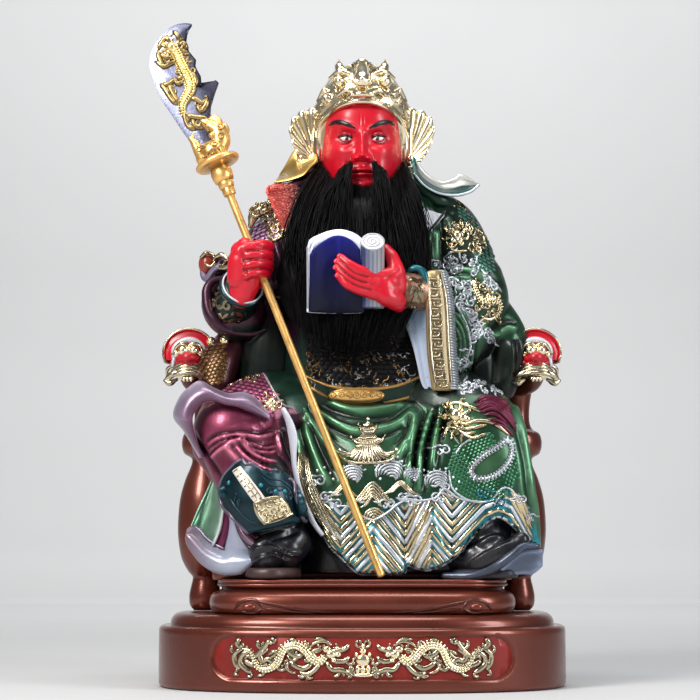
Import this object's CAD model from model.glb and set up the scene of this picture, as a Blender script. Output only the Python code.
"""Looks of a painted resin statue: a seated general with a long beard, a glaive and an open book.

Lengths are millimetres until a piece is built, and metres from then on. +Z is up, +X is to the
viewer's right and the statue faces -Y. The figure is drawn in its own coordinates, with z = 0 at
the soles of its boots, and is fitted to the frame's figure when its pieces are built.
"""

import logging
import math
from dataclasses import dataclass, field
from enum import Enum
from typing import Callable, Iterable, Optional, Sequence

import bpy
import numpy as np
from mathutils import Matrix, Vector
from mathutils.bvhtree import BVHTree

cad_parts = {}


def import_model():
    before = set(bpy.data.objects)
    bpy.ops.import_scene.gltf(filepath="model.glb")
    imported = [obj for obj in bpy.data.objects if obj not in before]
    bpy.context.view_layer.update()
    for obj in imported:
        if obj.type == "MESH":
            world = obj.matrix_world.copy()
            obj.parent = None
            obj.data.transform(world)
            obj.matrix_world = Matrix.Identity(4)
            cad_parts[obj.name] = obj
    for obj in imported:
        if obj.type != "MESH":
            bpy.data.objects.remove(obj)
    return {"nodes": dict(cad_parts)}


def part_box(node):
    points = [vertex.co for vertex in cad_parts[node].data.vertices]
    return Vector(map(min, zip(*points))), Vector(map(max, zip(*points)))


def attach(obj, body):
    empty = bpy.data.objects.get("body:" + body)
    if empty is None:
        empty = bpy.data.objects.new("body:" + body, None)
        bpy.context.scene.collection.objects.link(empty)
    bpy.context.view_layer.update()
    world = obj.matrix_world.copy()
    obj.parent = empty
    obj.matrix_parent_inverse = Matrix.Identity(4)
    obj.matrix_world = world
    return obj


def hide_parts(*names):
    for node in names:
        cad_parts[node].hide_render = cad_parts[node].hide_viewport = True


logging.basicConfig(level=logging.INFO, format="%(message)s")
LOG = logging.getLogger("statue")

MM = 0.001
TURN = math.tau
TINY = 1e-9
BODY = "root"
DRAWN_HEIGHT = 376.8
SEED = 7

# Steps of a smooth curve from one control point to the next
CURVE_STEPS = 12
# Angles of the rings that round off a limb's end, in degrees
CAP_ANGLES = (80, 60, 35)
# Angles of a raised cord's section, in degrees, with 90 straight off the skin
WELT_ANGLES = (-35, 10, 55, 90, 125, 170, 215)
# Angles of a scale's rounded rim, in degrees
SCALE_ANGLES = (180, 150, 120, 90, 60, 30, 0)
# Distance between the rings of a dragon's body, in millimetres
RING_STEP = 0.9
# A path that drops deeper than the first of these from one point to the next follows by the second
CLIFF = 7.0
CLIFF_STEP = 2.0
# A stroke's valley lies this many of its half widths beside its crest, and it ends at its reach
VALLEY_SHIFT = 1.5
STROKE_REACH = 4
# Share of a stroke or cord over which its ends grow thin, as one in so many
STROKE_TAPER = 6
CORD_TAPER = 7
# Lift and drop in millimetres at which a skin has the full paint of its ridges and its valleys
FULL_RIDGE = 2.2
FULL_VALLEY = 1.4
# Distance between rows of scales, and a scale's half width and length, against the scales' pitch
SCALE_ROW = 0.62
SCALE_HALF_WIDTH = 0.52
SCALE_LENGTH = 0.62
# Distance along y from which the skins are looked at, in millimetres
LOOK_START = 300.0

Vec = Sequence[float]
Path = Sequence[Vec]
Tone = tuple[float, float, float]


# Mesh forms


@dataclass
class Form:
    """A mesh in millimetres.

    Attributes:
        points: Vertex positions, one row each.
        quads: Four-cornered faces, as rows of vertex numbers.
        tris: Three-cornered faces, as rows of vertex numbers.
        tone: Paint colour of each vertex, or None for the finish's own colour.
    """

    points: np.ndarray
    quads: np.ndarray = field(default_factory=lambda: np.zeros((0, 4), int))
    tris: np.ndarray = field(default_factory=lambda: np.zeros((0, 3), int))
    tone: Optional[np.ndarray] = None

    def copy_with(self, points: np.ndarray) -> "Form":
        """Returns the same mesh with other vertex positions."""
        return Form(points, self.quads, self.tris, self.tone)

    def moved(self, shift: Vec) -> "Form":
        """Returns the form moved by a shift in millimetres."""
        return self.copy_with(self.points + np.asarray(shift, float))

    def turned(self, axis: str, degrees: float, about: Vec = (0, 0, 0)) -> "Form":
        """Returns the form turned about an axis through a point.

        Args:
            axis: "x", "y" or "z".
            degrees: Angle, by the right-hand rule.
            about: A point on the axis.

        Returns:
            The turned form.
        """
        a = math.radians(degrees)
        i, j = {"x": (1, 2), "y": (2, 0), "z": (0, 1)}[axis]
        points = self.points - np.asarray(about, float)
        turned = points.copy()
        turned[:, i] = points[:, i] * math.cos(a) - points[:, j] * math.sin(a)
        turned[:, j] = points[:, i] * math.sin(a) + points[:, j] * math.cos(a)
        return self.copy_with(turned + np.asarray(about, float))

    def mirrored(self, axis: int = 0) -> "Form":
        """Returns the form mirrored along x or another axis, with its faces still facing out."""
        signs = np.where(np.arange(3) == axis, -1.0, 1.0)
        return Form(self.points * signs, self.quads[:, ::-1], self.tris[:, ::-1], self.tone)

    def recoloured(self, tone: np.ndarray) -> "Form":
        """Returns the form with other paint, a colour for each vertex."""
        return Form(self.points, self.quads, self.tris, tone)

    def toned(self, colour: Tone) -> "Form":
        """Returns the form painted in one colour."""
        return self.recoloured(np.tile(np.asarray(colour, float), (len(self.points), 1)))

    def normals(self) -> np.ndarray:
        """Finds the outward unit normal at each vertex.

        Returns:
            One unit vector for each vertex.
        """
        total = np.zeros((len(self.points), 3))
        for faces in (self.quads, self.tris):
            if not len(faces):
                continue
            corners = self.points[faces]
            if faces.shape[1] == 4:
                flat = np.cross(corners[:, 2] - corners[:, 0], corners[:, 3] - corners[:, 1])
            else:
                flat = np.cross(corners[:, 1] - corners[:, 0], corners[:, 2] - corners[:, 0])
            for corner in faces.T:
                for k in range(3):
                    total[:, k] += np.bincount(corner, flat[:, k], len(self.points))
        return unit(total)


def unit(vectors: np.ndarray) -> np.ndarray:
    """Returns rows of vectors at unit length."""
    return vectors / np.maximum(np.linalg.norm(vectors, axis=-1, keepdims=True), TINY)


def even_angles(count: int) -> np.ndarray:
    """Returns even angles round a full turn."""
    return np.arange(count) / count * TURN


def level(ring: np.ndarray, z: float) -> np.ndarray:
    """Returns a flat ring of x and y at a height."""
    return np.column_stack([ring, np.full(len(ring), z)])


def runs(points: np.ndarray) -> np.ndarray:
    """Returns how far along a line each of its points lies."""
    return np.concatenate([[0], np.cumsum(np.linalg.norm(np.diff(points, axis=0), axis=1))])


def length_of(points: np.ndarray) -> float:
    """Returns the length of a line of points."""
    return np.linalg.norm(np.diff(points, axis=0), axis=1).sum()


def grade(share: np.ndarray, low: Tone, high: Tone) -> np.ndarray:
    """Returns paint that passes from one colour to another with a share from 0 to 1."""
    return np.asarray(low) * (1 - share) + np.asarray(high) * share


def all_toned(forms: Iterable["Form"], colour: Tone) -> list["Form"]:
    """Returns forms painted in one colour."""
    return [form.toned(colour) for form in forms]


def join(forms: Iterable[Form]) -> Form:
    """Joins forms into one, keeping the paint of those that have some.

    Args:
        forms: The forms to join.

    Returns:
        One form.
    """
    forms = list(forms)
    starts = np.cumsum([0] + [len(form.points) for form in forms[:-1]])
    tone = None
    if any(form.tone is not None for form in forms):
        plain = [
            np.full((len(form.points), 3), 0.5) if form.tone is None else form.tone
            for form in forms
        ]
        tone = np.concatenate(plain)
    return Form(
        np.concatenate([form.points for form in forms]),
        np.concatenate([form.quads + start for form, start in zip(forms, starts)]),
        np.concatenate([form.tris + start for form, start in zip(forms, starts)]),
        tone,
    )


def grid(points: np.ndarray, around: bool = False, caps: bool = False) -> Form:
    """Makes a form from rows of points.

    Args:
        points: An array of rows, columns and xyz.
        around: Whether each row closes on itself.
        caps: Whether the first and last rows are closed by fans.

    Returns:
        The form, facing out where the rows run anticlockwise about their advance.
    """
    rows, columns = points.shape[:2]
    number = np.arange(rows * columns).reshape(rows, columns)
    right = np.roll(number, -1, axis=1)
    last = columns if around else columns - 1
    quads = np.stack([number[:-1, :last], right[:-1, :last], right[1:, :last], number[1:, :last]], axis=-1)
    flat = points.reshape(-1, 3)
    tris = np.zeros((0, 3), int)
    if caps:
        middle = np.array([points[0].mean(0), points[-1].mean(0)])
        low, high = len(flat), len(flat) + 1
        first = np.stack([np.full(columns, low), right[0], number[0]], axis=-1)
        final = np.stack([np.full(columns, high), number[-1], right[-1]], axis=-1)
        flat = np.concatenate([flat, middle])
        tris = np.concatenate([first, final])
    return Form(flat, quads.reshape(-1, 4), tris)


def smooth_curve(points: Path, count: int) -> np.ndarray:
    """Runs an even, smooth curve through points.

    Args:
        points: Control points in two or three dimensions.
        count: How many points to return.

    Returns:
        Points at even steps along a cubic curve through the given ones.
    """
    knots = np.asarray(points, float)
    if len(knots) == 2:
        return knots[0] + np.linspace(0, 1, count)[:, None] * (knots[1] - knots[0])
    padded = np.concatenate([[2 * knots[0] - knots[1]], knots, [2 * knots[-1] - knots[-2]]])
    t = np.linspace(0, 1, CURVE_STEPS + 1)[:-1, None]
    pieces = []
    for a, b, c, d in zip(padded, padded[1:], padded[2:], padded[3:]):
        cubic = (-a + 3 * b - 3 * c + d) * t**3 + (2 * a - 5 * b + 4 * c - d) * t**2
        pieces.append(0.5 * (cubic + (c - a) * t + 2 * b))
    dense = np.concatenate(pieces + [knots[-1:]])
    run = runs(dense)
    even = np.linspace(0, run[-1], count)
    return np.stack([np.interp(even, run, dense[:, k]) for k in range(dense.shape[1])], axis=-1)


def read_curve(curve: np.ndarray, along: np.ndarray) -> list[np.ndarray]:
    """Returns x and z of an evenly stepped curve of the front view, at shares of its length."""
    place, steps = along * (len(curve) - 1), np.arange(len(curve))
    return [np.interp(place, steps, curve[:, k]) for k in (0, 1)]


def ruled(one: np.ndarray, two: np.ndarray, along: np.ndarray, across: np.ndarray) -> list[np.ndarray]:
    """Reads places between two evenly stepped curves of the front view.

    Args:
        one: The first curve's points.
        two: The second curve's points.
        along: Share of the way down the curves.
        across: Share of the way from the first curve to the second.

    Returns:
        The places' x and their z.
    """
    pairs = zip(read_curve(one, along), read_curve(two, along))
    return [first * (1 - across) + second * across for first, second in pairs]


def at_depths(path: Path, depths: Sequence[float]) -> list[Vec]:
    """Returns the points of a path of x and z pairs, each at its own depth."""
    return [(x, y, z) for (x, z), y in zip(path, depths)]


def spread(values: Sequence[float], count: int) -> np.ndarray:
    """Spreads a few values smoothly over a number of places.

    Args:
        values: The values.
        count: How many places.

    Returns:
        One value for each place.
    """
    values = np.asarray(values, float)
    if len(values) == 1:
        return np.full(count, values[0])
    place = np.linspace(0, len(values) - 1, count)
    low = np.minimum(place.astype(int), len(values) - 2)
    share = place - low
    share = share * share * (3 - 2 * share)
    return values[low] * (1 - share) + values[low + 1] * share


def limb(
    points: Path,
    radii: Sequence[float],
    sides: int = 20,
    steps: int = 16,
    flat: float = 1.0,
    ends: float = 1.0,
) -> Form:
    """Makes a round-ended limb along a smooth curve.

    Args:
        points: The curve's control points.
        radii: Radii spread along it.
        sides: Sides of each ring.
        steps: Rings along the curve.
        flat: Width of a section against its height.
        ends: How far the rounded ends stand out, as a share of the end's radius.

    Returns:
        A closed form.
    """
    line = smooth_curve(points, steps + 1)
    size = spread(radii, steps + 1)
    ahead = unit(np.gradient(line, axis=0))
    chord = line[-1] - line[0]
    up = np.array([0, 1, 0]) if abs(chord[2]) > math.hypot(chord[0], chord[1]) else np.array([0, 0, 1])
    side = unit(np.cross(ahead, up))
    over = np.cross(side, ahead)
    angle = even_angles(sides)
    ring = np.cos(angle)[:, None] * flat, np.sin(angle)[:, None]

    def section(k: int, shift: float, shrink: float) -> np.ndarray:
        """Finds one ring of the limb."""
        middle = line[k] + ahead[k] * shift * size[k]
        return middle + size[k] * shrink * (side[k] * ring[0] + over[k] * ring[1])

    rows = [section(0, -ends * math.sin(math.radians(t)), math.cos(math.radians(t))) for t in CAP_ANGLES]
    rows += [section(k, 0, 1) for k in range(steps + 1)]
    rows += [
        section(-1, ends * math.sin(math.radians(t)), math.cos(math.radians(t)))
        for t in CAP_ANGLES[::-1]
    ]
    return grid(np.array(rows), around=True, caps=True)


def ball(centre: Vec, radii: Vec, turn: Vec = (0, 0, 0), sides: int = 20, rows: int = 12) -> Form:
    """Makes a ball with three radii, turned by degrees about x, y and z and placed at a centre.

    Args:
        centre: Where its centre is.
        radii: Its radii along x, y and z.
        turn: Degrees that it turns about x, then y, then z.
        sides: Sides of each ring.
        rows: How many rings.

    Returns:
        A closed form.
    """
    polar = np.linspace(0, math.pi, rows + 1)[1:-1]
    angle = even_angles(sides)
    rings = np.stack(
        [
            np.sin(polar)[:, None] * np.cos(angle),
            np.sin(polar)[:, None] * np.sin(angle),
            np.repeat(-np.cos(polar)[:, None], sides, axis=1),
        ],
        axis=-1,
    )
    form = grid(rings, around=True, caps=True)
    form.points[-2:] = [(0, 0, -1), (0, 0, 1)]
    form.points *= radii
    for axis, degrees in zip("xyz", turn):
        if degrees:
            form = form.turned(axis, degrees)
    return form.moved(centre)


def lathe(profile: Path, sides: int = 48, centre: Vec = (0, 0, 0)) -> Form:
    """Turns a profile of radius and height pairs, from bottom to top, about a vertical axis.

    Args:
        profile: Pairs of radius and height, from bottom to top.
        sides: Sides of each ring.
        centre: Where the axis and the height 0 are.

    Returns:
        A closed form.
    """
    angle = even_angles(sides)
    rings = [
        np.stack([np.cos(angle) * r, np.sin(angle) * r, np.full(sides, z)], axis=-1)
        for r, z in profile
    ]
    return grid(np.array(rings), around=True, caps=True).moved(centre)


def oval(angle: np.ndarray, half_x: float, half_y: float, squareness: float = 2.0) -> np.ndarray:
    """Finds points of a superellipse at the given angles.

    Args:
        angle: The angles in radians.
        half_x: Half its width.
        half_y: Half its depth.
        squareness: The exponent, 2 for an ellipse and more for a squarer one.

    Returns:
        x and y for each angle.
    """
    power = 2 / squareness
    c, s = np.cos(angle), np.sin(angle)
    return np.stack(
        [np.sign(c) * np.abs(c) ** power * half_x, np.sign(s) * np.abs(s) ** power * half_y],
        axis=-1,
    )


def stack(
    levels: Sequence[Vec],
    sides: int = 72,
    rows: int = 60,
    squareness: float = 2.3,
    folds: Optional[Callable[[np.ndarray, float], np.ndarray]] = None,
) -> Form:
    """Makes an upright body from oval levels.

    Args:
        levels: Rows of height, centre x, centre y, half width and half depth, from bottom to top.
        sides: Sides of each ring.
        rows: Rings, spread smoothly over the levels.
        squareness: The ovals' exponent.
        folds: Swelling of a ring at each angle, for the share of the height from 0 to 1.

    Returns:
        A closed form.
    """
    smooth = smooth_curve(levels, rows)
    angle = even_angles(sides)
    rings = []
    for i, (z, x, y, half_x, half_y) in enumerate(smooth):
        swell = 1 + (folds(angle, i / (rows - 1)) if folds else 0)
        ring = oval(angle, half_x, half_y, squareness) * np.reshape(swell * np.ones(sides), (-1, 1))
        rings.append(level(ring + (x, y), z))
    return grid(np.array(rings), around=True, caps=True)


def slab(
    surface: Callable[[np.ndarray, np.ndarray], np.ndarray],
    thickness: float,
    columns: int,
    rows: int,
) -> Form:
    """Thickens a curved sheet into a closed form.

    Args:
        surface: Gives xyz for arrays of u and v from 0 to 1.
        thickness: Distance between its two faces.
        columns: Steps along u.
        rows: Steps along v.

    Returns:
        A closed form with a rounded rim.
    """
    u, v = np.meshgrid(np.linspace(0, 1, columns + 1), np.linspace(0, 1, rows + 1))
    middle = surface(u, v)
    normal = unit(np.cross(np.gradient(middle, axis=1), np.gradient(middle, axis=0)))
    front = middle + normal * thickness / 2
    back = middle - normal * thickness / 2
    number = np.arange(front[..., 0].size).reshape(rows + 1, columns + 1)
    face = np.stack([number[:-1, :-1], number[:-1, 1:], number[1:, 1:], number[1:, :-1]], axis=-1)
    face = face.reshape(-1, 4)
    rim = np.concatenate([number[0, :-1], number[:-1, -1], number[-1, :0:-1], number[:0:-1, 0]])
    ahead = np.roll(rim, -1)
    total = number.size
    edge = middle.reshape(-1, 3)[rim]
    outward = edge - np.roll(edge, 2, axis=0)
    bulge = unit(np.cross(outward + np.roll(edge, -2, axis=0) - edge, normal.reshape(-1, 3)[rim]))
    points = np.concatenate([front.reshape(-1, 3), back.reshape(-1, 3), edge + bulge * thickness * 0.35])
    lip = 2 * total + np.arange(len(rim))
    lip_ahead = np.roll(lip, -1)
    upper = np.stack([ahead, rim, lip, lip_ahead], axis=-1)
    lower = np.stack([lip_ahead, lip, rim + total, ahead + total], axis=-1)
    return Form(points, np.concatenate([face, face[:, ::-1] + total, upper, lower]))


def sheet_shares(form: Form, columns: int, rows: int, rim: float) -> np.ndarray:
    """Gives each vertex of a slab its share of the way along the slab's rows.

    Args:
        form: The slab.
        columns: Its steps along u.
        rows: Its steps along v.
        rim: The share that its rim gets.

    Returns:
        A column of shares.
    """
    share = np.repeat(np.linspace(0, 1, rows + 1), columns + 1)
    return np.concatenate([share, share, np.full(len(form.points) - 2 * len(share), rim)])[:, None]


# Building and fusing meshes


def linked(name: str, data: Optional[bpy.types.ID]) -> bpy.types.Object:
    """Makes an object from its data and links it to the scene.

    Args:
        name: Its name.
        data: Its mesh, lamp or camera.

    Returns:
        The object.
    """
    obj = bpy.data.objects.new(name, data)
    bpy.context.scene.collection.objects.link(obj)
    return obj


def as_mesh(form: Form, name: str, scale: float) -> bpy.types.Mesh:
    """Builds a Blender mesh from a form, with its positions multiplied by a scale.

    Args:
        form: The form.
        name: Its name.
        scale: Factor on the form's positions.

    Returns:
        The mesh.
    """
    mesh = bpy.data.meshes.new(name)
    corners = np.concatenate([form.quads.ravel(), form.tris.ravel()]).astype(np.int32)
    totals = np.concatenate([np.full(len(form.quads), 4), np.full(len(form.tris), 3)]).astype(np.int32)
    starts = np.concatenate([[0], np.cumsum(totals)[:-1]]).astype(np.int32)
    mesh.vertices.add(len(form.points))
    mesh.vertices.foreach_set("co", (form.points * scale).astype(np.float32).ravel())
    mesh.loops.add(len(corners))
    mesh.loops.foreach_set("vertex_index", corners)
    mesh.polygons.add(len(totals))
    mesh.polygons.foreach_set("loop_start", starts)
    mesh.polygons.foreach_set("loop_total", totals)
    mesh.update(calc_edges=True)
    return mesh


def from_mesh(mesh: bpy.types.Mesh) -> Form:
    """Reads a Blender mesh of quads and triangles back as a form.

    Args:
        mesh: The mesh.

    Returns:
        The form.
    """
    points = np.empty(len(mesh.vertices) * 3, np.float32)
    mesh.vertices.foreach_get("co", points)
    corners = np.empty(len(mesh.loops), np.int32)
    mesh.loops.foreach_get("vertex_index", corners)
    totals = np.empty(len(mesh.polygons), np.int32)
    mesh.polygons.foreach_get("loop_total", totals)
    starts = np.empty(len(mesh.polygons), np.int32)
    mesh.polygons.foreach_get("loop_start", starts)
    quads = corners[starts[totals == 4][:, None] + np.arange(4)]
    tris = corners[starts[totals == 3][:, None] + np.arange(3)]
    return Form(points.reshape(-1, 3).astype(float), quads.astype(int), tris.astype(int))


def fuse(forms: Iterable[Form], voxel: float, settle: int = 2) -> Form:
    """Melts overlapping closed forms into one skin.

    Args:
        forms: The closed forms.
        voxel: Size of the skin's facets in millimetres.
        settle: Rounds of smoothing, which soften the joints between forms.

    Returns:
        One closed form of even facets.
    """
    mesh = as_mesh(join(forms), "melt", 1.0)
    obj = linked("melt", mesh)
    remesh = obj.modifiers.new("skin", "REMESH")
    remesh.mode = "VOXEL"
    remesh.voxel_size = voxel
    if settle:
        smooth = obj.modifiers.new("settle", "SMOOTH")
        smooth.factor = 0.5
        smooth.iterations = settle
    seen = obj.evaluated_get(bpy.context.evaluated_depsgraph_get())
    form = from_mesh(seen.to_mesh())
    seen.to_mesh_clear()
    bpy.data.objects.remove(obj)
    bpy.data.meshes.remove(mesh)
    return form


# Sculpting in the front view


@dataclass(frozen=True)
class Stroke:
    """One ridge or groove of a sculpted surface, drawn in the front view.

    Attributes:
        path: Its course, as x and z pairs.
        height: How far it lifts the surface, negative for a groove.
        width: Half width of its crest.
        trough: Depth of the valley along its left side, as a share of its height.
    """

    path: Path
    height: float = 2.5
    width: float = 4.0
    trough: float = 0.5

    def lift(self, flat: np.ndarray) -> np.ndarray:
        """Finds how far it lifts each point of the front view.

        Args:
            flat: Places in the front view, as rows of x and z.

        Returns:
            The lift of each place.
        """
        line = smooth_curve(self.path, max(8, 5 * len(self.path)))
        reach = self.width * STROKE_REACH
        low, high = line.min(0) - reach, line.max(0) + reach
        near = np.flatnonzero(np.all((flat > low) & (flat < high), axis=1))
        lifted = np.zeros(len(flat))
        if not len(near):
            return lifted
        spots = flat[near]
        best = np.full(len(near), np.inf)
        signed = np.zeros(len(near))
        share = np.zeros(len(near))
        for k in range(len(line) - 1):
            start, run = line[k], line[k + 1] - line[k]
            length = max(float(run @ run), TINY)
            away = spots - start
            t = np.clip(away @ run / length, 0, 1)
            gap = away - t[:, None] * run
            distance = np.hypot(gap[:, 0], gap[:, 1])
            closer = distance < best
            best[closer] = distance[closer]
            turn = np.sign(run[0] * away[:, 1] - run[1] * away[:, 0])
            signed[closer] = (distance * turn)[closer]
            share[closer] = (k + t[closer]) / (len(line) - 1)
        taper = np.clip(np.minimum(share, 1 - share) * STROKE_TAPER, 0, 1) ** 0.6
        crest = np.exp(-((signed / self.width) ** 2))
        valley = np.exp(-(((signed - VALLEY_SHIFT * self.width) / self.width) ** 2))
        lifted[near] = self.height * taper * (crest - self.trough * valley)
        return lifted


def sculpt(form: Form, strokes: Iterable[Stroke], back: bool = False) -> tuple[Form, np.ndarray]:
    """Lifts a form's skin along strokes drawn in the front view.

    Args:
        form: The form to carve.
        strokes: The ridges and grooves.
        back: Whether they are drawn on the back instead of the front.

    Returns:
        The carved form and how far each vertex was lifted.
    """
    normal = form.normals()
    facing = np.clip(normal[:, 1] * (1 if back else -1) * 2.5 + 0.4, 0, 1)
    flat = form.points[:, [0, 2]]
    lifted = np.zeros(len(flat))
    for stroke in strokes:
        lifted += stroke.lift(flat)
    lifted *= facing
    return form.copy_with(form.points + normal * lifted[:, None]), lifted


def ripple(form: Form, scale: float, height: float, stretch: Vec = (1, 1, 1)) -> Form:
    """Adds a gentle unevenness, from a few summed waves, as hand-modelled clay has.

    Args:
        form: The form.
        scale: Length of the waves in millimetres.
        height: Height of the waves in millimetres.
        stretch: Factors on the waves along x, y and z.

    Returns:
        The uneven form.
    """
    rng = np.random.default_rng(SEED)
    points = form.points * stretch / scale
    wave = np.zeros(len(points))
    for _ in range(7):
        way = rng.normal(size=3)
        wave += np.sin(points @ way + rng.uniform(0, TURN))
    return form.copy_with(form.points + form.normals() * (wave * height / 4)[:, None])


def inside(flat: np.ndarray, outline: Path) -> np.ndarray:
    """Says which points of the front view lie inside a closed outline.

    Args:
        flat: Places in the front view, as rows of x and z.
        outline: The outline's corners.

    Returns:
        Whether each place lies inside.
    """
    x, z = flat[:, 0], flat[:, 1]
    ring = np.asarray(outline, float)
    result = np.zeros(len(flat), bool)
    for (x0, z0), (x1, z1) in zip(ring, np.roll(ring, -1, axis=0)):
        crossing = (z0 > z) != (z1 > z)
        at = (x1 - x0) * (z - z0) / (z1 - z0 if z1 != z0 else TINY) + x0
        result ^= crossing & (x < at)
    return result


def beside(flat: np.ndarray, outline: Path) -> np.ndarray:
    """Finds the distance from each point of the front view to an open line.

    Args:
        flat: Places in the front view, as rows of x and z.
        outline: The line's points.

    Returns:
        One distance for each place.
    """
    line = np.asarray(outline, float)
    best = np.full(len(flat), np.inf)
    for start, end in zip(line, line[1:]):
        run = end - start
        t = np.clip((flat - start) @ run / max(float(run @ run), TINY), 0, 1)
        gap = flat - start - t[:, None] * run
        best = np.minimum(best, np.hypot(gap[:, 0], gap[:, 1]))
    return best


# Relief laid on a surface


class Surface:
    """A skin that relief is laid on, found by looking along an axis."""

    def __init__(self, form: Form, look: Vec = (0, 1, 0), start: float = -LOOK_START) -> None:
        """Prepares the skin.

        Args:
            form: The skin.
            look: The direction of looking, along y or -y for the front or the back view.
            start: Where a look starts, along y.
        """
        faces = form.quads.tolist() + form.tris.tolist()
        self.tree = BVHTree.FromPolygons(form.points.tolist(), faces)
        self.look = Vector(look)
        self.start = start

    def lay(self, path: np.ndarray, lift: float = 0.0) -> tuple[np.ndarray, np.ndarray]:
        """Drops a path of x and z pairs on the skin.

        Args:
            path: The points in the front view.
            lift: How far off the skin they lie.

        Returns:
            The points that meet the skin, and the skin's normals there.
        """
        points, normals = [], []
        for x, z in path:
            spot, normal, _, _ = self.tree.ray_cast(Vector((x, self.start, z)), self.look)
            if spot is None:
                continue
            if points and abs(spot.y - points[-1][1]) > CLIFF:
                spot.y = points[-1][1] + math.copysign(CLIFF_STEP, spot.y - points[-1][1])
            points.append(tuple(spot))
            normals.append(tuple(normal))
        if not points:
            return np.zeros((0, 3)), np.zeros((0, 3))
        normals = np.array(normals)
        if len(normals) > 4:
            kernel = np.ones(5) / 5
            wide = np.pad(normals, ((2, 2), (0, 0)), mode="edge")
            normals = np.stack([np.convolve(wide[:, k], kernel, "valid") for k in range(3)], axis=-1)
        normals = unit(normals)
        return np.array(points) + normals * lift, normals

    def frame_at(self, x: float, z: float) -> Optional[tuple[np.ndarray, np.ndarray]]:
        """Returns the skin's point and normal at one place in the front view, or None."""
        points, normals = self.lay(np.array([(x, z)]))
        return (points[0], normals[0]) if len(points) else None


def welt(points: np.ndarray, normals: np.ndarray, radii: np.ndarray, flat: float = 1.0) -> Form:
    """Makes a raised cord on a skin.

    Args:
        points: Where it runs.
        normals: The skin's normals there.
        radii: Its half width at each point.
        flat: Its height against its half width.

    Returns:
        A closed form, half sunk in the skin.
    """
    side = unit(np.cross(unit(np.gradient(points, axis=0)), normals))
    angle = np.radians(WELT_ANGLES)
    ring = (
        np.cos(angle)[None, :, None] * side[:, None]
        + np.sin(angle)[None, :, None] * flat * normals[:, None]
    )
    return grid(points[:, None] + ring * radii[:, None, None], around=True, caps=True)


def relief(
    surface: Surface,
    paths: Iterable[Path],
    radius: float,
    flat: float = 0.9,
    pitch: float = 0.9,
    taper: bool = True,
) -> list[Form]:
    """Lays raised cords on a skin along paths drawn in the front view.

    Args:
        surface: The skin.
        paths: The cords' courses, as x and z pairs.
        radius: Their half width.
        flat: Their height against their half width.
        pitch: Distance between their rings.
        taper: Whether their ends grow thin.

    Returns:
        One closed form for each cord that meets the skin.
    """
    forms = []
    for path in paths:
        rough = smooth_curve(path, max(6, 4 * len(path)))
        line = smooth_curve(path, max(4, int(length_of(rough) / pitch)))
        points, normals = surface.lay(line)
        if len(points) < 4:
            continue
        share = np.linspace(0, 1, len(points))
        ends = np.clip(np.minimum(share, 1 - share) * CORD_TAPER, 0.25 if taper else 0.8, 1) ** 0.5
        forms.append(welt(points, normals, radius * ends, flat))
    return forms


def knob_on(
    surface: Surface, x: float, z: float, radii: Vec, lift: float = 0.0, sides: int = 20, rows: int = 12
) -> list[Form]:
    """Sets a ball on a skin.

    Args:
        surface: The skin.
        x: Its place across in the front view.
        z: Its height.
        radii: Its radii along x, y and z.
        lift: How far its centre stands off the skin.
        sides: Sides of each of its rings.
        rows: Its rings.

    Returns:
        The ball alone, or nothing where the place misses the skin.
    """
    found = surface.frame_at(x, z)
    if found is None:
        return []
    return [ball(found[0] + found[1] * lift, radii, sides=sides, rows=rows)]


def ellipse_path(x: float, z: float, wide: float, tall: float, angles: Iterable[float]) -> Path:
    """Returns places on an ellipse about x and z, at angles in radians."""
    return [(x + wide * math.cos(a), z + tall * math.sin(a)) for a in angles]


def scroll_row(
    spots: Iterable[Vec], radius: float, turns: float, step: float, both: bool = True
) -> list[Path]:
    """Draws a spiral at each of several places, each turned further than the last.

    Args:
        spots: The spirals' centres.
        radius: Their radius.
        turns: Their turns.
        step: Angle in degrees from the start of one to the next's.
        both: Whether every other one winds the other way.

    Returns:
        The spirals' courses.
    """
    return [
        spiral(x, z, radius, turns, step * k, -1 if both and k % 2 == 0 else 1)
        for k, (x, z) in enumerate(spots)
    ]


def studs(surface: Surface, spots: Iterable[Vec], radius: float, tall: float = 0.8) -> list[Form]:
    """Sets round studs on a skin at places in the front view."""
    size = (radius, radius * tall, radius)
    return [form for x, z in spots for form in knob_on(surface, x, z, size, 0.0, 10, 6)]


def spiral(x: float, z: float, radius: float, turns: float, start: float = 0.0, hand: int = 1) -> Path:
    """Draws a spiral that winds in to a centre from an angle in degrees, one way or the other.

    Args:
        x: Place across.
        z: Height.
        radius: Its outer radius.
        turns: How many turns it makes.
        start: Angle in degrees at which it starts.
        hand: 1 or -1, the way that it winds.

    Returns:
        Its course, as x and z pairs.
    """
    count = max(8, int(14 * turns))
    share = np.linspace(0, 1, count)
    angle = math.radians(start) + hand * share * turns * TURN
    reach = radius * (1 - share) ** 0.8 + 0.1 * radius
    return [(x + r * math.cos(a), z + r * math.sin(a)) for r, a in zip(reach, angle)]


def cloud(x: float, z: float, size: float, lean: float = 0.0, hand: int = 1) -> list[Path]:
    """Draws a curling cloud: two spirals and a tail that trails off.

    Args:
        x: Place across.
        z: Height.
        size: Its size.
        lean: Angle in degrees that it leans by.
        hand: 1 or -1, the way that it winds.

    Returns:
        Courses, as x and z pairs.
    """
    c, s = math.cos(math.radians(lean)), math.sin(math.radians(lean))

    def placed(path: Path) -> Path:
        """Returns a path turned, sized and set at the cloud's place."""
        return [(x + size * (u * hand * c - w * s), z + size * (u * hand * s + w * c)) for u, w in path]

    tail = [(0.3, 0.55), (1.1, 0.62), (1.8, 0.2), (2.6, 0.35)]
    return [
        placed(spiral(0, 0, 0.62, 1.3, 60, 1)),
        placed(spiral(0.85, -0.35, 0.42, 1.1, 80, 1)),
        placed(tail),
    ]


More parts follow.
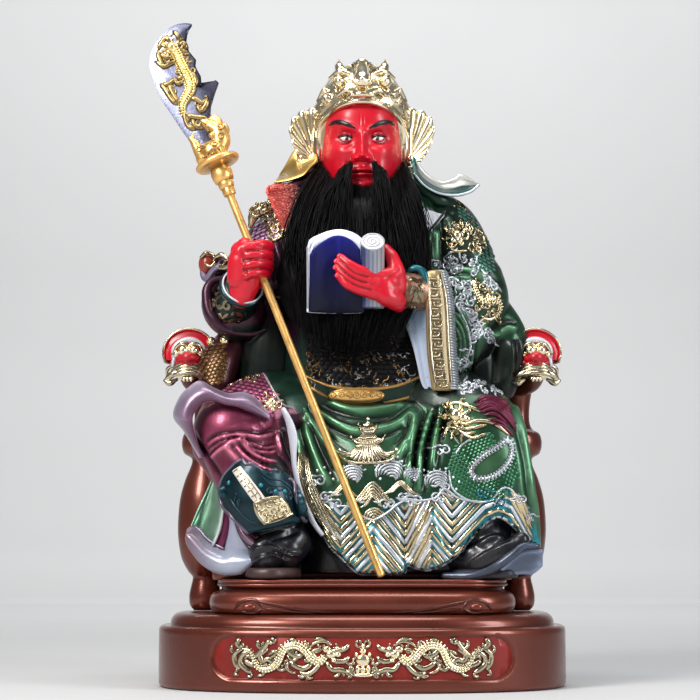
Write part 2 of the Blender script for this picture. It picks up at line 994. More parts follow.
def serpent(
    surface: Surface,
    course: Path,
    radius: float,
    scale_step: float = 2.2,
) -> list[Form]:
    """Lays a dragon's body: a thick tapering coil with rows of scales and a ridge of fins.

    Args:
        surface: The skin.
        course: The body's course from neck to tail, as x and z pairs.
        radius: Half width of the body at its thickest.
        scale_step: Distance between rows of scales.

    Returns:
        Closed forms of the body, its scales and its fins.
    """
    rough = smooth_curve(course, 5 * len(course))
    line = smooth_curve(course, int(length_of(rough) / RING_STEP))
    points, normals = surface.lay(line)
    if len(points) < 6:
        return []
    share = np.linspace(0, 1, len(points))
    girth = radius * (0.75 + 0.35 * np.sin(share * math.pi) - 0.45 * share)
    forms = [welt(points, normals, girth, 0.75)]
    side = np.cross(unit(np.gradient(points, axis=0)), normals)
    every = max(2, int(scale_step / RING_STEP))
    for k in range(2, len(points) - 2, every):
        for lane in (-0.55, 0.0, 0.55):
            middle = points[k] + side[k] * girth[k] * lane + normals[k] * girth[k] * (
                0.72 - 0.5 * lane**2
            )
            size = girth[k] * 0.3
            forms.append(ball(middle, (size, size * 0.8, size), sides=6, rows=4))
        fin = points[k] + side[k] * girth[k] * 1.05
        forms.append(ball(fin, (girth[k] * 0.3,) * 3, sides=6, rows=4))
    return forms


def flames(x: float, z: float, size: float, count: int, start: float, sweep: float) -> list[Path]:
    """Draws a fan of curling flame or mane locks about a point, through a sweep in degrees.

    Args:
        x: Place across.
        z: Height.
        size: Length of the longest lock.
        count: How many locks.
        start: Angle in degrees of the first lock.
        sweep: Angle in degrees from the first lock to the last.

    Returns:
        Courses, as x and z pairs.
    """
    paths = []
    for k in range(count):
        a = math.radians(start + sweep * k / max(1, count - 1))
        c, s = math.cos(a), math.sin(a)
        bend = 0.3 if k % 2 else -0.3
        reach = size * (1.0 if k % 2 else 0.75)
        lock = [(0.3, 0), (0.6, bend * 0.5), (0.85, bend * 0.9), (1.1, bend * 0.3)]
        paths.append([(x + reach * (u * c - w * s), z + reach * (u * s + w * c)) for u, w in lock])
    return paths


def dragon_face(surface: Surface, x: float, z: float, size: float, lean: float = 0.0) -> list[Form]:
    """Lays a small dragon's face on a skin: brow, eyes, snout, jaws, horns and whiskers.

    Args:
        surface: The skin that it lies on.
        x: Place across.
        z: Height.
        size: Its size.
        lean: Angle in degrees that it leans by.

    Returns:
        Closed forms.
    """
    c, s = math.cos(math.radians(lean)), math.sin(math.radians(lean))

    def placed(u: float, w: float) -> tuple[float, float]:
        """Returns a place of the face in the front view."""
        return (x + size * (u * c - w * s), z + size * (u * s + w * c))

    forms = []
    lumps = [
        (0, 0.2, 0.5), (0, -0.28, 0.36), (-0.24, -0.3, 0.2), (0.24, -0.3, 0.2), (0, -0.62, 0.26),
        (-0.45, 0.05, 0.26), (0.45, 0.05, 0.26), (-0.27, 0.32, 0.2), (0.27, 0.32, 0.2),
    ]
    for u, w, r in lumps:
        found = surface.frame_at(*placed(u, w))
        if found is not None:
            forms.append(ball(
                found[0] + found[1] * r * size * 0.4, (r * size, r * size * 0.8, r * size), sides=12,
                rows=8,
            ))
    horns = [
        [(way * 0.25, 0.5), (way * 0.45, 0.85), (way * 0.35, 1.25), (way * 0.6, 1.5)] for way in (-1, 1)
    ]
    whiskers = [
        [(way * 0.3, -0.35), (way * 0.8, -0.5), (way * 1.1, -0.15), (way * 1.0, 0.15)] for way in (-1, 1)
    ]
    lines = [[placed(u, w) for u, w in path] for path in horns + whiskers]
    forms += relief(surface, lines, size * 0.13, 1.2)
    mane = flames(*placed(0, 0.1), size * 1.3, 11, lean - 30, 240)
    forms += relief(surface, mane, size * 0.13, 1.0)
    return forms


def scale_mail(surface: Surface, outline: Path, pitch: float, lean: float = 0.0) -> list[Form]:
    """Covers an area of a skin with overlapping rounded scales.

    Args:
        surface: The skin.
        outline: The area's outline in the front view.
        pitch: Distance between scales.
        lean: Angle of the rows in degrees.

    Returns:
        One closed form for each scale.
    """
    ring = np.asarray(outline, float)
    middle = ring.mean(0)
    reach = np.abs(ring - middle).max() * 1.5
    c, s = math.cos(math.radians(lean)), math.sin(math.radians(lean))
    forms = []
    rows = int(reach / (pitch * SCALE_ROW))
    for row in range(-rows, rows + 1):
        for column in range(-rows, rows + 1):
            u = (column + 0.5 * (row % 2)) * pitch
            w = row * pitch * SCALE_ROW
            spot = middle + (u * c - w * s, u * s + w * c)
            if not inside(spot[None], ring)[0]:
                continue
            found = surface.frame_at(*spot)
            if found is None:
                continue
            point, normal = found
            down = np.array([s, 0, -c])
            down -= normal * (down @ normal)
            down /= max(np.linalg.norm(down), TINY)
            across = np.cross(down, normal)
            angle = np.radians(SCALE_ANGLES)
            rim = [
                point
                + across * pitch * SCALE_HALF_WIDTH * math.cos(a)
                + down * pitch * SCALE_LENGTH * math.sin(a)
                + normal * (0.1 + 0.55 * math.sin(a)) * pitch * 0.28
                for a in angle
            ]
            crown = point + down * pitch * 0.15 + normal * pitch * 0.26
            root = point - down * pitch * 0.3 - normal * pitch * 0.1
            base = [p - normal * pitch * 0.2 for p in rim]
            points = np.array([*rim, *base, crown, root])
            count = len(rim)
            tris = [(14, k + 1, k) for k in range(count - 1)] + [(14, 0, 15), (14, 15, count - 1)]
            quads = [(k, k + 1, count + k + 1, count + k) for k in range(count - 1)]
            forms.append(Form(points, np.array(quads), np.array(tris)))
    return forms


def veneer(
    surface: Surface, left: Path, right: Path, lift: float, thickness: float, columns: int = 14,
    rows: int = 40,
) -> Form:
    """Lays a thin plate on a skin between two edges drawn in the front view.

    Args:
        surface: The skin.
        left: The plate's edge at the viewer's left, from top to bottom.
        right: Its other edge, from top to bottom.
        lift: How far its middle stands in front of the skin.
        thickness: Its thickness.
        columns: Steps across it.
        rows: Steps down it.

    Returns:
        A closed form.
    """
    one, two = smooth_curve(left, rows + 1), smooth_curve(right, rows + 1)
    share = np.linspace(0, 1, columns + 1)[None, :, None]
    flat = one[:, None] * (1 - share) + two[:, None] * share
    deep = np.full(flat.shape[:2], np.nan)
    for i, j in np.ndindex(*deep.shape):
        spot, _, _, _ = surface.tree.ray_cast(
            Vector((flat[i, j, 0], surface.start, flat[i, j, 1])), surface.look,
        )
        if spot is not None:
            deep[i, j] = spot.y
    deep = np.where(np.isnan(deep), np.nanmean(deep), deep)
    for _ in range(3):
        wide = np.pad(deep, 1, mode="edge")
        deep = (wide[:-2, 1:-1] + wide[2:, 1:-1] + wide[1:-1, :-2] + wide[1:-1, 2:] + 2 * deep) / 6

    def sheet(u: np.ndarray, v: np.ndarray) -> np.ndarray:
        """Returns the plate's middle."""
        return np.stack([flat[..., 0], deep - lift, flat[..., 1]], axis=-1)

    return slab(sheet, thickness, columns, rows)


def between(
    left: Path, right: Path, depth: tuple[float, float], bow: float, thickness: float, columns: int = 20,
    rows: int = 50,
) -> Form:
    """Hangs a curved sheet between two edges drawn in the front view.

    Args:
        left: The sheet's edge at the viewer's left, from top to bottom.
        right: Its other edge, from top to bottom.
        depth: The depths of the two edges.
        bow: How far its middle bows away from the viewer.
        thickness: Its thickness.
        columns: Steps across it.
        rows: Steps down it.

    Returns:
        A closed form.
    """
    one, two = smooth_curve(left, rows + 1), smooth_curve(right, rows + 1)

    def sheet(u: np.ndarray, v: np.ndarray) -> np.ndarray:
        """Finds the sheet's middle.

        Args:
            u: Share across, from 0 to 1.
            v: Share down its length, from 0 to 1.

        Returns:
            xyz for each place.
        """
        flat = one[:, None] * (1 - u[..., None]) + two[:, None] * u[..., None]
        y = depth[0] + (depth[1] - depth[0]) * u + bow * np.sin(u * math.pi)
        return np.stack([flat[..., 0], y, flat[..., 1]], axis=-1)

    return slab(sheet, thickness, columns, rows)


# Finishes


@dataclass(frozen=True)
class Finish:
    """A painted, gilded or bare surface.

    Attributes:
        name: The finish's name.
        colour: Its colour, for a form that has no paint of its own.
        metallic: How metallic it is.
        roughness: Its mean roughness.
        coat: Weight of the clear lacquer over it.
        mottle: How much its colour varies.
        mottle_scale: Size of that variation, in repeats to a metre.
        bump: Height of its fine grain.
        grain: Size of the grain, in repeats to a metre.
        wash: How dark it is in hollows, 1 for no darkening.
        edge: How bright its raised edges are rubbed, 1 for no rubbing.
        painted: Whether it takes its colour from the form's paint.
        gloss: Strength of its mirror-like shine.
    """

    name: str
    colour: Tone
    metallic: float = 0.0
    roughness: float = 0.4
    coat: float = 0.0
    mottle: float = 0.12
    mottle_scale: float = 60.0
    bump: float = 0.1
    grain: float = 900.0
    wash: float = 0.45
    edge: float = 1.35
    painted: bool = False
    gloss: float = 0.5

    def material(self) -> bpy.types.Material:
        """Finds the finish's material, building it on first use.

        Returns:
            The material.
        """
        known = bpy.data.materials.get(self.name)
        if known:
            return known
        material = bpy.data.materials.new(self.name)
        material.use_nodes = True
        material.diffuse_color = (*self.colour, 1)
        nodes, links = material.node_tree.nodes, material.node_tree.links
        shader = nodes["Principled BSDF"]
        shader.inputs["Metallic"].default_value = self.metallic
        shader.inputs["Coat Weight"].default_value = self.coat
        shader.inputs["Specular IOR Level"].default_value = self.gloss
        shader.inputs["Coat Roughness"].default_value = 0.12
        place = nodes.new("ShaderNodeTexCoord").outputs["Object"]
        base = self._base(nodes)
        cloudy = self._noise(nodes, links, place, self.mottle_scale, 4)
        shade = self._range(nodes, links, cloudy, 1 - self.mottle, 1 + self.mottle)
        base = self._times(nodes, links, base, shade)
        worn = nodes.new("ShaderNodeValToRGB")
        ramp = worn.color_ramp
        ramp.elements[0].position = 0.42
        ramp.elements[0].color = (self.wash,) * 3 + (1,)
        ramp.elements[1].position = 0.60
        ramp.elements[1].color = (self.edge,) * 3 + (1,)
        middle = ramp.elements.new(0.495)
        middle.color = (1, 1, 1, 1)
        links.new(nodes.new("ShaderNodeNewGeometry").outputs["Pointiness"], worn.inputs["Fac"])
        base = self._times(nodes, links, base, worn.outputs["Color"])
        links.new(base, shader.inputs["Base Color"])
        rough = self._range(nodes, links, cloudy, self.roughness * 0.8, self.roughness * 1.25)
        links.new(rough, shader.inputs["Roughness"])
        bump = nodes.new("ShaderNodeBump")
        bump.inputs["Strength"].default_value = self.bump
        bump.inputs["Distance"].default_value = 0.0004
        links.new(self._noise(nodes, links, place, self.grain, 2), bump.inputs["Height"])
        links.new(bump.outputs["Normal"], shader.inputs["Normal"])
        return material

    def _base(self, nodes: bpy.types.Nodes) -> bpy.types.NodeSocket:
        """Finds the socket that gives the finish's own colour or the form's paint.

        Args:
            nodes: The material's nodes.

        Returns:
            The socket that carries it.
        """
        if self.painted:
            paint = nodes.new("ShaderNodeAttribute")
            paint.attribute_name = "tone"
            return paint.outputs["Color"]
        plain = nodes.new("ShaderNodeRGB")
        plain.outputs[0].default_value = (*self.colour, 1)
        return plain.outputs[0]

    @staticmethod
    def _noise(
        nodes: bpy.types.Nodes,
        links: bpy.types.NodeLinks,
        place: bpy.types.NodeSocket,
        scale: float,
        detail: float,
    ) -> bpy.types.NodeSocket:
        """Adds a noise texture and returns its value.

        Args:
            nodes: The material's nodes.
            links: The material's links.
            place: The socket of the position.
            scale: Size of the noise, in repeats to a metre.
            detail: How many finer layers it has.

        Returns:
            The socket that carries it.
        """
        noise = nodes.new("ShaderNodeTexNoise")
        noise.inputs["Scale"].default_value = scale
        noise.inputs["Detail"].default_value = detail
        links.new(place, noise.inputs["Vector"])
        return noise.outputs["Fac"]

    @staticmethod
    def _range(
        nodes: bpy.types.Nodes,
        links: bpy.types.NodeLinks,
        value: bpy.types.NodeSocket,
        low: float,
        high: float,
    ) -> bpy.types.NodeSocket:
        """Maps a noise value to a range and returns it.

        Args:
            nodes: The material's nodes.
            links: The material's links.
            value: The socket of the noise.
            low: Result for a low value.
            high: Result for a high value.

        Returns:
            The socket that carries it.
        """
        span = nodes.new("ShaderNodeMapRange")
        span.inputs["From Min"].default_value = 0.3
        span.inputs["From Max"].default_value = 0.7
        span.inputs["To Min"].default_value = low
        span.inputs["To Max"].default_value = high
        links.new(value, span.inputs["Value"])
        return span.outputs["Result"]

    @staticmethod
    def _times(
        nodes: bpy.types.Nodes,
        links: bpy.types.NodeLinks,
        colour: bpy.types.NodeSocket,
        shade: bpy.types.NodeSocket,
    ) -> bpy.types.NodeSocket:
        """Multiplies a colour by a shade and returns the result.

        Args:
            nodes: The material's nodes.
            links: The material's links.
            colour: The socket of the colour.
            shade: The socket of the shade.

        Returns:
            The socket that carries it.
        """
        mix = nodes.new("ShaderNodeMix")
        mix.data_type = "RGBA"
        mix.blend_type = "MULTIPLY"
        mix.inputs["Factor"].default_value = 1.0
        links.new(colour, mix.inputs[6])
        links.new(shade, mix.inputs[7])
        return mix.outputs[2]


class Paint(Enum):
    """The statue's finishes."""

    LACQUER = Finish(
        "lacquer", (0.125, 0.025, 0.013), 0.55, 0.3, 0.35, 0.1, 25, 0.12, wash=0.35, edge=1.6,
    )
    PANEL = Finish("panel_red", (0.2, 0.014, 0.01), 0.2, 0.4, 0.15, wash=0.5, gloss=0.3)
    GOLD = Finish("gilding", (0.93, 0.77, 0.48), 1.0, 0.2, 0.1, 0.08, 120, 0.25, wash=0.3, edge=1.1)
    PALE_GOLD = Finish(
        "pale_gilding", (0.95, 0.82, 0.57), 1.0, 0.22, 0.1, 0.08, 120, 0.2, wash=0.35, edge=1.1,
    )
    BRONZE_GOLD = Finish("bronze_gilding", (0.78, 0.46, 0.15), 0.75, 0.32, 0.1, 0.1, 90, 0.3, wash=0.35)
    BLADE_GOLD = Finish("blade_gilding", (0.84, 0.6, 0.25), 0.9, 0.3, 0.1, 0.1, 100, 0.2, wash=0.3)
    SILVER = Finish("silvering", (0.8, 0.84, 0.9), 0.7, 0.3, 0.1, 0.1, 100, 0.2, wash=0.45, edge=1.15)
    STEEL = Finish("blade_grey", (0.1, 0.1, 0.13), 0.8, 0.3, 0.2, 0.1, 60, 0.2, painted=True)
    ENAMEL = Finish(
        "enamel", (0.05, 0.2, 0.1), 0.62, 0.36, 0.2, 0.16, 70, 0.2, wash=0.2, edge=2.4, painted=True,
    )
    CLOTH = Finish(
        "matt_enamel", (0.2, 0.02, 0.05), 0.25, 0.45, 0.1, 0.2, 70, 0.3, wash=0.4, painted=True,
    )
    SKIN = Finish(
        "red_skin", (0.55, 0.004, 0.018), 0.0, 0.34, 0.08, 0.05, 40, 0.06, wash=0.5, edge=1.1,
        painted=True,
    )
    WHITE = Finish(
        "white_enamel", (0.7, 0.72, 0.78), 0.15, 0.3, 0.3, 0.06, 60, 0.1, wash=0.55, edge=1.0,
        painted=True,
    )
    BLACK = Finish(
        "black_enamel", (0.006, 0.006, 0.009), 0.2, 0.32, 0.25, 0.2, 60, 0.15, wash=0.6, edge=2.0,
    )
    HAIR = Finish(
        "black_hair", (0.0035, 0.003, 0.0036), 0.0, 0.5, 0.0, 0.4, 300, 0.0, wash=1.0, edge=1.0,
        gloss=0.1,
    )
    BLUE = Finish(
        "blue_enamel", (0.004, 0.006, 0.13), 0.2, 0.5, 0.05, 0.15, 50, 0.12, wash=0.8, painted=True,
        gloss=0.25,
    )
    FUR = Finish("red_fur", (0.42, 0.012, 0.03), 0.3, 0.4, 0.1, 0.2, 200, 0.4, painted=True)


# Pieces


def lightened(mesh: bpy.types.Mesh, keep: float) -> bpy.types.Mesh:
    """Merges facets where a mesh is nearly flat.

    Args:
        mesh: The mesh.
        keep: Share of its facets that stays.

    Returns:
        The lighter mesh, with the same finishes and tones.
    """
    obj = linked(mesh.name, mesh)
    obj.modifiers.new("lighten", "DECIMATE").ratio = keep
    light = bpy.data.meshes.new_from_object(obj.evaluated_get(bpy.context.evaluated_depsgraph_get()))
    bpy.data.objects.remove(obj)
    bpy.data.meshes.remove(mesh)
    return light


class Piece:
    """One Blender object, gathered from forms in several finishes."""

    def __init__(self, name: str, slot: str, nodes: Sequence[str] = ()) -> None:
        """Starts an empty piece.

        Args:
            name: The piece's name.
            slot: The record's material slot that it takes its finish from.
            nodes: CAD nodes that it stands for.
        """
        self.name = name
        self.slot = slot
        self.nodes = nodes
        self.parts: list[tuple[Form, Finish]] = []

    def add(self, forms: Form | Iterable[Form], paint: Paint) -> "Piece":
        """Adds one or more forms in a finish and returns the piece.

        Args:
            forms: One form or several.
            paint: Their finish.

        Returns:
            The piece.
        """
        for form in [forms] if isinstance(forms, Form) else forms:
            if form.tone is None:
                form = form.toned(paint.value.colour)
            self.parts.append((form, paint.value))
        return self

    def add_all(self, pairs: Iterable[tuple[Form | Iterable[Form], Paint]]) -> None:
        """Adds forms that come in pairs with their finish."""
        for forms, paint in pairs:
            self.add(forms, paint)

    def build(
        self, fit: Callable[[np.ndarray], np.ndarray], sharp: float = 60.0, keep: float = 0.5
    ) -> bpy.types.Object:
        """Builds the object, sets its finishes and fixes it to the frame.

        Args:
            fit: Places drawn millimetres in the frame's millimetres.
            sharp: Angle in degrees above which an edge stays crisp.
            keep: Share of the facets that stays.

        Returns:
            The object.
        """
        whole = join(form for form, _ in self.parts)
        whole = whole.copy_with(fit(whole.points))
        mesh = as_mesh(whole, self.name, MM)
        finishes = list(dict.fromkeys(finish for _, finish in self.parts))
        for finish in finishes:
            mesh.materials.append(finish.material())
        quads = [np.full(len(form.quads), finishes.index(finish)) for form, finish in self.parts]
        tris = [np.full(len(form.tris), finishes.index(finish)) for form, finish in self.parts]
        index = np.concatenate(quads + tris).astype(np.int32)
        mesh.polygons.foreach_set("material_index", index)
        mesh.polygons.foreach_set("use_smooth", np.ones(len(index), bool))
        paint = mesh.attributes.new("tone", "FLOAT_COLOR", "POINT")
        tone = np.concatenate([whole.tone, np.ones((len(whole.points), 1))], axis=1)
        paint.data.foreach_set("color", tone.astype(np.float32).ravel())
        if keep < 1:
            mesh = lightened(mesh, keep)
        mesh.set_sharp_from_angle(angle=math.radians(sharp))
        obj = linked(self.name, mesh)
        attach(obj, BODY)
        if self.nodes:
            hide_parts(*self.nodes)
        LOG.info("%s: %d triangles", self.name, sum(len(face.vertices) - 2 for face in mesh.polygons))
        return obj


def figure_piece(name: str) -> Piece:
    """Starts a piece of the figure, which is one casting with the others of the figure."""
    return Piece(name, "figure", ["figure"])


# The frame's boxes


@dataclass(frozen=True)
class Box:
    """A box in millimetres."""

    low: np.ndarray
    high: np.ndarray

    @classmethod
    def of(cls, node: str) -> "Box":
        """Returns a frame node's box."""
        low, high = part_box(node)
        return cls(np.array(low) / MM, np.array(high) / MM)

    @property
    def half(self) -> np.ndarray:
        """Half its size along each axis."""
        return (self.high - self.low) / 2


def stay(points: np.ndarray) -> np.ndarray:
    """Leaves points where they are: they are drawn in the frame's own millimetres."""
    return points


# Plinth


@dataclass
class Plinth:
    """The oval drum, the step on it and the round-ended recess in its front."""

    box: Box
    squareness: float = 2.5
    drum_height: float = 42.5
    step_inset: float = 12.5
    panel_half_width: float = 102.5
    panel_low: float = 7.5
    panel_high: float = 38.5
    recess: float = 2.3
    bevel: float = 2.6
    sides: int = 240
    outline_step: float = 1.3

    @property
    def panel_middle(self) -> float:
        """Height of the recess's middle."""
        return (self.panel_low + self.panel_high) / 2

    def ring(self, inset: float, columns: np.ndarray) -> np.ndarray:
        """Returns the drum's outline, drawn in by an inset, at the given angles."""
        half = self.box.half
        return oval(columns, half[0] - inset, half[1] - inset, self.squareness)

    def columns(self) -> np.ndarray:
        """Finds the outline's angles at even steps of length, from the front's middle.

        Returns:
            Angles in radians.
        """
        dense = np.linspace(0, TURN, 6001) - math.pi / 2
        ring = self.ring(0, dense)
        run = runs(ring)
        return np.interp(np.arange(0, run[-1], self.outline_step), run, dense)

    def panel_edge(self, x: np.ndarray, z: np.ndarray) -> np.ndarray:
        """Finds how far inside the recess's outline places are, negative outside.

        Args:
            x: Place across.
            z: Height.

        Returns:
            One distance for each place.
        """
        radius = (self.panel_high - self.panel_low) / 2
        beyond = np.maximum(np.abs(x) - (self.panel_half_width - radius), 0)
        return radius - np.hypot(beyond, z - self.panel_middle)

    def front(self, x: np.ndarray, inset: float) -> np.ndarray:
        """Finds the drum's front at x, drawn in by an inset.

        Args:
            x: Place across.
            inset: How far the outline is drawn in.

        Returns:
            y for each x.
        """
        half = self.box.half
        share = np.clip(np.abs(x) / (half[0] - inset), 0, 1)
        return -(half[1] - inset) * (1 - share**self.squareness) ** (1 / self.squareness)

    def drum(self) -> Form:
        """Makes the drum's side with its recess pressed in.

        Returns:
            The side as an open form.
        """
        columns = self.columns()
        heights = [0, 0.8, 2.5] + list(np.arange(3.5, 39.6, 1.3)) + [40.4, 41.6, 42.5]
        insets = [3.0, 1.0, 0.0] + [0.0] * (len(heights) - 6) + [0.2, 0.9, 2.4]
        rows = []
        for z, inset in zip(heights, insets):
            ring = self.ring(inset, columns)
            edge = self.panel_edge(ring[:, 0], z)
            edge = np.where(ring[:, 1] < 0, edge, -9)
            press = self.recess * np.clip(edge / self.bevel, 0, 1)
            outward = unit(ring)
            outward = np.where(edge[:, None] > -3, (0, -1), outward)
            rows.append(level(ring - outward * press[:, None], z))
        return grid(np.array(rows), around=True, caps=False)

    def step(self) -> Form:
        """Makes the ledge and the moulded step on the drum, closed on top.

        Returns:
            A closed form.
        """
        angle = even_angles(self.sides)
        top = self.box.high[2]
        rise = top - self.drum_height
        profile = [
            (5.0, -0.3), (2.6, -0.12), (2.3, 0), (7.4, 0), (7.9, 0.05), (8.1, 0.18), (8.2, 0.32),
            (8.7, 0.5), (9.6, 0.67), (11.0, 0.83), (12.6, 0.94), (14.4, 0.99), (17, 1), (60, 1),
        ]
        rows = [
            level(self.ring(inset, angle), self.drum_height + rise * share)
            for inset, share in profile
        ]
        return grid(np.array(rows), around=True, caps=True)

    def base(self) -> Form:
        """Makes the flat underside.

        Returns:
            A closed form.
        """
        angle = even_angles(self.sides)
        rows = [level(self.ring(inset, angle), 0.0) for inset in (9, 3)]
        return grid(np.array(rows), around=True, caps=True)

    def build(self) -> bpy.types.Object:
        """Builds the plinth.

        Returns:
            The object.
        """
        piece = Piece("plinth_casting", "plinth", ["plinth"])
        piece.add([self.drum(), self.step(), self.base()], Paint.LACQUER)
        return piece.build(stay, 40, 1.0)


@dataclass
class Plaque:
    """The gold relief in the recess: two dragons face a censer on a red ground."""

    plinth: Plinth
    body_radius: float = 3.5

    def ground(self) -> Form:
        """Makes the red ground, a thin plate that follows the drum's curve.

        Returns:
            A closed form.
        """
        plinth = self.plinth
        reach = plinth.panel_half_width - plinth.bevel * 0.5
        tall = plinth.panel_high - plinth.panel_middle - plinth.bevel * 0.5

        def surface(u: np.ndarray, v: np.ndarray) -> np.ndarray:
            """Finds the plate's middle.

            Args:
                u: Share across, from 0 to 1.
                v: Share down its length, from 0 to 1.

            Returns:
                xyz for each place.
            """
            w = v * 2 - 1
            x = (u * 2 - 1) * (reach - tall * (1 - np.sqrt(np.clip(1 - w * w, 0, 1))))
            y = plinth.front(x, 0) + plinth.recess - 0.25
            return np.stack([x, y, plinth.panel_middle + w * tall], axis=-1)

        return slab(surface, 0.6, 150, 26)

    def dragon(self, surface: Surface) -> list[Form]:
        """Makes the relief of the dragon at the viewer's left, which faces the middle.

        Args:
            surface: The skin that it lies on.

        Returns:
            Closed forms.
        """
        body = [
            (-24.5, 25.1), (-28.5, 20.5), (-33.8, 22.5), (-38.5, 28.4), (-44.4, 31.7), (-51.1, 30.4),
            (-54.4, 25.1), (-57.7, 18.5), (-65.0, 15.3), (-70.9, 17.9), (-72.9, 23.1), (-75.6, 27.7),
            (-80.9, 29.1),
        ]
        forms = serpent(surface, body, self.body_radius, 1.7)
        for (x, z), size in zip([
            (-21.2, 25.8), (-23.9, 29.1), (-17.2, 29.7), (-13.2, 29.7), (-16.6, 25.8), (-19.2, 21.8),
        ], (3.4, 3.0, 2.0, 1.9, 2.4, 2.0)):
            forms += knob_on(surface, x, z, (size, 1.9, size * 0.8), 0.5, 14, 8)
        thick = [
            [(-21.9, 27.7), (-16.6, 28.4), (-11.9, 29.7), (-9.3, 32.4)],
            [(-21.2, 23.1), (-16.6, 21.2), (-11.9, 21.8), (-9.3, 24.5)],
            [(-28.5, 19.9), (-33.1, 14.6), (-37.8, 12.6), (-41.7, 14.0)],
            [(-24.5, 21.2), (-20.5, 15.9), (-15.2, 15.9), (-8.6, 14.0)],
            [(-33.8, 19.9), (-39.1, 16.6), (-44.4, 17.9), (-48.4, 21.2)],
            [(-51.7, 30.4), (-47.1, 25.8), (-42.4, 24.5), (-39.8, 27.1)],
            [(-57.7, 18.5), (-63.0, 22.5), (-67.0, 21.2), (-68.3, 25.8), (-63.0, 29.1)],
            [(-72.9, 23.1), (-67.0, 28.4), (-63.0, 33.7), (-60.4, 32.4)],
            [(-75.6, 27.7), (-80.9, 24.5), (-81.6, 19.2), (-77.6, 15.3), (-73.6, 13.3)],
            [(-80.9, 29.1), (-84.3, 33.0), (-81.6, 35.6)],
            [(-80.9, 29.1), (-85.6, 25.8), (-85.5, 20.5), (-83.5, 15.9)],
            [(-70.9, 17.9), (-75.6, 19.2), (-78.9, 21.8)],
        ]
        thin = [
            [(-20.5, 31.7), (-25.2, 34.3), (-31.2, 33.7), (-35.8, 30.4)],
            [(-21.9, 33.0), (-27.2, 36.3), (-32.5, 35.6)], [(-27.2, 29.1), (-32.5, 28.4), (-35.1, 25.1)],
            [(-37.8, 12.6), (-40.4, 10.7), (-43.7, 12.0)], [(-37.8, 12.6), (-36.4, 10.0), (-33.1, 10.7)],
            [(-15.2, 15.9), (-16.6, 12.0), (-19.9, 11.3)], [(-8.6, 14.0), (-6.6, 15.9), (-7.9, 17.9)],
            [(-8.6, 14.0), (-7.9, 11.3), (-10.6, 10.7)], [(-11.9, 21.8), (-8.6, 19.2), (-5.9, 20.5)],
            [(-48.4, 21.2), (-51.0, 17.9), (-48.4, 14.6), (-44.4, 13.3)],
            [(-42.4, 24.5), (-46.4, 21.8), (-50.4, 25.1)], [(-54.4, 25.1), (-59.0, 27.7), (-63.0, 25.1)],
            [(-65.0, 15.3), (-66.9, 12.0), (-70.9, 11.3)], [(-63.0, 22.5), (-59.0, 25.1), (-56.4, 29.1)],
            [(-60.4, 32.4), (-58.4, 35.0), (-61.7, 36.3)], [(-67.0, 28.4), (-70.3, 31.7), (-69.7, 35.0)],
            [(-73.6, 13.3), (-74.9, 10.7), (-77.5, 11.3)], [(-83.5, 15.9), (-85.5, 12.6), (-82.8, 11.3)],
            [(-85.6, 25.8), (-88.2, 28.4), (-86.9, 31.7)], [(-44.4, 31.7), (-45.8, 35.6), (-49.8, 35.0)],
            [(-38.5, 28.4), (-36.5, 32.4), (-39.1, 35.0)], [(-57.7, 18.5), (-55.0, 15.3), (-51.0, 15.9)],
            [(-33.8, 22.5), (-37.1, 21.2), (-39.1, 23.1)], [(-78.9, 21.8), (-76.9, 24.5), (-73.6, 22.5)],
        ]
        forms += relief(surface, thick, 2.1, 1.0, 0.7) + relief(surface, thin, 1.3, 1.15, 0.6)
        for x, z, size, start in self.sprays():
            forms += relief(surface, flames(x, z, size, 5, start, 150), 0.95, 1.2, 0.6)
        return forms

    @staticmethod
    def sprays() -> list[tuple[float, float, float, float]]:
        """Finds the flame sprays round the dragon: x, height, size and start angle.

        Returns:
            x, height, size and start angle of each.
        """
        spots = [
            (-27.2, 29.1), (-37.8, 15.3), (-14.6, 15.3), (-44.4, 29.1), (-53.0, 19.9), (-67.0, 18.5),
            (-68.3, 30.4), (-79.6, 29.1), (-81.5, 17.2), (-16.6, 31.0),
        ]
        return [(x, z, 4.6 - 0.15 * k, 80 + 47 * k) for k, (x, z) in enumerate(spots)]

    def censer(self, surface: Surface) -> list[Form]:
        """Makes the tripod censer in the middle, with a flaming pearl over it.

        Args:
            surface: The skin that it lies on.

        Returns:
            Closed forms.
        """
        z = self.plinth.panel_middle
        lumps = [
            (0, -1, 4.6, 4.2), (0, 5.2, 2.3, 2.2), (0, 8.6, 1.6, 1.8), (-4.4, 2.8, 1.4, 1.8),
            (4.4, 2.8, 1.4, 1.8), (-3.6, -7, 1.6, 3.2), (3.6, -7, 1.6, 3.2), (0, -7.5, 1.8, 2.8),
            (0, -10.8, 7.0, 1.6),
        ]
        forms = []
        for x, h, wide, tall in lumps:
            forms += knob_on(surface, x, z + h, (wide, 2.0, tall), 0.4, 14, 9)
        lines: list[Path] = []
        for way in (-1, 1):
            lines += [
                [(way * 1.5, z + 7), (way * 4.6, z + 9), (way * 3.6, z + 12.5)],
                [(way * 1, z + 10), (way * 2.4, z + 12.5)],
                [(way * 5, z - 9.5), (way * 9, z - 8), (way * 8, z - 4.5)],
                [(way * 6, z - 11), (way * 10.5, z - 10), (way * 12, z - 7)],
                [(way * 4.5, z + 1), (way * 6.8, z - 1), (way * 5.6, z - 4)],
            ]
        return forms + relief(surface, lines, 1.1, 1.1, 0.6)

    def build(self) -> bpy.types.Object:
        """Builds the plaque.

        Returns:
            The object.
        """
        ground = self.ground()
        surface = Surface(ground)
        left = join(self.dragon(surface))
        piece = Piece("dragon_plaque", "plaque", ["plaque"])
        piece.add(ground, Paint.PANEL)
        piece.add([left, left.mirrored(), *self.censer(surface)], Paint.PALE_GOLD)
        return piece.build(stay, 60, 0.66)


# Chair


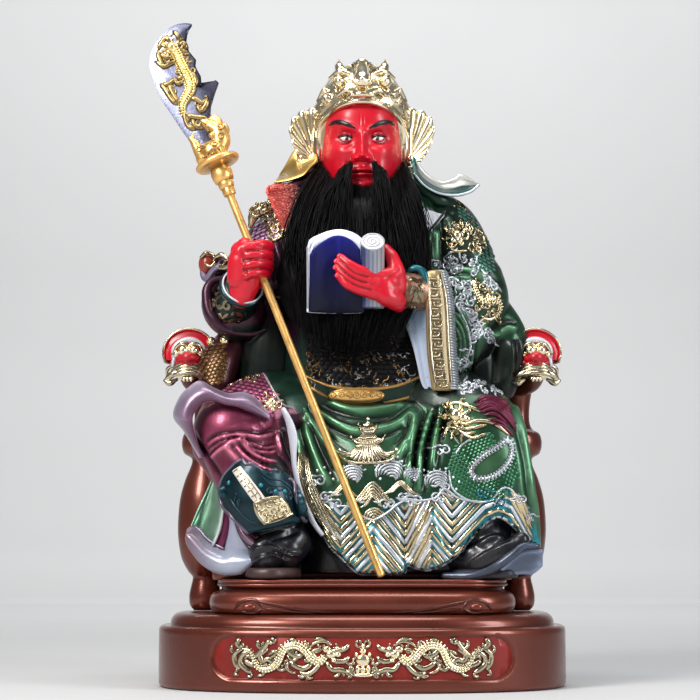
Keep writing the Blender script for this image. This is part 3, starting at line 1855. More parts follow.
@dataclass
class Chair:
    """The lacquered chair: stand, seat, posts, curved wall and dragon-headed arms."""

    box: Box
    plinth: Plinth
    stand_side_inset: float = 24.0
    stand_front_inset: float = 3.0
    stand_height: float = 23.5
    seat_front: float = -18.0
    seat_height: float = 84.0
    post_y: float = 20.0
    post_inset: float = 30.5
    foot_radius: float = 11.5
    bulb_radius: float = 20.0
    arm_height: float = 186.0
    back_rise: float = 46.0
    back_y: float = 71.0
    wall: float = 9.0
    rail: float = 7.5
    head_size: float = 42.0
    head_splay: float = 11.0

    def __post_init__(self) -> None:
        """Works out the places that follow from the plinth."""
        half = self.plinth.box.half
        self.floor = self.plinth.box.high[2] + 0.4
        self.stand_x = half[0] - self.plinth.step_inset - self.stand_side_inset
        self.stand_y = half[1] - self.plinth.step_inset - self.stand_front_inset
        self.post_x = half[0] - self.post_inset

    @property
    def stand_top(self) -> float:
        """Height of the stand's top."""
        return self.plinth.box.high[2] + self.stand_height

    def stand(self) -> Form:
        """Makes the stand: a bulging apron under a moulded slab.

        Returns:
            A closed form.
        """
        tall = self.stand_top - self.floor
        profile = [
            (6, 0), (3, 0.01), (1.6, 0.06), (0.6, 0.16), (0.1, 0.28), (0.3, 0.4), (1.4, 0.52),
            (3.6, 0.61), (6.4, 0.66), (8.2, 0.69), (8.8, 0.73), (8.2, 0.765), (6.4, 0.775), (5.4, 0.8),
            (5.2, 0.84), (5.6, 0.875), (6.6, 0.885), (6.6, 0.9), (5.9, 0.91), (5.7, 0.96), (6.2, 0.99),
            (7.2, 1), (40, 1),
        ]
        angle = even_angles(260)
        rows = []
        for inset, share in profile:
            ring = oval(angle, self.stand_x - inset, self.stand_y - inset, 4.5)
            rows.append(level(ring, self.floor + tall * share))
        return grid(np.array(rows), around=True, caps=True)

    def apron_scrolls(self, surface: Surface) -> list[Form]:
        """Makes the apron's carved edge: an almond boss near each end and a long cusped line.

        Args:
            surface: The skin that it lies on.

        Returns:
            Closed forms.
        """
        z = self.floor
        forms = []
        for way in (-1, 1):
            x = way * 76
            lines = [
                [
                    (x - way * 9, z + 4), (x - way * 3, z + 9.5), (x + way * 6, z + 8),
                    (x + way * 11, z + 3),
                ],
                [(x - way * 8, z + 3), (x - way * 2, z + 0.8), (x + way * 6, z + 1.4)],
                [
                    (x - way * 4, z + 9), (x - way * 20, z + 5.5), (x - way * 38, z + 2.5),
                    (x - way * 58, z + 1),
                ],
                [(x - way * 10, z + 3.5), (x - way * 26, z + 2), (x - way * 44, z + 0.6)],
            ]
            forms += relief(surface, lines, 1.1, 0.8)
            forms += knob_on(surface, x + way * 0.5, z + 4.6, (4.6, 2.4, 2.7), sides=18)
        return forms

    def post(self) -> Form:
        """Makes one turned post.

        Returns:
            A closed form.
        """
        foot, bulb = self.foot_radius, self.bulb_radius
        shares = [
            (foot * 0.7, 0), (foot * 0.95, 0.02), (foot, 0.055), (foot * 0.9, 0.09), (bulb * 0.46, 0.115),
            (bulb * 0.46, 0.13), (bulb * 0.62, 0.15), (bulb * 0.86, 0.2), (bulb * 0.98, 0.27),
            (bulb, 0.34), (bulb * 0.93, 0.43), (bulb * 0.76, 0.5), (bulb * 0.57, 0.55),
            (bulb * 0.5, 0.575), (bulb * 0.55, 0.59), (bulb * 0.78, 0.605), (bulb * 0.87, 0.63),
            (bulb * 0.87, 0.66), (bulb * 0.78, 0.685), (bulb * 0.55, 0.7), (bulb * 0.44, 0.73),
            (bulb * 0.44, 0.78), (bulb * 0.52, 0.84), (bulb * 0.7, 0.9), (bulb * 0.8, 0.94),
        ]
        heights = smooth_curve([(r, s * self.arm_height) for r, s in shares], 130)
        return lathe(heights, 56, (self.post_x, self.post_y, self.floor))

    def wall_form(self) -> Form:
        """Makes the curved wall under the arms and round the back, with its rounded rail.

        Returns:
            A closed form.
        """
        half = [
            (self.post_x, self.post_y - self.rail, 0),
            (self.post_x, (self.post_y + self.back_y) / 2, 0.1), (self.post_x * 0.82, self.back_y, 0.4),
            (self.post_x * 0.4, self.back_y + 3, 0.9),
        ]
        plan = half + [(0, self.back_y + 4, 1)] + [(-x, y, rise) for x, y, rise in half[::-1]]
        line = smooth_curve(plan, 150)
        ahead = unit(np.gradient(line[:, :2], axis=0))
        side = np.stack([ahead[:, 1], -ahead[:, 0]], axis=-1)
        top = self.plinth.box.high[2] + self.arm_height + line[:, 2] * self.back_rise
        wall, rail, low = self.wall / 2, self.rail, self.stand_top
        arc = ellipse_path(0, 0, rail, rail * 0.9, np.radians(np.linspace(-50, 230, 22)))
        panel = [(wall, 0.0), (wall, 0.06), (wall - 1.2, 0.08), (wall - 1.2, 0.9), (wall, 0.92)]
        rows = []
        for spot, way, high in zip(line, side, top):
            tall = high - rail - low
            outer = [(wide, low + tall * share) for wide, share in panel]
            inner = [(-wall, low + tall * share) for share in (0.92, 0.06, 0.0)]
            section = outer + [(wide, high + over) for wide, over in arc] + inner
            rows.append([(spot[0] + way[0] * wide, spot[1] + way[1] * wide, z) for wide, z in section])
        return grid(np.array(rows), around=True, caps=True)

    def seat(self) -> Form:
        """Makes the seat block with eased edges and a recessed panel line in front.

        Returns:
            A closed form.
        """
        reach = self.post_x - self.bulb_radius * 0.3
        low, high = self.stand_top - 1, self.stand_top + self.seat_height
        middle = (self.seat_front + self.back_y) / 2
        deep = (self.back_y - self.seat_front) / 2
        profile = [
            (0.5, 0), (0, 0.02), (0, 0.1), (1.4, 0.12), (1.4, 0.84), (0, 0.86), (0, 0.97), (1.2, 1),
            (20, 1),
        ]
        angle = even_angles(160)
        rows = []
        for inset, share in profile:
            ring = oval(angle, reach - inset, deep - inset, 9) + (0, middle)
            rows.append(level(ring, low + (high - low) * share))
        return grid(np.array(rows), around=True, caps=True)

    def head(self) -> list[tuple[list[Form], Paint]]:
        """Makes the dragon head of the arm at the viewer's right, by finish.

        Returns:
            Forms, each list with its finish.
        """
        s = self.head_size
        origin = np.array([
            self.post_x + self.head_splay,
            self.post_y - self.rail * 2.6,
            self.plinth.box.high[2] + self.arm_height - s * 0.1,
        ])

        def bar(path: Sequence[Vec], radii: Sequence[float], sides: int = 12, rows: int = 26) -> Form:
            """Makes a tapering bar along a path given in head sizes.

            Args:
                path: Places from the head's middle, in head sizes.
                radii: Radii along it, in head sizes.
                sides: Sides of each ring.
                rows: Rings along it.

            Returns:
                A closed form.
            """
            return limb(
                [origin + np.array(spot) * s for spot in path], [r * s for r in radii], sides, rows,
            )

        def lump(spot: Vec, size: Vec) -> Form:
            """Makes a rounded lump at a place given in head sizes."""
            return ball(origin + np.array(spot) * s, tuple(r * s for r in size), sides=22, rows=14)

        def bonnet(wide: Vec, tall: Vec, deep: Vec, low: float) -> Form:
            """Makes an arched band that runs from front to back, by its half widths, heights and depths.

            Args:
                wide: Half widths from front to back, in head sizes.
                tall: Heights from front to back, in head sizes.
                deep: Depths from front to back, in head sizes.
                low: Angle in degrees at which the arch starts.

            Returns:
                A closed form.
            """

            def surface(u: np.ndarray, v: np.ndarray) -> np.ndarray:
                """Finds the band's middle.

                Args:
                    u: Share across, from 0 to 1.
                    v: Share down its length, from 0 to 1.

                Returns:
                    xyz for each place.
                """
                share = np.linspace(0, 1, len(wide))
                a = np.radians(low + (180 - 2 * low) * u)
                x = np.interp(v, share, wide) * np.cos(a)
                z = 0.06 + np.interp(v, share, tall) * np.sin(a) - 0.04 * v
                wave = 0.012 * np.cos(a * 9) * v
                return origin + s * np.stack(
                    [x * (1 + wave), np.interp(v, share, deep) + 0 * u, z], axis=-1,
                )

            return slab(surface, 0.035 * s, 60, 16)

        hood = bonnet(
            (0.44, 0.45, 0.42, 0.34, 0.2), (0.41, 0.42, 0.39, 0.32, 0.22), (-0.14, 0.0, 0.25, 0.45, 0.6),
            -20,
        )
        band = bonnet((0.44, 0.41, 0.34, 0.28), (0.41, 0.38, 0.3, 0.24), (-0.15, -0.1, -0.12, -0.2), -16)
        arch = ellipse_path(0, 0, 1, 1, np.radians(np.linspace(-22, 202, 17)))
        rim = bar([(0.44 * u, -0.15, 0.06 + 0.41 * w) for u, w in arch], [0.02], 10, 60)
        lip = bar(
            [(0.265 * u, -0.22, 0.03 + 0.24 * w) for u, w in arch], [0.03, 0.05, 0.056, 0.05, 0.03], 14,
            50,
        )
        red = [
            hood, band, lump((0, 0.02, 0.02), (0.36, 0.3, 0.36)), lump((0, -0.2, 0.0), (0.27, 0.1, 0.22)),
        ]
        red += [
            bar([(-0.14, -0.3, -0.07), (0, -0.36, -0.04), (0.14, -0.3, -0.07)], [0.07, 0.1, 0.07], 16, 16),
            bar([(-0.2, -0.26, -0.12), (0, -0.32, -0.13), (0.2, -0.26, -0.12)], [0.05, 0.07, 0.05], 16, 16),
        ]
        white = [lip]
        white += [
            bar([(w * 0.24, -0.26, -0.05), (w * 0.27, -0.28, -0.18)], [0.04, 0.025], 10, 6)
            for w in (-1, 1)
        ]
        gold = [
            rim, lump((0, -0.29, 0.07), (0.16, 0.08, 0.1)), lump((0, -0.06, -0.26), (0.27, 0.22, 0.17)),
        ]
        for way in (-1, 1):
            gold += [
                lump((way * 0.095, -0.34, 0.075), (0.085, 0.08, 0.085)),
                lump((way * 0.2, -0.27, 0.02), (0.06, 0.06, 0.06)),
                bar([
                    (0, -0.33, 0.15), (way * 0.1, -0.34, 0.2), (way * 0.2, -0.29, 0.15),
                    (way * 0.25, -0.25, 0.05),
                ], [0.025, 0.035, 0.02]),
                bar([
                    (way * 0.04, -0.3, -0.3), (way * 0.2, -0.32, -0.3), (way * 0.32, -0.27, -0.36),
                    (way * 0.39, -0.22, -0.43),
                ], [0.035, 0.055, 0.06, 0.035]),
                bar([(way * 0.39, -0.22, -0.43), (way * 0.32, -0.24, -0.47), (way * 0.2, -0.24, -0.41)], [
                    0.04, 0.055, 0.03,
                ]),
                bar([(way * 0.26, -0.2, -0.16), (way * 0.36, -0.14, -0.22), (way * 0.38, -0.1, -0.32)], [
                    0.03, 0.035, 0.02,
                ]),
            ]
        for k in range(4):
            z, wide, out = -0.15 - 0.058 * k, 0.25 + 0.022 * k, 0.31 + 0.02 * k
            path = [(-wide, 0.08 - out, z - 0.05), (-wide * 0.55, -out, z), (0, -0.03 - out, z + 0.02)]
            path += [(wide * 0.55, -out, z), (wide, 0.08 - out, z - 0.05)]
            gold.append(bar(path, [0.028, 0.036, 0.028], 10, 30))
        gold += [lump((way * 0.06, -0.31, -0.4), (0.05, 0.05, 0.05)) for way in (-1, 0, 1)]
        neck = bar([(-0.02, -0.02, -0.3), (-0.08, 0.1, -0.42), (-0.26, 0.3, -0.5)], [
            0.2, 0.19, 0.17,
        ], 24, 16)
        arm = bar([(-0.02, 0.1, -0.08), (-0.12, 0.3, -0.06), (-0.26, 0.55, -0.02)], [
            0.26, 0.23, 0.18,
        ], 28, 18)
        return [
            (red, Paint.SKIN), (gold, Paint.PALE_GOLD), (white, Paint.WHITE),
            ([neck, arm], Paint.LACQUER),
        ]

    def build(self) -> bpy.types.Object:
        """Builds the chair.

        Returns:
            The object.
        """
        stand = self.stand()
        post = self.post()
        piece = Piece("dragon_chair", "chair", ["chair"])
        piece.add([
            stand, *self.apron_scrolls(Surface(stand)), self.seat(), self.wall_form(),
        ], Paint.LACQUER)
        piece.add([post, post.mirrored()], Paint.LACQUER)
        for forms, paint in self.head():
            piece.add([*forms, *[form.mirrored() for form in forms]], paint)
        return piece.build(stay, 50)


# Fitting the drawn figure


@dataclass
class Fit:
    """Places the drawn figure in the frame's figure.

    Attributes:
        box: The frame's box of the figure.
        drawn: The drawn figure's height.
    """

    box: Box
    drawn: float = DRAWN_HEIGHT

    def __call__(self, points: np.ndarray) -> np.ndarray:
        """Returns drawn points in the frame's millimetres."""
        scale = (self.box.high[2] - self.box.low[2]) / self.drawn
        return points * scale + (0, 0, self.box.low[2])


@dataclass(frozen=True)
class Patch:
    """An area of a skin, seen from the front, that has its own paint."""

    outline: Path
    colour: Tone


def painted(
    form: Form, lifted: np.ndarray, low: Tone, base: Tone, high: Tone, patches: Iterable[Patch] = (),
) -> Form:
    """Paints a carved skin: dark in its valleys, bright on its ridges, with patches in front.

    Args:
        form: The carved form.
        lifted: How far each vertex was lifted.
        low: Paint of the valleys.
        base: Paint of the level parts.
        high: Paint of the ridges.
        patches: Areas with a paint of their own, the last on top.

    Returns:
        The painted form.
    """
    up = np.clip(lifted / FULL_RIDGE, 0, 1)[:, None]
    down = np.clip(-lifted / FULL_VALLEY, 0, 1)[:, None]
    low_tone, base_tone, high_tone = (np.asarray(tone) for tone in (low, base, high))
    tone = base_tone + (high_tone - base_tone) * up + (low_tone - base_tone) * down
    flat = form.points[:, [0, 2]]
    front = np.clip((0.55 - form.normals()[:, 1]) / 0.3, 0, 1)
    for patch in patches:
        area = inside(flat, patch.outline) & (front > 0)
        shade = 1 + 0.9 * up[area] - 0.6 * down[area]
        cover = front[area][:, None]
        tone[area] = tone[area] * (1 - cover) + np.asarray(patch.colour) * shade * cover
    return form.recoloured(np.clip(tone, 0, 1))


def clipped(path: Path, outline: Path, pitch: float = 1.5) -> list[Path]:
    """Cuts a path to the stretches that lie inside an outline.

    Args:
        path: The path.
        outline: The outline.
        pitch: Distance between the points that are tried.

    Returns:
        Courses, as x and z pairs.
    """
    nodes = np.asarray(path, float)
    steps = []
    for start, end in zip(nodes, nodes[1:]):
        count = max(2, int(np.linalg.norm(end - start) / pitch))
        steps.append(start + np.linspace(0, 1, count)[:, None] * (end - start))
    line = np.concatenate(steps)
    stretches: list[Path] = [[]]
    for spot, kept in zip(line, inside(line, outline)):
        if kept:
            stretches[-1].append(tuple(spot))
        elif stretches[-1]:
            stretches.append([])
    return [stretch for stretch in stretches if len(stretch) > 3]


# Robe


DEEP_GREEN: Tone = (0.003, 0.011, 0.005)
GREEN: Tone = (0.011, 0.048, 0.021)
LIGHT_GREEN: Tone = (0.06, 0.155, 0.08)
TEAL: Tone = (0.008, 0.11, 0.135)
NIGHT: Tone = (0.012, 0.014, 0.016)


@dataclass
class Robe:
    """The green robe over the lap, from the belt down to the striped hem."""

    fit: Fit
    voxel: float = 1.45
    hem: Path = (
        (-31, 40), (-23, 23), (-13, 13), (-3, 4), (12, 0), (28, 3), (30, 9), (38, 7), (45, 6), (54, 9),
        (65, 16), (72, 25), (79, 33), (87, 40), (94, 42), (101, 38), (108, 32), (115, 26), (125, 21),
    )
    band_top: Path = (
        (-26, 55), (-17, 50), (-9, 49), (-3, 44), (7, 40), (17, 45), (23, 50), (31, 54), (39, 53),
        (50, 55), (56, 61), (65, 55), (74, 53), (87, 53), (95, 61), (101, 61), (108, 54), (115, 48),
    )

    def masses(self) -> list[Form]:
        """Makes the overlapping forms of the lap and the skirts.

        Returns:
            Closed forms.
        """
        skirt = [
            (3, 36, -30, 85, 35), (40, 38, -28, 84, 39), (78, 34, -20, 83, 45), (104, 22, -8, 80, 46),
            (122, 8, 0, 68, 42),
        ]
        front = [(3, 14, -48, 36, 20), (34, 8, -43, 46, 23), (70, 4, -34, 52, 29), (98, 2, -20, 55, 31)]
        return [
            stack(skirt, 90, 60, 2.6),
            stack(front, 60, 50, 2.3),
            limb([(28, 12, 116), (58, -12, 117), (84, -32, 103)], [36, 35, 31], 30, 20),
            limb([(84, -34, 100), (92, -40, 70), (96, -38, 30)], [30, 27, 24], 30, 20),
            limb([(-20, 12, 112), (-46, -12, 112)], [34, 28], 30, 20),
        ]

    def strokes(self) -> list[Stroke]:
        """Makes the robe's folds.

        Returns:
            The ridges and grooves.
        """
        drapes = [
            Stroke([
                (-45, 129), (-31, 115), (-13, 104), (-2, 101), (15, 103), (26, 108), (36, 118),
            ], 2.6, 3.2),
            Stroke([(-46, 124), (-35, 104), (-22, 89), (-9, 80)], 2.4, 3.6),
            Stroke([(-41, 107), (-35, 91), (-28, 75), (-21, 64)], 3.0, 3.4),
            Stroke([(37, 115), (34, 101), (28, 88), (18, 81)], 2.4, 3.4),
            Stroke([(-52, 118), (-46, 103), (-41, 87), (-38, 71)], 2.6, 3.0),
            Stroke([(-34, 130), (-23, 123), (-9, 118), (7, 117), (24, 120), (35, 125)], 2.2, 2.6),
            Stroke([(-43, 125), (-29, 110), (-12, 99), (0, 97), (16, 99), (29, 105)], -2.0, 1.8, 0.2),
            Stroke([(-48, 116), (-43, 100), (-39, 85), (-36, 69)], -2.0, 1.7, 0.2),
            Stroke([(-37, 107), (-30, 89), (-22, 73)], -1.8, 1.7, 0.2),
            Stroke([(-43, 118), (-32, 98), (-20, 83)], -1.6, 1.5, 0.2),
            Stroke([(33, 114), (30, 101), (23, 90)], -1.8, 1.7, 0.2),
            Stroke([(-31, 123), (-18, 116), (-6, 112), (7, 111), (21, 113)], -1.5, 1.5, 0.2),
            Stroke([(-28, 115), (-16, 107), (-3, 104), (11, 105), (23, 109)], 1.4, 1.3, 0.6),
        ]
        pleats = [
            Stroke([(49, 117), (44, 104), (40, 91), (39, 75), (38, 58)], 3.2, 2.6, 0.8),
            Stroke([(37, 106), (34, 91), (32, 76), (31, 60)], 2.8, 2.6, 0.8),
            Stroke([(55, 120), (51, 102), (49, 87), (47, 75)], 2.2, 2.4, 0.6),
            Stroke([(29, 95), (26, 82), (26, 68)], 1.8, 2.4, 0.6),
            Stroke([(45, 116), (40, 102), (36, 88), (35, 68)], -2.6, 1.7, 0.2),
            Stroke([(52, 117), (47, 102), (44, 87), (42, 69)], -2.2, 1.6, 0.2),
            Stroke([(58, 120), (56, 106), (54, 95)], -1.8, 1.6, 0.2),
        ]
        edge = [
            Stroke([
                (107, 121), (110, 103), (113, 84), (116, 61), (119, 44), (120, 23), (121, 5),
            ], 4.2, 3.0, 0.8),
            Stroke([(102, 103), (107, 81), (109, 61), (113, 40)], 1.6, 2.4, 0.6),
            Stroke([(-44, 91), (-45, 75), (-40, 51), (-29, 32), (-21, 23)], 3.4, 2.4, 0.7),
            Stroke([(-39, 76), (-33, 55), (-25, 38), (-17, 25)], 2.0, 2.2, 0.6),
        ]
        lower = [
            Stroke([(29, 50), (30, 33), (30, 12)], -4.0, 3.4, 0),
            Stroke([(47, 50), (50, 33), (57, 16)], 2.4, 3.6, 0.4),
            Stroke([(7, 39), (8, 21), (9, 5)], 2.6, 5.0, 0.3),
            Stroke([(61, 53), (61, 33), (60, 18)], -2.2, 4.0, 0),
            Stroke([(95, 61), (95, 49), (94, 43)], 2.2, 4.0, 0.2),
            Stroke([(-12, 46), (-9, 30), (-5, 12)], -1.8, 3.2, 0),
        ]
        return drapes + pleats + edge + lower

    def band(self) -> Path:
        """Returns the outline of the striped band along the hem."""
        return list(self.band_top) + list(self.hem)[::-1]

    def skin(self) -> Form:
        """Makes the robe's carved and painted skin.

        Returns:
            A closed form.
        """
        form = fuse(self.masses(), self.voxel, 3)
        form, lifted = sculpt(form, self.strokes())
        form = ripple(form, 14, 0.25)
        flat = form.points[:, [0, 2]]
        below = list(self.hem) + [(135, 40), (135, -20), (-70, -20), (-70, 40)]
        tucked = inside(flat, below) & (form.normals()[:, 1] < 0.3) & (form.points[:, 1] < -8)
        form.points[tucked, 1] += 13
        side = [
            (-43, 91), (-46, 75), (-40, 51), (-29, 31), (-22, 22), (-12, 26), (-25, 46), (-33, 62),
            (-37, 77), (-39, 88),
        ]
        patches = [
            Patch(self.band(), TEAL), Patch(side, (0.05, 0.085, 0.04)), Patch(below, NIGHT),
            Patch([
                (29, 147), (113, 147), (113, 125), (105, 121), (93, 125), (81, 127), (70, 125), (60, 121),
                (51, 116), (43, 121), (34, 120),
            ], (0.003, 0.009, 0.006)),
            Patch([(-51, 141), (29, 144), (35, 121), (19, 121), (-4, 121), (-30, 124), (-46, 130)], (
                0.004, 0.014, 0.009,
            )),
            Patch([
                (94, 91), (83, 84), (76, 77), (74, 72), (79, 68), (90, 70), (99, 78), (103, 88),
                (100, 95),
            ], (0.035, 0.1, 0.045)),
        ]
        return painted(form, lifted, DEEP_GREEN, GREEN, LIGHT_GREEN, patches)

    def zigzags(self) -> list[tuple[Path, int]]:
        """Makes the hem's stripes, each with its place in the row.

        Returns:
            Each stripe's course and its place in the row.
        """
        nodes = [
            (-30, 32), (-15, 16), (7, 40), (29, 13), (47, 48), (61, 31), (83, 54), (93, 58), (102, 54),
            (117, 29),
        ]
        stripes = []
        for k in range(-8, 9):
            shifted = [(x, z - 5.6 * k) for x, z in nodes]
            stripes += [(path, k) for path in clipped(shifted, self.band())]
        return stripes

    def build(self) -> None:
        """Builds the robe."""
        skin = self.skin()
        surface = Surface(skin)
        piece = figure_piece("robe")
        piece.add(skin, Paint.ENAMEL)
        for paths, paint in self.stripes():
            piece.add(relief(surface, paths, 1.35, 0.4, 1.2, taper=False), paint)
        piece.add(relief(surface, [self.hem], 1.3, 0.9), Paint.WHITE)
        piece.add_all(self.ornaments(surface))
        piece.build(self.fit, 70)

    def stripes(self) -> list[tuple[list[Path], Paint]]:
        """Makes the hem's stripes by finish.

        Returns:
            Courses, each list with its finish.
        """
        rows = self.zigzags()
        gold = [path for path, k in rows if k % 3 != 1]
        pale = [path for path, k in rows if k % 3 == 1]
        fan = [[(a[0], a[1]), (b[0], b[1])] for a, b in zip(
            [(103, 60), (106, 58), (109, 56), (112, 52)], [(113, 34), (115, 35), (116, 38), (116, 39)])]
        return [(gold + fan, Paint.GOLD), (pale, Paint.SILVER)]

    def folds(self) -> list[Path]:
        """Makes the fine golden lines down the robe's edge at the viewer's left.

        Returns:
            Courses, as x and z pairs.
        """
        outer = smooth_curve([(-44, 87), (-44, 72), (-39, 54), (-31, 38), (-21, 22)], 24)
        inner = smooth_curve([(-38, 83), (-35, 69), (-29, 55), (-22, 42), (-11, 26)], 24)
        return [list(map(tuple, outer * (1 - s) + inner * s)) for s in np.linspace(0, 1, 7)]

    def ornaments(self, surface: Surface) -> list[tuple[list[Form], Paint]]:
        """Makes the silver clouds and waves, the golden arcs, the pagoda and the dragon.

        Args:
            surface: The skin that it lies on.

        Returns:
            Forms, each list with its finish.
        """
        silver: list[Path] = []
        for x, z, size, hand in self.clouds():
            silver += cloud(x, z, size, 0, hand)
        silver.append(list(self.band_top))
        silver += self.combs()
        gold = self.rainbows() + self.folds()
        flecks = [
            (67, 132), (72, 135), (79, 133), (85, 136), (91, 132), (96, 130), (75, 129), (86, 129),
            (81, 137), (93, 136), (99, 134), (70, 128),
        ]
        for k, (x, z) in enumerate(flecks):
            silver += cloud(x, z, 2.4, 70 * k)
        forms = [
            (relief(surface, silver, 0.85, 1.1, 0.7), Paint.SILVER),
            (relief(surface, gold, 0.85, 1.0, 0.8), Paint.PALE_GOLD),
            (studs(surface, self.drops(), 1.0, 1.1), Paint.SILVER),
            (self.pagoda(surface), Paint.PALE_GOLD),
        ]
        return forms + self.dragon(surface)

    def clouds(self) -> list[tuple[float, float, float, int]]:
        """Finds the silver clouds: x, height, size and hand.

        Returns:
            x, height, size and hand of each.
        """
        spots = [
            (-29, 67), (-26, 56), (-17, 51), (-8, 51), (19, 51), (27, 55), (37, 53), (50, 55), (57, 62),
            (94, 52), (110, 54), (114, 42), (57, 88),
        ]
        sizes = [5.5, 4.5, 4.5, 4, 4.5, 4.5, 5.5, 5.0, 4, 4.5, 3.5, 3.5, 5]
        return [(x, z, size, 1 if k % 2 else -1) for k, ((x, z), size) in enumerate(zip(spots, sizes))]

    def combs(self) -> list[Path]:
        """Makes the curling wave crests, each a nest of arcs.

        Returns:
            Courses, as x and z pairs.
        """
        crests = [(-7, 70), (19, 72), (51, 66), (34, 70)]
        paths = []
        for (x, z), size in zip(crests, (8.5, 10.0, 8.5, 5.5)):
            for k in range(6):
                r = size * (1 - 0.15 * k)
                start = 200 - 12 * k
                arc = map(math.radians, range(start, start - 190, -24))
                paths.append(ellipse_path(x + 0.25 * k, z - 0.8 * k, r, r * 0.85, arc))
            for a in range(30, 170, 24):
                tip = math.radians(a)
                paths.append([
                    (x + size * q * math.cos(tip), z + size * 0.85 * q * math.sin(tip))
                    for q in (1.0, 1.15, 1.3)
                ])
        return paths

    @staticmethod
    def drops() -> Path:
        """Finds the silver drops of spray about the clouds.

        Returns:
            Their places, as x and z pairs.
        """
        return [
            (-31, 74), (-26, 76), (-22, 72), (-20, 68), (9, 74), (15, 79), (24, 83), (28, 65), (27, 80),
            (12, 68), (42, 74), (45, 70), (57, 75), (62, 69), (66, 66), (55, 54), (64, 61),
        ]

    def rainbows(self) -> list[Path]:
        """Makes the nests of golden arcs between the clouds.

        Returns:
            Courses, as x and z pairs.
        """
        paths = []
        for x, z, wide, tall, count in (
            (7, 55, 19, 15, 4), (7, 51, 9, 9, 2), (-13, 58, 13, 9, 3), (26, 60, 14, 9, 3),
        ):
            for k in range(count):
                share = 1 - k * 0.2
                paths.append(
                    [
                        (x + wide * share * w, z + tall * share * (math.exp(-4.2 * w * w) - 0.3))
                        for w in np.linspace(-1, 1, 11)
                    ]
                )
        half_turn = np.linspace(0.1, math.pi - 0.1, 11)
        return paths + [ellipse_path(8, 40.5, r, r, half_turn) for r in (7.2, 5.4, 3.6, 1.8)]

    def pagoda(self, surface: Surface) -> list[Form]:
        """Makes the golden three-tiered pagoda tassel on the middle drape.

        Args:
            surface: The skin that it lies on.

        Returns:
            Closed forms.
        """
        x = 3.8
        forms = []
        tiers = [(84.0, 18.5, 10.5), (95.0, 11.0, 6.5), (102.5, 6.2, 4.5)]
        for z, half, tall in tiers:
            for k in range(-6, 7):
                foot = k / 6 * half
                line = [
                    (x + foot, z - tall * 0.45 + 0.02 * foot * foot), (x + foot * 0.62, z + tall * 0.1),
                    (x + foot * 0.4, z + tall * 0.55),
                ]
                forms += relief(surface, [line], half / 11, 1.3, 0.8, taper=False)
            eave = [(x + half * w, z - tall * 0.5 + 4.5 * w**4) for w in np.linspace(-1.1, 1.1, 15)]
            neck = [(x - half * 0.45, z + tall * 0.6), (x + half * 0.45, z + tall * 0.6)]
            forms += relief(surface, [eave, neck], 1.2, 1.5, 0.8, taper=False)
        beads = [(x, 107), (x, 110), (x, 89.5), (x - 19.5, 88), (x + 19.5, 88)]
        return forms + studs(surface, beads, 1.5, 1.0)

    def dragon(self, surface: Surface) -> list[tuple[list[Form], Paint]]:
        """Makes the coiled dragon over the knee: gold head and claws, scaled coil, beaded spine.

        Args:
            surface: The skin that it lies on.

        Returns:
            Forms, each list with its finish.
        """
        head = dragon_face(surface, 67, 111, 9.5, 70)
        jaw = [
            [(58, 117), (60, 113), (70, 106), (79, 108), (90, 106), (101, 98)],
            [(58, 117), (64, 121), (74, 118), (82, 114)],
            [(61, 108), (68, 103), (76, 103), (85, 105)],
            [(56, 97), (60, 104), (67, 102)],
            [(61, 95), (64, 102), (71, 99), (78, 100)],
            [(68, 93), (69, 99), (76, 96), (85, 99)],
        ]
        gold = head + relief(surface, jaw, 1.5, 1.2, 0.8)
        mane = [
            [(80, 117), (89, 120), (99, 114), (106, 106)], [(81, 114), (91, 116), (99, 110), (106, 101)],
            [(84, 112), (92, 112), (100, 105)], [(80, 120), (86, 123), (95, 121), (102, 116)],
            [(86, 109), (95, 107), (101, 101)], [(77, 121), (85, 125), (95, 123), (103, 116)],
            [(80, 116), (89, 118), (99, 112), (106, 103)], [(88, 106), (96, 104), (104, 97)],
            [(78, 118), (88, 121), (97, 118), (104, 111)],
        ]
        inner = [
            (94, 91), (83, 84), (76, 77), (74, 72), (79, 68), (90, 70), (99, 78), (103, 88), (100, 95),
            (94, 91),
        ]
        area = [
            (88, 101), (75, 98), (64, 91), (59, 79), (59, 65), (65, 56), (78, 53), (92, 54), (102, 60),
            (107, 72), (105, 85), (101, 84), (98, 76), (90, 70), (81, 68), (74, 70), (75, 78), (83, 85),
            (92, 90), (90, 96),
        ]
        body = scale_mail(surface, area, 3.3, 20)
        spine = relief(surface, [inner], 1.1, 0.9, 0.8, taper=False)
        line = np.array(smooth_curve(inner, 37))
        across = unit(np.gradient(line, axis=0)[:, ::-1] * (-1, 1))
        beads = relief(surface, [
            [tuple(p - 2.3 * n), tuple(p + 2.3 * n)]
            for p, n in zip(line[:-1], across)
        ], 0.95, 1.5, taper=False)
        flank = relief(surface, [
            [(63, 84), (68, 91), (76, 96), (85, 99)], [(59, 74), (61, 62), (69, 55), (80, 52), (94, 55)],
        ], 0.9, 1.2)
        waves = []
        for (x, z), hand in zip([(81, 58), (94, 52)], (1, -1)):
            waves += cloud(x, z, 4.5, 0, hand)
        return [
            (gold, Paint.GOLD),
            (all_toned(relief(surface, mane, 1.5, 1.4), (0.3, 0.028, 0.09)), Paint.ENAMEL),
            (all_toned(body, (0.008, 0.045, 0.02)), Paint.ENAMEL),
            (spine + beads + flank, Paint.SILVER),
            (all_toned(relief(surface, waves, 0.9, 1.2), (0.02, 0.3, 0.4)), Paint.ENAMEL),
        ]


# Head


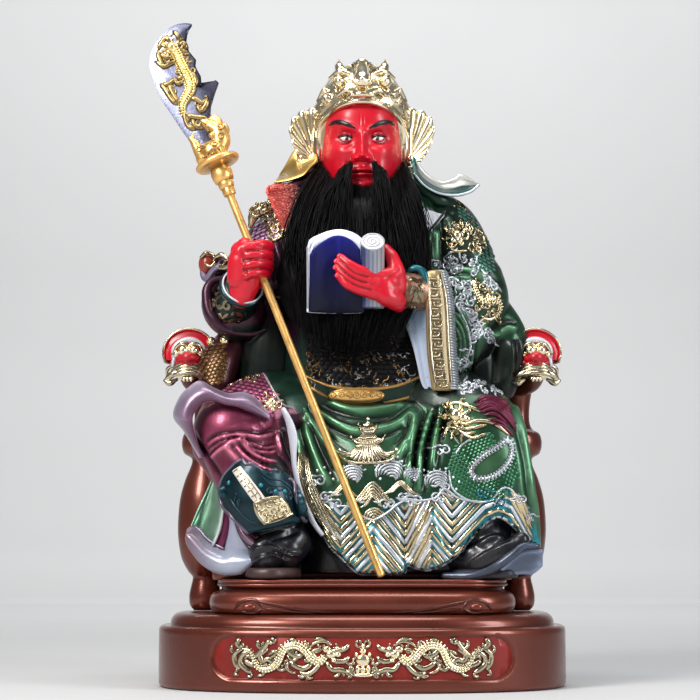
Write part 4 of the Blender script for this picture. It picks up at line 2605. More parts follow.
RED: Tone = (0.55, 0.004, 0.018)
LIP_RED: Tone = (0.5, 0.004, 0.018)
MOUTH_RED: Tone = (0.16, 0.002, 0.006)
HAND_SHADE: Tone = (0.25, 0.002, 0.01)
HAND_LIGHT: Tone = (0.62, 0.015, 0.04)
INK: Tone = (0.006, 0.006, 0.008)


@dataclass(frozen=True)
class Swell:
    """A soft rise or dip of the face, mirrored to both sides where it stands off the middle.

    Attributes:
        x: Distance from the middle.
        z: Height.
        rise: How far it stands out, negative for a dip.
        wide: Its reach across.
        tall: Its reach up and down.
        lean: How far it climbs for each millimetre outwards.
    """

    x: float
    z: float
    rise: float
    wide: float
    tall: float
    lean: float = 0.0

    def lift(self, x: np.ndarray, z: np.ndarray) -> np.ndarray:
        """Finds how far it lifts the places x and z.

        Args:
            x: Place across.
            z: Height.

        Returns:
            The lift of each place.
        """
        total = np.zeros(np.broadcast(x, z).shape)
        for side in (-1, 1) if self.x else (1,):
            across = x * side - self.x
            up = z - self.z - self.lean * across
            total += self.rise * np.exp(-((across / self.wide) ** 2) - (up / self.tall) ** 2)
        return total


@dataclass
class Head:
    """The red face: a calm, broad face with upswept brows."""

    fit: Fit
    middle: float = 0.0
    eye_z: float = 311.3
    eye_x: float = 11.3
    eye_y: float = -26.3
    nose_z: float = 296.0
    mouth_z: float = 286.2

    def profile(self) -> np.ndarray:
        """Finds the head's levels: height, half width, half depth and centre depth.

        Returns:
            One row for each level.
        """
        levels = [
            (256, 12, 14, -6), (264, 14, 20, -6), (270, 18, 25, -4), (277, 23, 29, -2),
            (286, 26.5, 32, 0), (298, 28.6, 34, 1), (312, 29.4, 35.5, 2), (326, 29.6, 35.5, 2),
            (338, 28, 33, 2), (346, 24, 28, 2),
        ]
        return smooth_curve(levels, 200)

    def swells(self) -> list[Swell]:
        """Finds the features of the face.

        Returns:
            The rises and dips.
        """
        e, n, m = self.eye_z, self.nose_z, self.mouth_z
        return [
            Swell(self.eye_x + 0.5, e + 0.3, -4.6, 7.6, 4.6),
            Swell(13.5, e + 9.0, 2.0, 9.5, 2.6, 0.3),
            Swell(5.0, e + 5.4, 1.5, 2.6, 2.2, 0.7),
            Swell(0, e + 2.5, 1.6, 2.8, 5.0),
            Swell(0, e - 4.0, 4.0, 2.7, 6.0),
            Swell(0, n + 4.4, 4.2, 3.0, 5.0),
            Swell(0, n + 0.8, 6.6, 3.9, 3.0),
            Swell(4.9, n - 0.2, 4.0, 2.2, 2.2),
            Swell(7.6, n + 0.6, -1.1, 1.5, 2.8),
            Swell(17.5, e - 8.5, 2.6, 8.0, 6.4),
            Swell(7.0, e - 5.6, -1.3, 4.6, 2.0, -0.35),
            Swell(10.6, m + 4.4, -1.5, 1.7, 6.0, -0.9),
            Swell(17.0, m + 3.0, 1.3, 6.0, 6.5),
            Swell(0, m + 5.0, -0.8, 1.3, 2.4),
            Swell(0, m + 1.0, 3.4, 9.5, 6.5),
            Swell(3.2, m + 2.0, 1.5, 3.6, 1.15, -0.16),
            Swell(0, m + 1.6, 0.6, 2.2, 0.9),
            Swell(0, m - 1.7, 2.1, 5.6, 1.35),
            Swell(4.5, m + 0.1, -1.3, 4.6, 0.55, -0.03),
            Swell(0, m + 0.1, -1.6, 3.8, 0.6),
            Swell(9.4, m + 0.2, -1.1, 1.4, 1.2),
            Swell(0, m - 4.8, -1.6, 6.5, 1.6),
            Swell(0, m - 9.6, 4.0, 7.0, 4.6),
            Swell(26.0, e + 6.5, -1.4, 4.5, 6.0),
            Swell(12.0, e + 17.0, 0.9, 8.0, 5.0),
            Swell(1.3, e + 11.5, -0.35, 0.5, 4.0),
        ]

    def face(self) -> Form:
        """Makes the head's skin.

        Returns:
            A closed form.
        """
        levels = self.profile()
        angle = np.radians(np.concatenate([np.linspace(-172, -8, 230), np.linspace(0, 180, 24)]))
        z, half_x, half_y, centre = (levels[:, k][:, None] for k in range(4))
        ring = oval(angle, 1.0, 1.0, 2.15)
        x = half_x * ring[None, :, 0]
        y = centre + half_y * ring[None, :, 1]
        height = np.repeat(z, len(angle), axis=1)
        facing = np.clip(-ring[None, :, 1] * 2.2, 0, 1)
        lift = sum(swell.lift(x, height) for swell in self.swells()) * facing
        n = self.nose_z
        under = np.clip((n - 1.6 - height) / 0.9, 0, 1) * np.exp(-((x / 6.5) ** 2)) * np.exp(
            -(((height - n + 3.6) / 2.6) ** 2)
        )
        lift = lift - under * np.maximum(lift - 2.4, 0) * 0.75
        points = np.stack([x + self.middle, y - lift, height], axis=-1)
        form = grid(points, around=True, caps=True)
        tone = np.tile(np.asarray(RED), (len(form.points), 1))
        px, pz = form.points[:, 0] - self.middle, form.points[:, 2]
        front = form.points[:, 1] < -5
        lips = (np.abs(px) < 8.6) & (
            np.abs(pz - self.mouth_z + 0.1) < 3.2 * (1 - (px / 9.6) ** 2)
        ) & front
        tone[lips] = LIP_RED
        line = (np.abs(px) < 8.4) & (np.abs(pz - self.mouth_z - 0.1) < 0.45) & front
        tone[line] = MOUTH_RED
        return form.recoloured(tone)

    def on_face(self, surface: Surface, path: Path, lift: float) -> np.ndarray:
        """Returns a path laid on the face."""
        points, _ = surface.lay(smooth_curve(path, 26), lift)
        return points

    def eye(self, side: int) -> list[tuple[Form, Paint]]:
        """Makes one eye: ball, iris, highlight and lids.

        Args:
            side: 1 for the viewer's right, -1 for the left.

        Returns:
            Forms, each with its finish.
        """
        x, z = self.middle + side * self.eye_x, self.eye_z
        y = self.eye_y
        white = ball((x, y, z), (5.3, 5.0, 3.6), sides=32, rows=20).toned((0.75, 0.7, 0.66))
        iris = ball((x - side * 0.3, y - 3.5, z - 0.2), (1.95, 1.75, 1.95), sides=24).toned((
            0.03, 0.008, 0.005,
        ))
        pupil = ball((x - side * 0.3, y - 4.6, z - 0.2), (0.9, 0.75, 0.9), sides=16).toned(INK)
        glint = ball((x - side * 0.3 - 0.5, y - 5.0, z + 0.6), (0.36, 0.3, 0.36), sides=10).toned((
            1, 1, 1,
        ))
        inner, outer = x - side * 5.4, x + side * 5.8
        upper = [
            (inner, y - 1.6, z - 1.1), (x - side * 2.6, y - 4.6, z + 1.25),
            (x + side * 1.2, y - 5.0, z + 1.95), (outer, y - 1.6, z + 0.9),
        ]
        lower = [
            (inner, y - 1.6, z - 1.1), (x - side * 1.6, y - 4.5, z - 2.15),
            (x + side * 2.4, y - 4.3, z - 1.9), (outer, y - 1.6, z + 0.9),
        ]
        lid = [(x_, y_ + 0.5, z_ + 1.5) for x_, y_, z_ in upper]
        return [
            (white, Paint.WHITE),
            (iris, Paint.BLACK),
            (pupil, Paint.BLACK),
            (glint, Paint.WHITE),
            (limb(upper, [0.35, 0.75, 0.8, 0.5], 10, 20).toned(INK), Paint.BLACK),
            (limb(lid, [0.7, 1.35, 1.4, 0.8], 12, 20).toned(RED), Paint.SKIN),
            (limb(lower, [0.5, 0.75, 0.75, 0.5], 10, 20).toned((0.45, 0.006, 0.016)), Paint.SKIN),
        ]

    def brow(self, surface: Surface, side: int) -> Form:
        """Makes one upswept brow.

        Args:
            surface: The face.
            side: 1 for the viewer's right, -1 for the left.

        Returns:
            A closed form.
        """
        e = self.eye_z
        path = [(5.4, e + 6.6), (9.5, e + 9.0), (14.5, e + 11.2), (19.5, e + 12.2), (24, e + 11.4)]
        points = self.on_face(surface, [(self.middle + side * x, z) for x, z in path], 0.1)
        return limb(points, [0.7, 1.6, 1.9, 1.4, 0.4], 12, 26, 1.0).toned(INK)

    def build(self) -> None:
        """Builds the face."""
        face = self.face()
        surface = Surface(face)
        piece = figure_piece("face")
        piece.add(face, Paint.SKIN)
        for side in (-1, 1):
            piece.add_all(self.eye(side))
            piece.add(self.brow(surface, side), Paint.BLACK)
        piece.build(self.fit, 80)


@dataclass
class Helmet:
    """The golden beast-headed helmet with its fan-shaped side wings."""

    fit: Fit
    voxel: float = 0.75

    def masses(self) -> list[Form]:
        """Makes the dome, the beast's head and the rim as overlapping forms.

        Returns:
            Closed forms.
        """
        dome = [
            (284, 0, 18, 28, 22), (296, 0, 14, 33.5, 27), (310, 0, 11, 36.5, 30), (322, 0, 9.5, 38.2, 33),
            (330, 0, 8, 38.6, 35), (337, 0, 5, 37.2, 37), (345, 0, 3, 32.5, 37), (354, 0, 1, 28, 33),
            (362, 0, 0, 22.5, 26.5), (368, 0, 0, 15, 18), (371.5, 0, 0, 6, 8),
        ]
        rim = [
            (-30.5, 0, 296), (-31.5, -5, 306), (-31, -8, 318), (-28, -15, 327), (-20, -26, 333),
            (-10, -34, 336), (0, -37, 337),
        ]
        rim = rim + [(-x, y, z) for x, y, z in rim[-2::-1]]
        forms = [stack(dome, 72, 70, 2.1), limb(rim, [2.2], 14, 90)]
        for side in (-1, 1):
            forms += [
                ball((side * 16.3, -29, 352.5), (5.0, 5.0, 5.0)),
                limb([(side * 9, -33, 357.5), (side * 16, -31.5, 359.5), (side * 23, -24, 356.5)], [
                    1.4, 2.0, 1.3,
                ], 10, 12),
                limb([(side * 15, -16, 363), (side * 16.5, -14, 368), (side * 16.8, -13, 372)], [
                    4.5, 3.4, 0.9,
                ], 12, 10),
                limb([
                    (side * 4, -38.5, 343), (side * 11, -37.5, 345), (side * 17, -33, 342),
                    (side * 19, -30.5, 346),
                ], [2.6, 2.8, 2.2, 1.4], 12, 14),
                ball((side * 24.5, -22, 342), (5.2, 4.6, 4.6)),
                ball((side * 4.6, -42, 349.6), (2.8, 3.0, 2.4)),
                limb([(side * 27, -20, 349), (side * 30.5, -12, 344), (side * 32, -8, 337)], [
                    2.0, 1.8, 1.2,
                ], 10, 14),
                ball((side * 7, -39.5, 341.0), (2.0, 2.0, 2.2)),
            ]
        forms += [
            limb([(0, -26, 364), (0, -33, 358), (0, -39, 352)], [5.0, 5.6, 6.0], 16, 14),
            ball((0, -41, 349.5), (6.4, 5.0, 4.2)), ball((0, -44.5, 351), (3.0, 2.4, 2.2)),
            limb([(-9, -36.5, 340), (0, -39.8, 341.5), (9, -36.5, 340)], [1.8, 2.3, 1.8], 12, 14),
            limb([
                (0, -20, 369.5), (0, -10, 371.5), (0, 6, 371), (0, 26, 362), (0, 36, 346), (0, 40, 324),
            ], [2.4, 2.6, 2.4, 2.0, 1.6], 12, 30),
            limb([(-5, -24, 366.5), (0, -25.5, 369), (5, -24, 366.5)], [1.6, 2.0, 1.6], 10, 10),
        ]
        return forms

    def trims(self, surface: Surface) -> list[Form]:
        """Makes the fine scrolls on the helmet.

        Args:
            surface: The helmet's skin.

        Returns:
            Closed forms.
        """
        paths: list[Path] = []
        for side in (-1, 1):
            paths += [
                spiral(side * 24.5, 342, 3.9, 1.5, 90, side),
                spiral(side * 31, 331, 2.8, 1.3, 60, -side),
                spiral(side * 13.5, 341, 1.9, 1.2, 0, side),
                [(side * 34, 320), (side * 33, 327), (side * 30, 334), (side * 29, 340)],
                [(side * 6, 360), (side * 10, 363), (side * 13, 362)],
                [(side * 3, 366), (side * 8, 367.5), (side * 11, 365.5)],
                [(side * 20, 362), (side * 22, 366), (side * 19.5, 369)],
                [(side * 2, 338.5), (side * 9, 337.5), (side * 18, 334), (side * 25, 328)],
                [(side * 27, 352), (side * 31, 349), (side * 32.5, 343)],
            ]
        forms = relief(surface, paths, 0.75, 1.2, 0.7)
        for side in (-1, 1):
            forms += knob_on(surface, side * 16.3, 352.3, (2.4, 1.6, 2.4), sides=18)
            ring = ellipse_path(side * 16.3, 352.3, 3.7, 3.7, np.linspace(0, TURN, 15))
            forms += relief(surface, [ring], 0.5, 1.1, 0.6, taper=False)
        return forms

    def wing(self) -> Form:
        """Makes the wing at the viewer's left, a ribbed fan that rises from a point at the jaw.

        Returns:
            The wing.
        """
        reach_at = [(-8, 36.5), (10, 37), (24, 35.5), (36, 31), (46, 24), (58, 17), (75, 11), (100, 7)]
        angles, reaches = zip(*reach_at)
        first, last = angles[0], angles[-1]

        def surface(u: np.ndarray, v: np.ndarray) -> np.ndarray:
            """Finds the fan's middle, with its ribs.

            Args:
                u: Share of the turn, from 0 to 1.
                v: Share of the reach, from 0 to 1.

            Returns:
                xyz for each place.
            """
            turn = first + (last - first) * u
            reach = np.interp(turn, angles, reaches)
            reach = reach * (1 + 0.07 * np.abs(np.cos(u * math.pi * 9)) ** 0.7 - 0.04)
            rib = np.abs(np.cos(u * math.pi * 9)) ** 0.8
            a = np.radians(turn)
            x = -33.5 - np.sin(a) * reach * v
            z = 299.5 + np.cos(a) * reach * v
            return np.stack([x, -6 + 3.5 * (1 - v) - rib * 3.2 * v**0.6 + 3.0 * v * u, z], axis=-1)

        return slab(surface, 2.2, 110, 26)

    def build(self) -> None:
        """Builds the helmet."""
        skin = fuse(self.masses(), self.voxel, 2)
        piece = figure_piece("helmet")
        piece.add(skin, Paint.PALE_GOLD)
        piece.add(self.trims(Surface(skin)), Paint.PALE_GOLD)
        wing = self.wing()
        boss = [
            ball((-35, -6.5, 302), (2.6, 2.2, 3.2), sides=14),
            limb([(-33.5, -5, 334), (-34.5, -6, 316), (-34, -5, 298)], [2.4, 2.4, 2.2], 12, 24),
        ]
        piece.add([wing, wing.mirrored(), *boss, *[form.mirrored() for form in boss]], Paint.PALE_GOLD)
        piece.build(self.fit, 60)


# Collar


@dataclass
class Collar:
    """The neck wrap and its two flaring lapels."""

    fit: Fit

    @staticmethod
    def lapel(
        lower: Path, upper: Path, depth: tuple[float, float], bend: float, thick: float = 2.2,
    ) -> Form:
        """Makes a lapel between two edges drawn in the front view, its upper edge set back.

        Args:
            lower: The lower edge.
            upper: The upper edge.
            depth: Depths of the lower and the upper edge.
            bend: How far its middle bends back.
            thick: Its thickness.

        Returns:
            A closed form.
        """
        low, high = smooth_curve(lower, 61), smooth_curve(upper, 61)

        def surface(u: np.ndarray, v: np.ndarray) -> np.ndarray:
            """Finds the lapel's middle.

            Args:
                u: Share across, from 0 to 1.
                v: Share down its length, from 0 to 1.

            Returns:
                xyz for each place.
            """
            x, z = ruled(low, high, u, v)
            y = depth[0] + (depth[1] - depth[0]) * v + bend * np.sin(v * math.pi) + 10 * (u - 0.2)
            return np.stack([x, y, z], axis=-1)

        return slab(surface, thick, 70, 20)

    def build(self) -> None:
        """Builds the collar."""
        piece = figure_piece("collar")
        left_low = [(-32.3, 296.0), (-37.3, 291.6), (-42.3, 286.5), (-51.6, 283.6), (-62.3, 282.2)]
        left_high = [(-33.1, 303.0), (-38.9, 300.0), (-45.4, 300.0), (-48.3, 307.4), (-58.4, 291.3)]
        left = self.lapel(left_low, left_high, (-24, -8), 5)
        right_low = [
            (37.3, 286.5), (44.4, 278.6), (54.4, 273.5), (66.6, 272.0), (77.3, 274.9), (83.8, 280.7),
        ]
        right_high = [
            (36.9, 301.5), (45.5, 290.5), (57.0, 284.0), (67.1, 286.9), (71.5, 289.8), (84.4, 283.2),
        ]
        right = self.lapel(right_low, right_high, (-24, -10), 4)
        share = sheet_shares(right, 70, 20, rim=0.0)
        pale = (share > 0.42) & (right.points[:, [0]] > 40)
        tone = np.where(pale, (0.5, 0.5, 0.46), (0.006, 0.05, 0.045))
        right = right.recoloured(tone)
        piece.add(left.toned((0.3, 0.19, 0.05)), Paint.ENAMEL)
        piece.add(right, Paint.ENAMEL)
        rim_left = limb([(x, -22 + 10 * (k / 4 - 0.2), z) for k, (x, z) in enumerate(left_low)], [
            0.9
        ], 10, 40)
        piece.add(rim_left, Paint.GOLD)
        rim_right = limb([(x, -24 + 10 * (k / 5 - 0.2), z) for k, (x, z) in enumerate(right_low)], [
            0.9
        ], 10, 40)
        piece.add(rim_right, Paint.SILVER)
        rolls = [
            limb([(-62, -10, 278), (-52, -14, 277), (-43, -13, 281), (-34, -6, 288)], [
                4.5, 5.5, 6.0, 6.5,
            ], 18, 24).toned((0.05, 0.008, 0.03)),
            limb([(31, -4, 290), (41, -12, 279), (56, -12, 270), (64, -6, 269)], [
                6.5, 7.0, 6, 4.5,
            ], 18, 24).toned((0.012, 0.05, 0.03)),
            limb([(-34, 2, 291), (-31, 24, 286), (0, 38, 284), (31, 24, 286), (36, 2, 289)], [
                8, 11, 12, 11, 8,
            ], 24, 40).toned((0.012, 0.06, 0.045)),
        ]
        piece.add(rolls, Paint.ENAMEL)
        piece.build(self.fit, 60)


# Beard


@dataclass
class Beard:
    """The long beard and moustache of loose black hair."""

    fit: Fit
    strands: int = 4050
    radius: float = 0.36

    def core(self) -> Form:
        """Makes the dense body of the beard under the loose hairs.

        Returns:
            A closed form.
        """
        levels = [
            (166, -11, -41, 14, 3), (178, -10, -42, 36, 4), (196, -8, -42, 47, 6), (220, -5, -41, 51, 8),
            (252, 0, -38, 41, 8), (266, 1, -34, 33, 6), (276, 1, -25, 25, 4),
        ]

        def locks(angle: np.ndarray, share: float) -> np.ndarray:
            """Returns the grooves between the locks."""
            return 0.03 * np.cos(angle * 23 + share * 3) + 0.03 * np.cos(angle * 57 - share * 5)

        return stack(levels, 240, 44, 2.3, locks)

    def roots(self, rng: np.random.Generator) -> Iterable[tuple[Vec, float, float]]:
        """Yields each hair's root, its fanning out and its length, from jaw, chin and upper lip.

        Args:
            rng: The source of random draws.

        Yields:
            Root, fanning out and length of each hair.
        """
        for k in range(self.strands):
            way, along = rng.uniform(-1, 1), rng.uniform()
            kind = k % 10
            side = math.copysign(1, way)
            if kind < 5:
                far = abs(way) ** 0.85
                x = 30.5 * side * far
                z = 297 - 25 * (1 - far**2.6) + rng.normal(0, 1.5)
                y = 1 - 33 * math.sqrt(max(0, 1 - (x / 33) ** 2))
                yield (x, y, z), 1.75, 104 + 30 * along - 24 * far
            elif kind < 9:
                x = 23 * way
                z = 273.5 + rng.normal(0, 1.5) + 6 * abs(way)
                yield (x, 3 * abs(way) - 36, z), 1.9, 96 + 34 * along
            else:
                x = side * (7.2 + 9.5 * along**1.3)
                z = 293.2 - abs(abs(x) - 8.5) * 0.8 + rng.normal(0, 0.7)
                yield (x, abs(x) * 0.35 - 41.5, z), 1.95, 50 + 46 * abs(way)

    def hairs(self) -> Form:
        """Makes all hairs as thin tapering blades with a slight wave.

        Returns:
            A closed form.
        """
        rng = np.random.default_rng(SEED)
        share = np.linspace(0, 1, 8)
        angle = even_angles(3)
        ring = np.stack([np.cos(angle), np.sin(angle), np.zeros(3)], axis=-1)
        forms = []
        for root, fan, length in self.roots(rng):
            drift, depth = rng.normal(0, 4.5), rng.normal(0, 2.6)
            wave, phase, turns = rng.uniform(0.3, 1.2), rng.uniform(0, TURN), rng.uniform(0.8, 1.9)
            swing = wave * np.sin(phase + share * turns * TURN)
            wide = root[0] * (1 + (fan - 1) * np.sin(np.minimum(share * 1.25, 1) * math.pi / 2))
            wide = np.where(wide > 0, wide * (1 - 0.13 * np.minimum(share * 4, 1)), wide)
            pull = np.clip((share - 0.62) / 0.38, 0, 1) ** 1.6
            x = wide * (1 - 0.38 * pull) - 9 * pull + drift * share + swing
            front = depth - 38 - 9.5 * np.sqrt(np.clip(1 - (x / 62) ** 2, 0, 1))
            blend = np.clip(share * 3.2, 0, 1)
            line = np.stack([
                x, root[1] * (1 - blend) + front * blend + swing * 0.6, root[2] - share * length,
            ], axis=-1)
            girth = self.radius * np.minimum(1, (1.02 - share) * 3.0) * np.minimum(1, 0.45 + share * 8)
            forms.append(grid((line[:, None] + ring[None] * girth[:, None, None])[::-1], around=True))
        return join(forms)

    def build(self) -> None:
        """Builds the beard."""
        piece = Piece("beard", "beard", ["beard"])
        piece.add([self.core(), self.hairs()], Paint.HAIR)
        piece.build(self.fit, 180, 0.8)


# Torso


LILAC: Tone = (0.42, 0.36, 0.52)
DARK_PLUM: Tone = (0.02, 0.004, 0.012)


@dataclass
class Torso:
    """Chest, belly armour, belt and the cloak down the back."""

    fit: Fit
    voxel: float = 1.6
    belly: Path = (
        (-39, 166), (40, 166), (40, 144), (35, 138), (24, 134), (0, 132), (-23, 134), (-37, 139),
    )

    def masses(self) -> list[Form]:
        """Makes the overlapping forms of the trunk and the shoulders.

        Returns:
            Closed forms.
        """
        trunk = [
            (108, 0, 10, 66, 44), (130, 1, 8, 64, 47), (150, 2, 6, 62, 48), (190, 2, 8, 64, 43),
            (230, 2, 10, 68, 38), (254, 2, 11, 66, 34), (272, 2, 11, 50, 29), (290, 2, 8, 28, 24),
        ]
        return [stack(trunk, 90, 80, 2.3)]

    def back_pleats(self) -> list[Stroke]:
        """Makes the pleats of the cloak on the back.

        Returns:
            The ridges and grooves.
        """
        return [
            Stroke([(x * 0.6, 268), (x * 0.85, 230), (x, 180), (x * 1.08, 120)], 2.6, 4.2, 0.5)
            for x in (-52, -38, -24, -10, 4, 18, 32, 46, 60)
        ]

    def belt(self, surface: Surface) -> list[Form]:
        """Makes the gilded belt with its oval plate.

        Args:
            surface: The skin that it lies on.

        Returns:
            Closed forms.
        """
        lines = [
            [
                (-39, 141), (-31, 137), (-23, 134), (-11, 132), (0, 132), (12, 132), (24, 134), (35, 138),
                (43, 142),
            ],
            [(15, 122), (25, 124), (35, 127), (43, 132)], [(-39, 135), (-31, 130), (-24, 126)],
        ]
        forms = relief(surface, lines, 1.3, 1.2, 0.9, taper=False)
        x, z = -4, 127
        forms += knob_on(surface, x, z, (19.5, 3.2, 5.2), sides=36)
        scrolls: list[Path] = []
        for k in range(-3, 4):
            scrolls.append(spiral(x + k * 5.2, z, 2.5 - 0.2 * abs(k), 1.4, 90 * k, 1 if k % 2 else -1))
        plate = Surface(join([ball((x, -44, z), (19.5, 5.0, 5.4), sides=40)]))
        forms += relief(plate, scrolls, 0.6, 1.3, 0.6)
        ring = ellipse_path(x, z, 19, 5, np.linspace(0, TURN, 40))
        return forms + relief(surface, [ring], 1.0, 1.6, 0.8, taper=False)

    def build(self) -> None:
        """Builds the torso."""
        form = fuse(self.masses(), self.voxel, 2)
        form, lifted = sculpt(form, self.back_pleats(), back=True)
        chest_left = [(-76, 274), (-44, 274), (-44, 164), (-76, 164)]
        chest_right = [(34, 274), (77, 274), (76, 164), (34, 164)]
        patches = [Patch(self.belly, NIGHT), Patch(chest_left, DARK_PLUM), Patch(chest_right, GREEN)]
        skin = painted(form, lifted, DEEP_GREEN, (0.006, 0.025, 0.016), LIGHT_GREEN, patches)
        surface = Surface(skin)
        piece = figure_piece("torso")
        piece.add(skin, Paint.ENAMEL)
        mail = [(-38, 169), (38, 169), (37, 144), (32, 139), (0, 134), (-30, 139), (-38, 144)]
        scales = scale_mail(surface, mail, 5.2)
        piece.add(scales, Paint.HAIR)
        flecks: list[Path] = []
        rng = np.random.default_rng(SEED)
        for x, z in zip(rng.uniform(-38, 38, 56), rng.uniform(132, 168, 56)):
            flecks += cloud(x, z, rng.uniform(1.8, 3.4), rng.uniform(-90, 90))
        piece.add(relief(surface, flecks[::2], 0.55, 2.4, 0.7), Paint.BRONZE_GOLD)
        piece.add(relief(surface, flecks[1::2], 0.45, 2.2, 0.7), Paint.SILVER)
        piece.add(self.belt(surface), Paint.BRONZE_GOLD)
        piece.build(self.fit, 60, 0.4)


# Arm that holds the glaive


@dataclass
class FistArm:
    """The arm at the viewer's left: armoured shoulder, wide sleeve, brocade bracer."""

    fit: Fit
    voxel: float = 1.1

    def shoulder(self) -> Form:
        """Makes the skin of the upper arm and the sleeve.

        Returns:
            A closed form.
        """
        masses = [
            limb([(-36, 14, 260), (-59, 9, 245), (-80, 4, 222)], [22, 21, 20], 30, 20),
            limb([(-86, 8, 214), (-93, -2, 196), (-88, -14, 186)], [20, 23, 20], 30, 20),
            limb([(-46, -4, 264), (-54, -10, 246), (-58, -14, 216)], [13, 16, 16], 24, 16),
            limb([(-66, -8, 236), (-80, -12, 214)], [16, 16], 24, 12),
            limb([(-62, 6, 206), (-66, 2, 170), (-70, 8, 120)], [18, 24, 26], 24, 16),
        ]
        return fuse(masses, self.voxel, 3)

    def sculpted(self) -> tuple[Form, np.ndarray]:
        """Makes the arm's skin with its folds.

        Returns:
            The carved skin, and how far each vertex was lifted.
        """
        strokes = [
            Stroke([(-71, 237), (-67, 223), (-65, 206), (-68, 189)], 2.2, 3.0),
            Stroke([(-63, 239), (-58, 223), (-58, 203)], 1.8, 2.6),
            Stroke([(-81, 236), (-86, 226), (-95, 218)], -1.4, 2.2, 0),
            Stroke([(-111, 212), (-109, 200), (-106, 186)], 1.6, 2.6),
            Stroke([(-56, 249), (-52, 233), (-51, 218)], 1.6, 2.4),
        ]
        return sculpt(self.shoulder(), strokes)

    def mail(self, surface: Surface) -> list[Form]:
        """Makes the scale mail on the shoulder and down the arm.

        Args:
            surface: The skin that it lies on.

        Returns:
            Closed forms.
        """
        upper = [
            (-83, 239), (-80, 248), (-76, 255), (-71, 259), (-64, 257), (-60, 250), (-59, 242),
            (-66, 239), (-74, 238),
        ]
        lower = [
            (-100, 223), (-96, 230), (-90, 236), (-85, 241), (-80, 239), (-83, 231), (-88, 224),
            (-94, 220),
        ]
        return scale_mail(surface, upper, 4.2, 25) + scale_mail(surface, lower, 3.6, 35)

    def leaves(self, surface: Surface) -> list[Form]:
        """Makes the gilded leaf scrolls that crown the shoulder.

        Args:
            surface: The skin that it lies on.

        Returns:
            Closed forms.
        """
        paths: list[Path] = []
        heads = [
            (-75, 267), (-71, 270), (-66, 267), (-71, 262), (-64, 260), (-60, 255), (-57, 249),
            (-61, 246), (-66, 250), (-56, 244), (-76, 261), (-69, 254), (-64, 243),
        ]
        for k, (x, z) in enumerate(heads):
            paths.append(spiral(x, z, 4.2 - 0.08 * k, 1.3, 57 * k, 1 if k % 2 else -1))
            paths += flames(x, z, 3.8, 3, 70 * k, 120)
        edge = [(-83, 238), (-76, 236), (-67, 237), (-59, 240), (-55, 243)]
        crest = []
        for k, (x, z) in enumerate([(-76, 260), (-71, 265), (-65, 268)]):
            curl = spiral(x, z, 4.0, 1.2, 90 + 70 * k, 1)
            crest.append(limb(
                [(a, -16 - 0.25 * i, b) for i, (a, b) in enumerate(curl)], [1.5, 1.4, 0.9], 10, 26,
            ))
        crest.append(limb([
            (a, -14, b)
            for a, b in [(-80, 251), (-77, 259), (-71, 263), (-64, 266), (-59, 266)]
        ], [2.0, 4.0, 4.4, 4.0, 2.0], 16, 30))
        return crest + relief(surface, paths, 1.15, 1.5, 0.7) + relief(
            surface, [edge], 1.3, 1.2, taper=False,
        )

    def knob(self) -> list[tuple[Form | list[Form], Paint]]:
        """Makes the beast-faced elbow knob with its gilded curls.

        Returns:
            Forms, each with their finish.
        """
        x, z = -111, 224
        curls = [
            limb([(x - 4, -16, z + 4), (x, -18, z + 7), (x + 5, -16, z + 5), (x + 5, -18, z + 1)], [
                1.2, 1.5, 1.3, 0.8,
            ], 10, 18),
            limb([
                (x + 6, -20, z + 3), (x + 11, -22, z + 5), (x + 15, -24, z + 1), (x + 12, -26, z - 3),
            ], [1.3, 1.8, 1.6, 0.9], 10, 18),
            limb([(x + 7, -22, z - 3), (x + 13, -26, z - 5), (x + 19, -30, z - 4)], [
                1.6, 2.2, 1.4,
            ], 10, 14),
            limb([(x - 1, -17.5, z - 1), (x + 3, -19, z - 3), (x + 6, -20, z)], [1.0, 1.2, 0.8], 10, 10),
        ]
        return [
            (ball((x, -9, z), (6.4, 8.5, 8.6), sides=24).toned((0.26, 0.03, 0.018)), Paint.SKIN),
            (ball((x + 11, -8, z - 2), (9, 8, 8), sides=24).toned(DARK_PLUM), Paint.ENAMEL),
            (curls, Paint.GOLD),
            (limb(self.rim_path(), [2.0, 2.6, 2.4, 1.8], 14, 40).toned(LILAC), Paint.ENAMEL),
        ]

    @staticmethod
    def rim_path() -> list[tuple[float, float, float]]:
        """Returns the course of the guard's lilac rim."""
        flat = [(-114, 222), (-114, 217), (-112, 213), (-109, 214), (-106, 218), (-102, 220), (-95, 218)]
        return [(x, -8 - 3.0 * k, z) for k, (x, z) in enumerate(flat)]

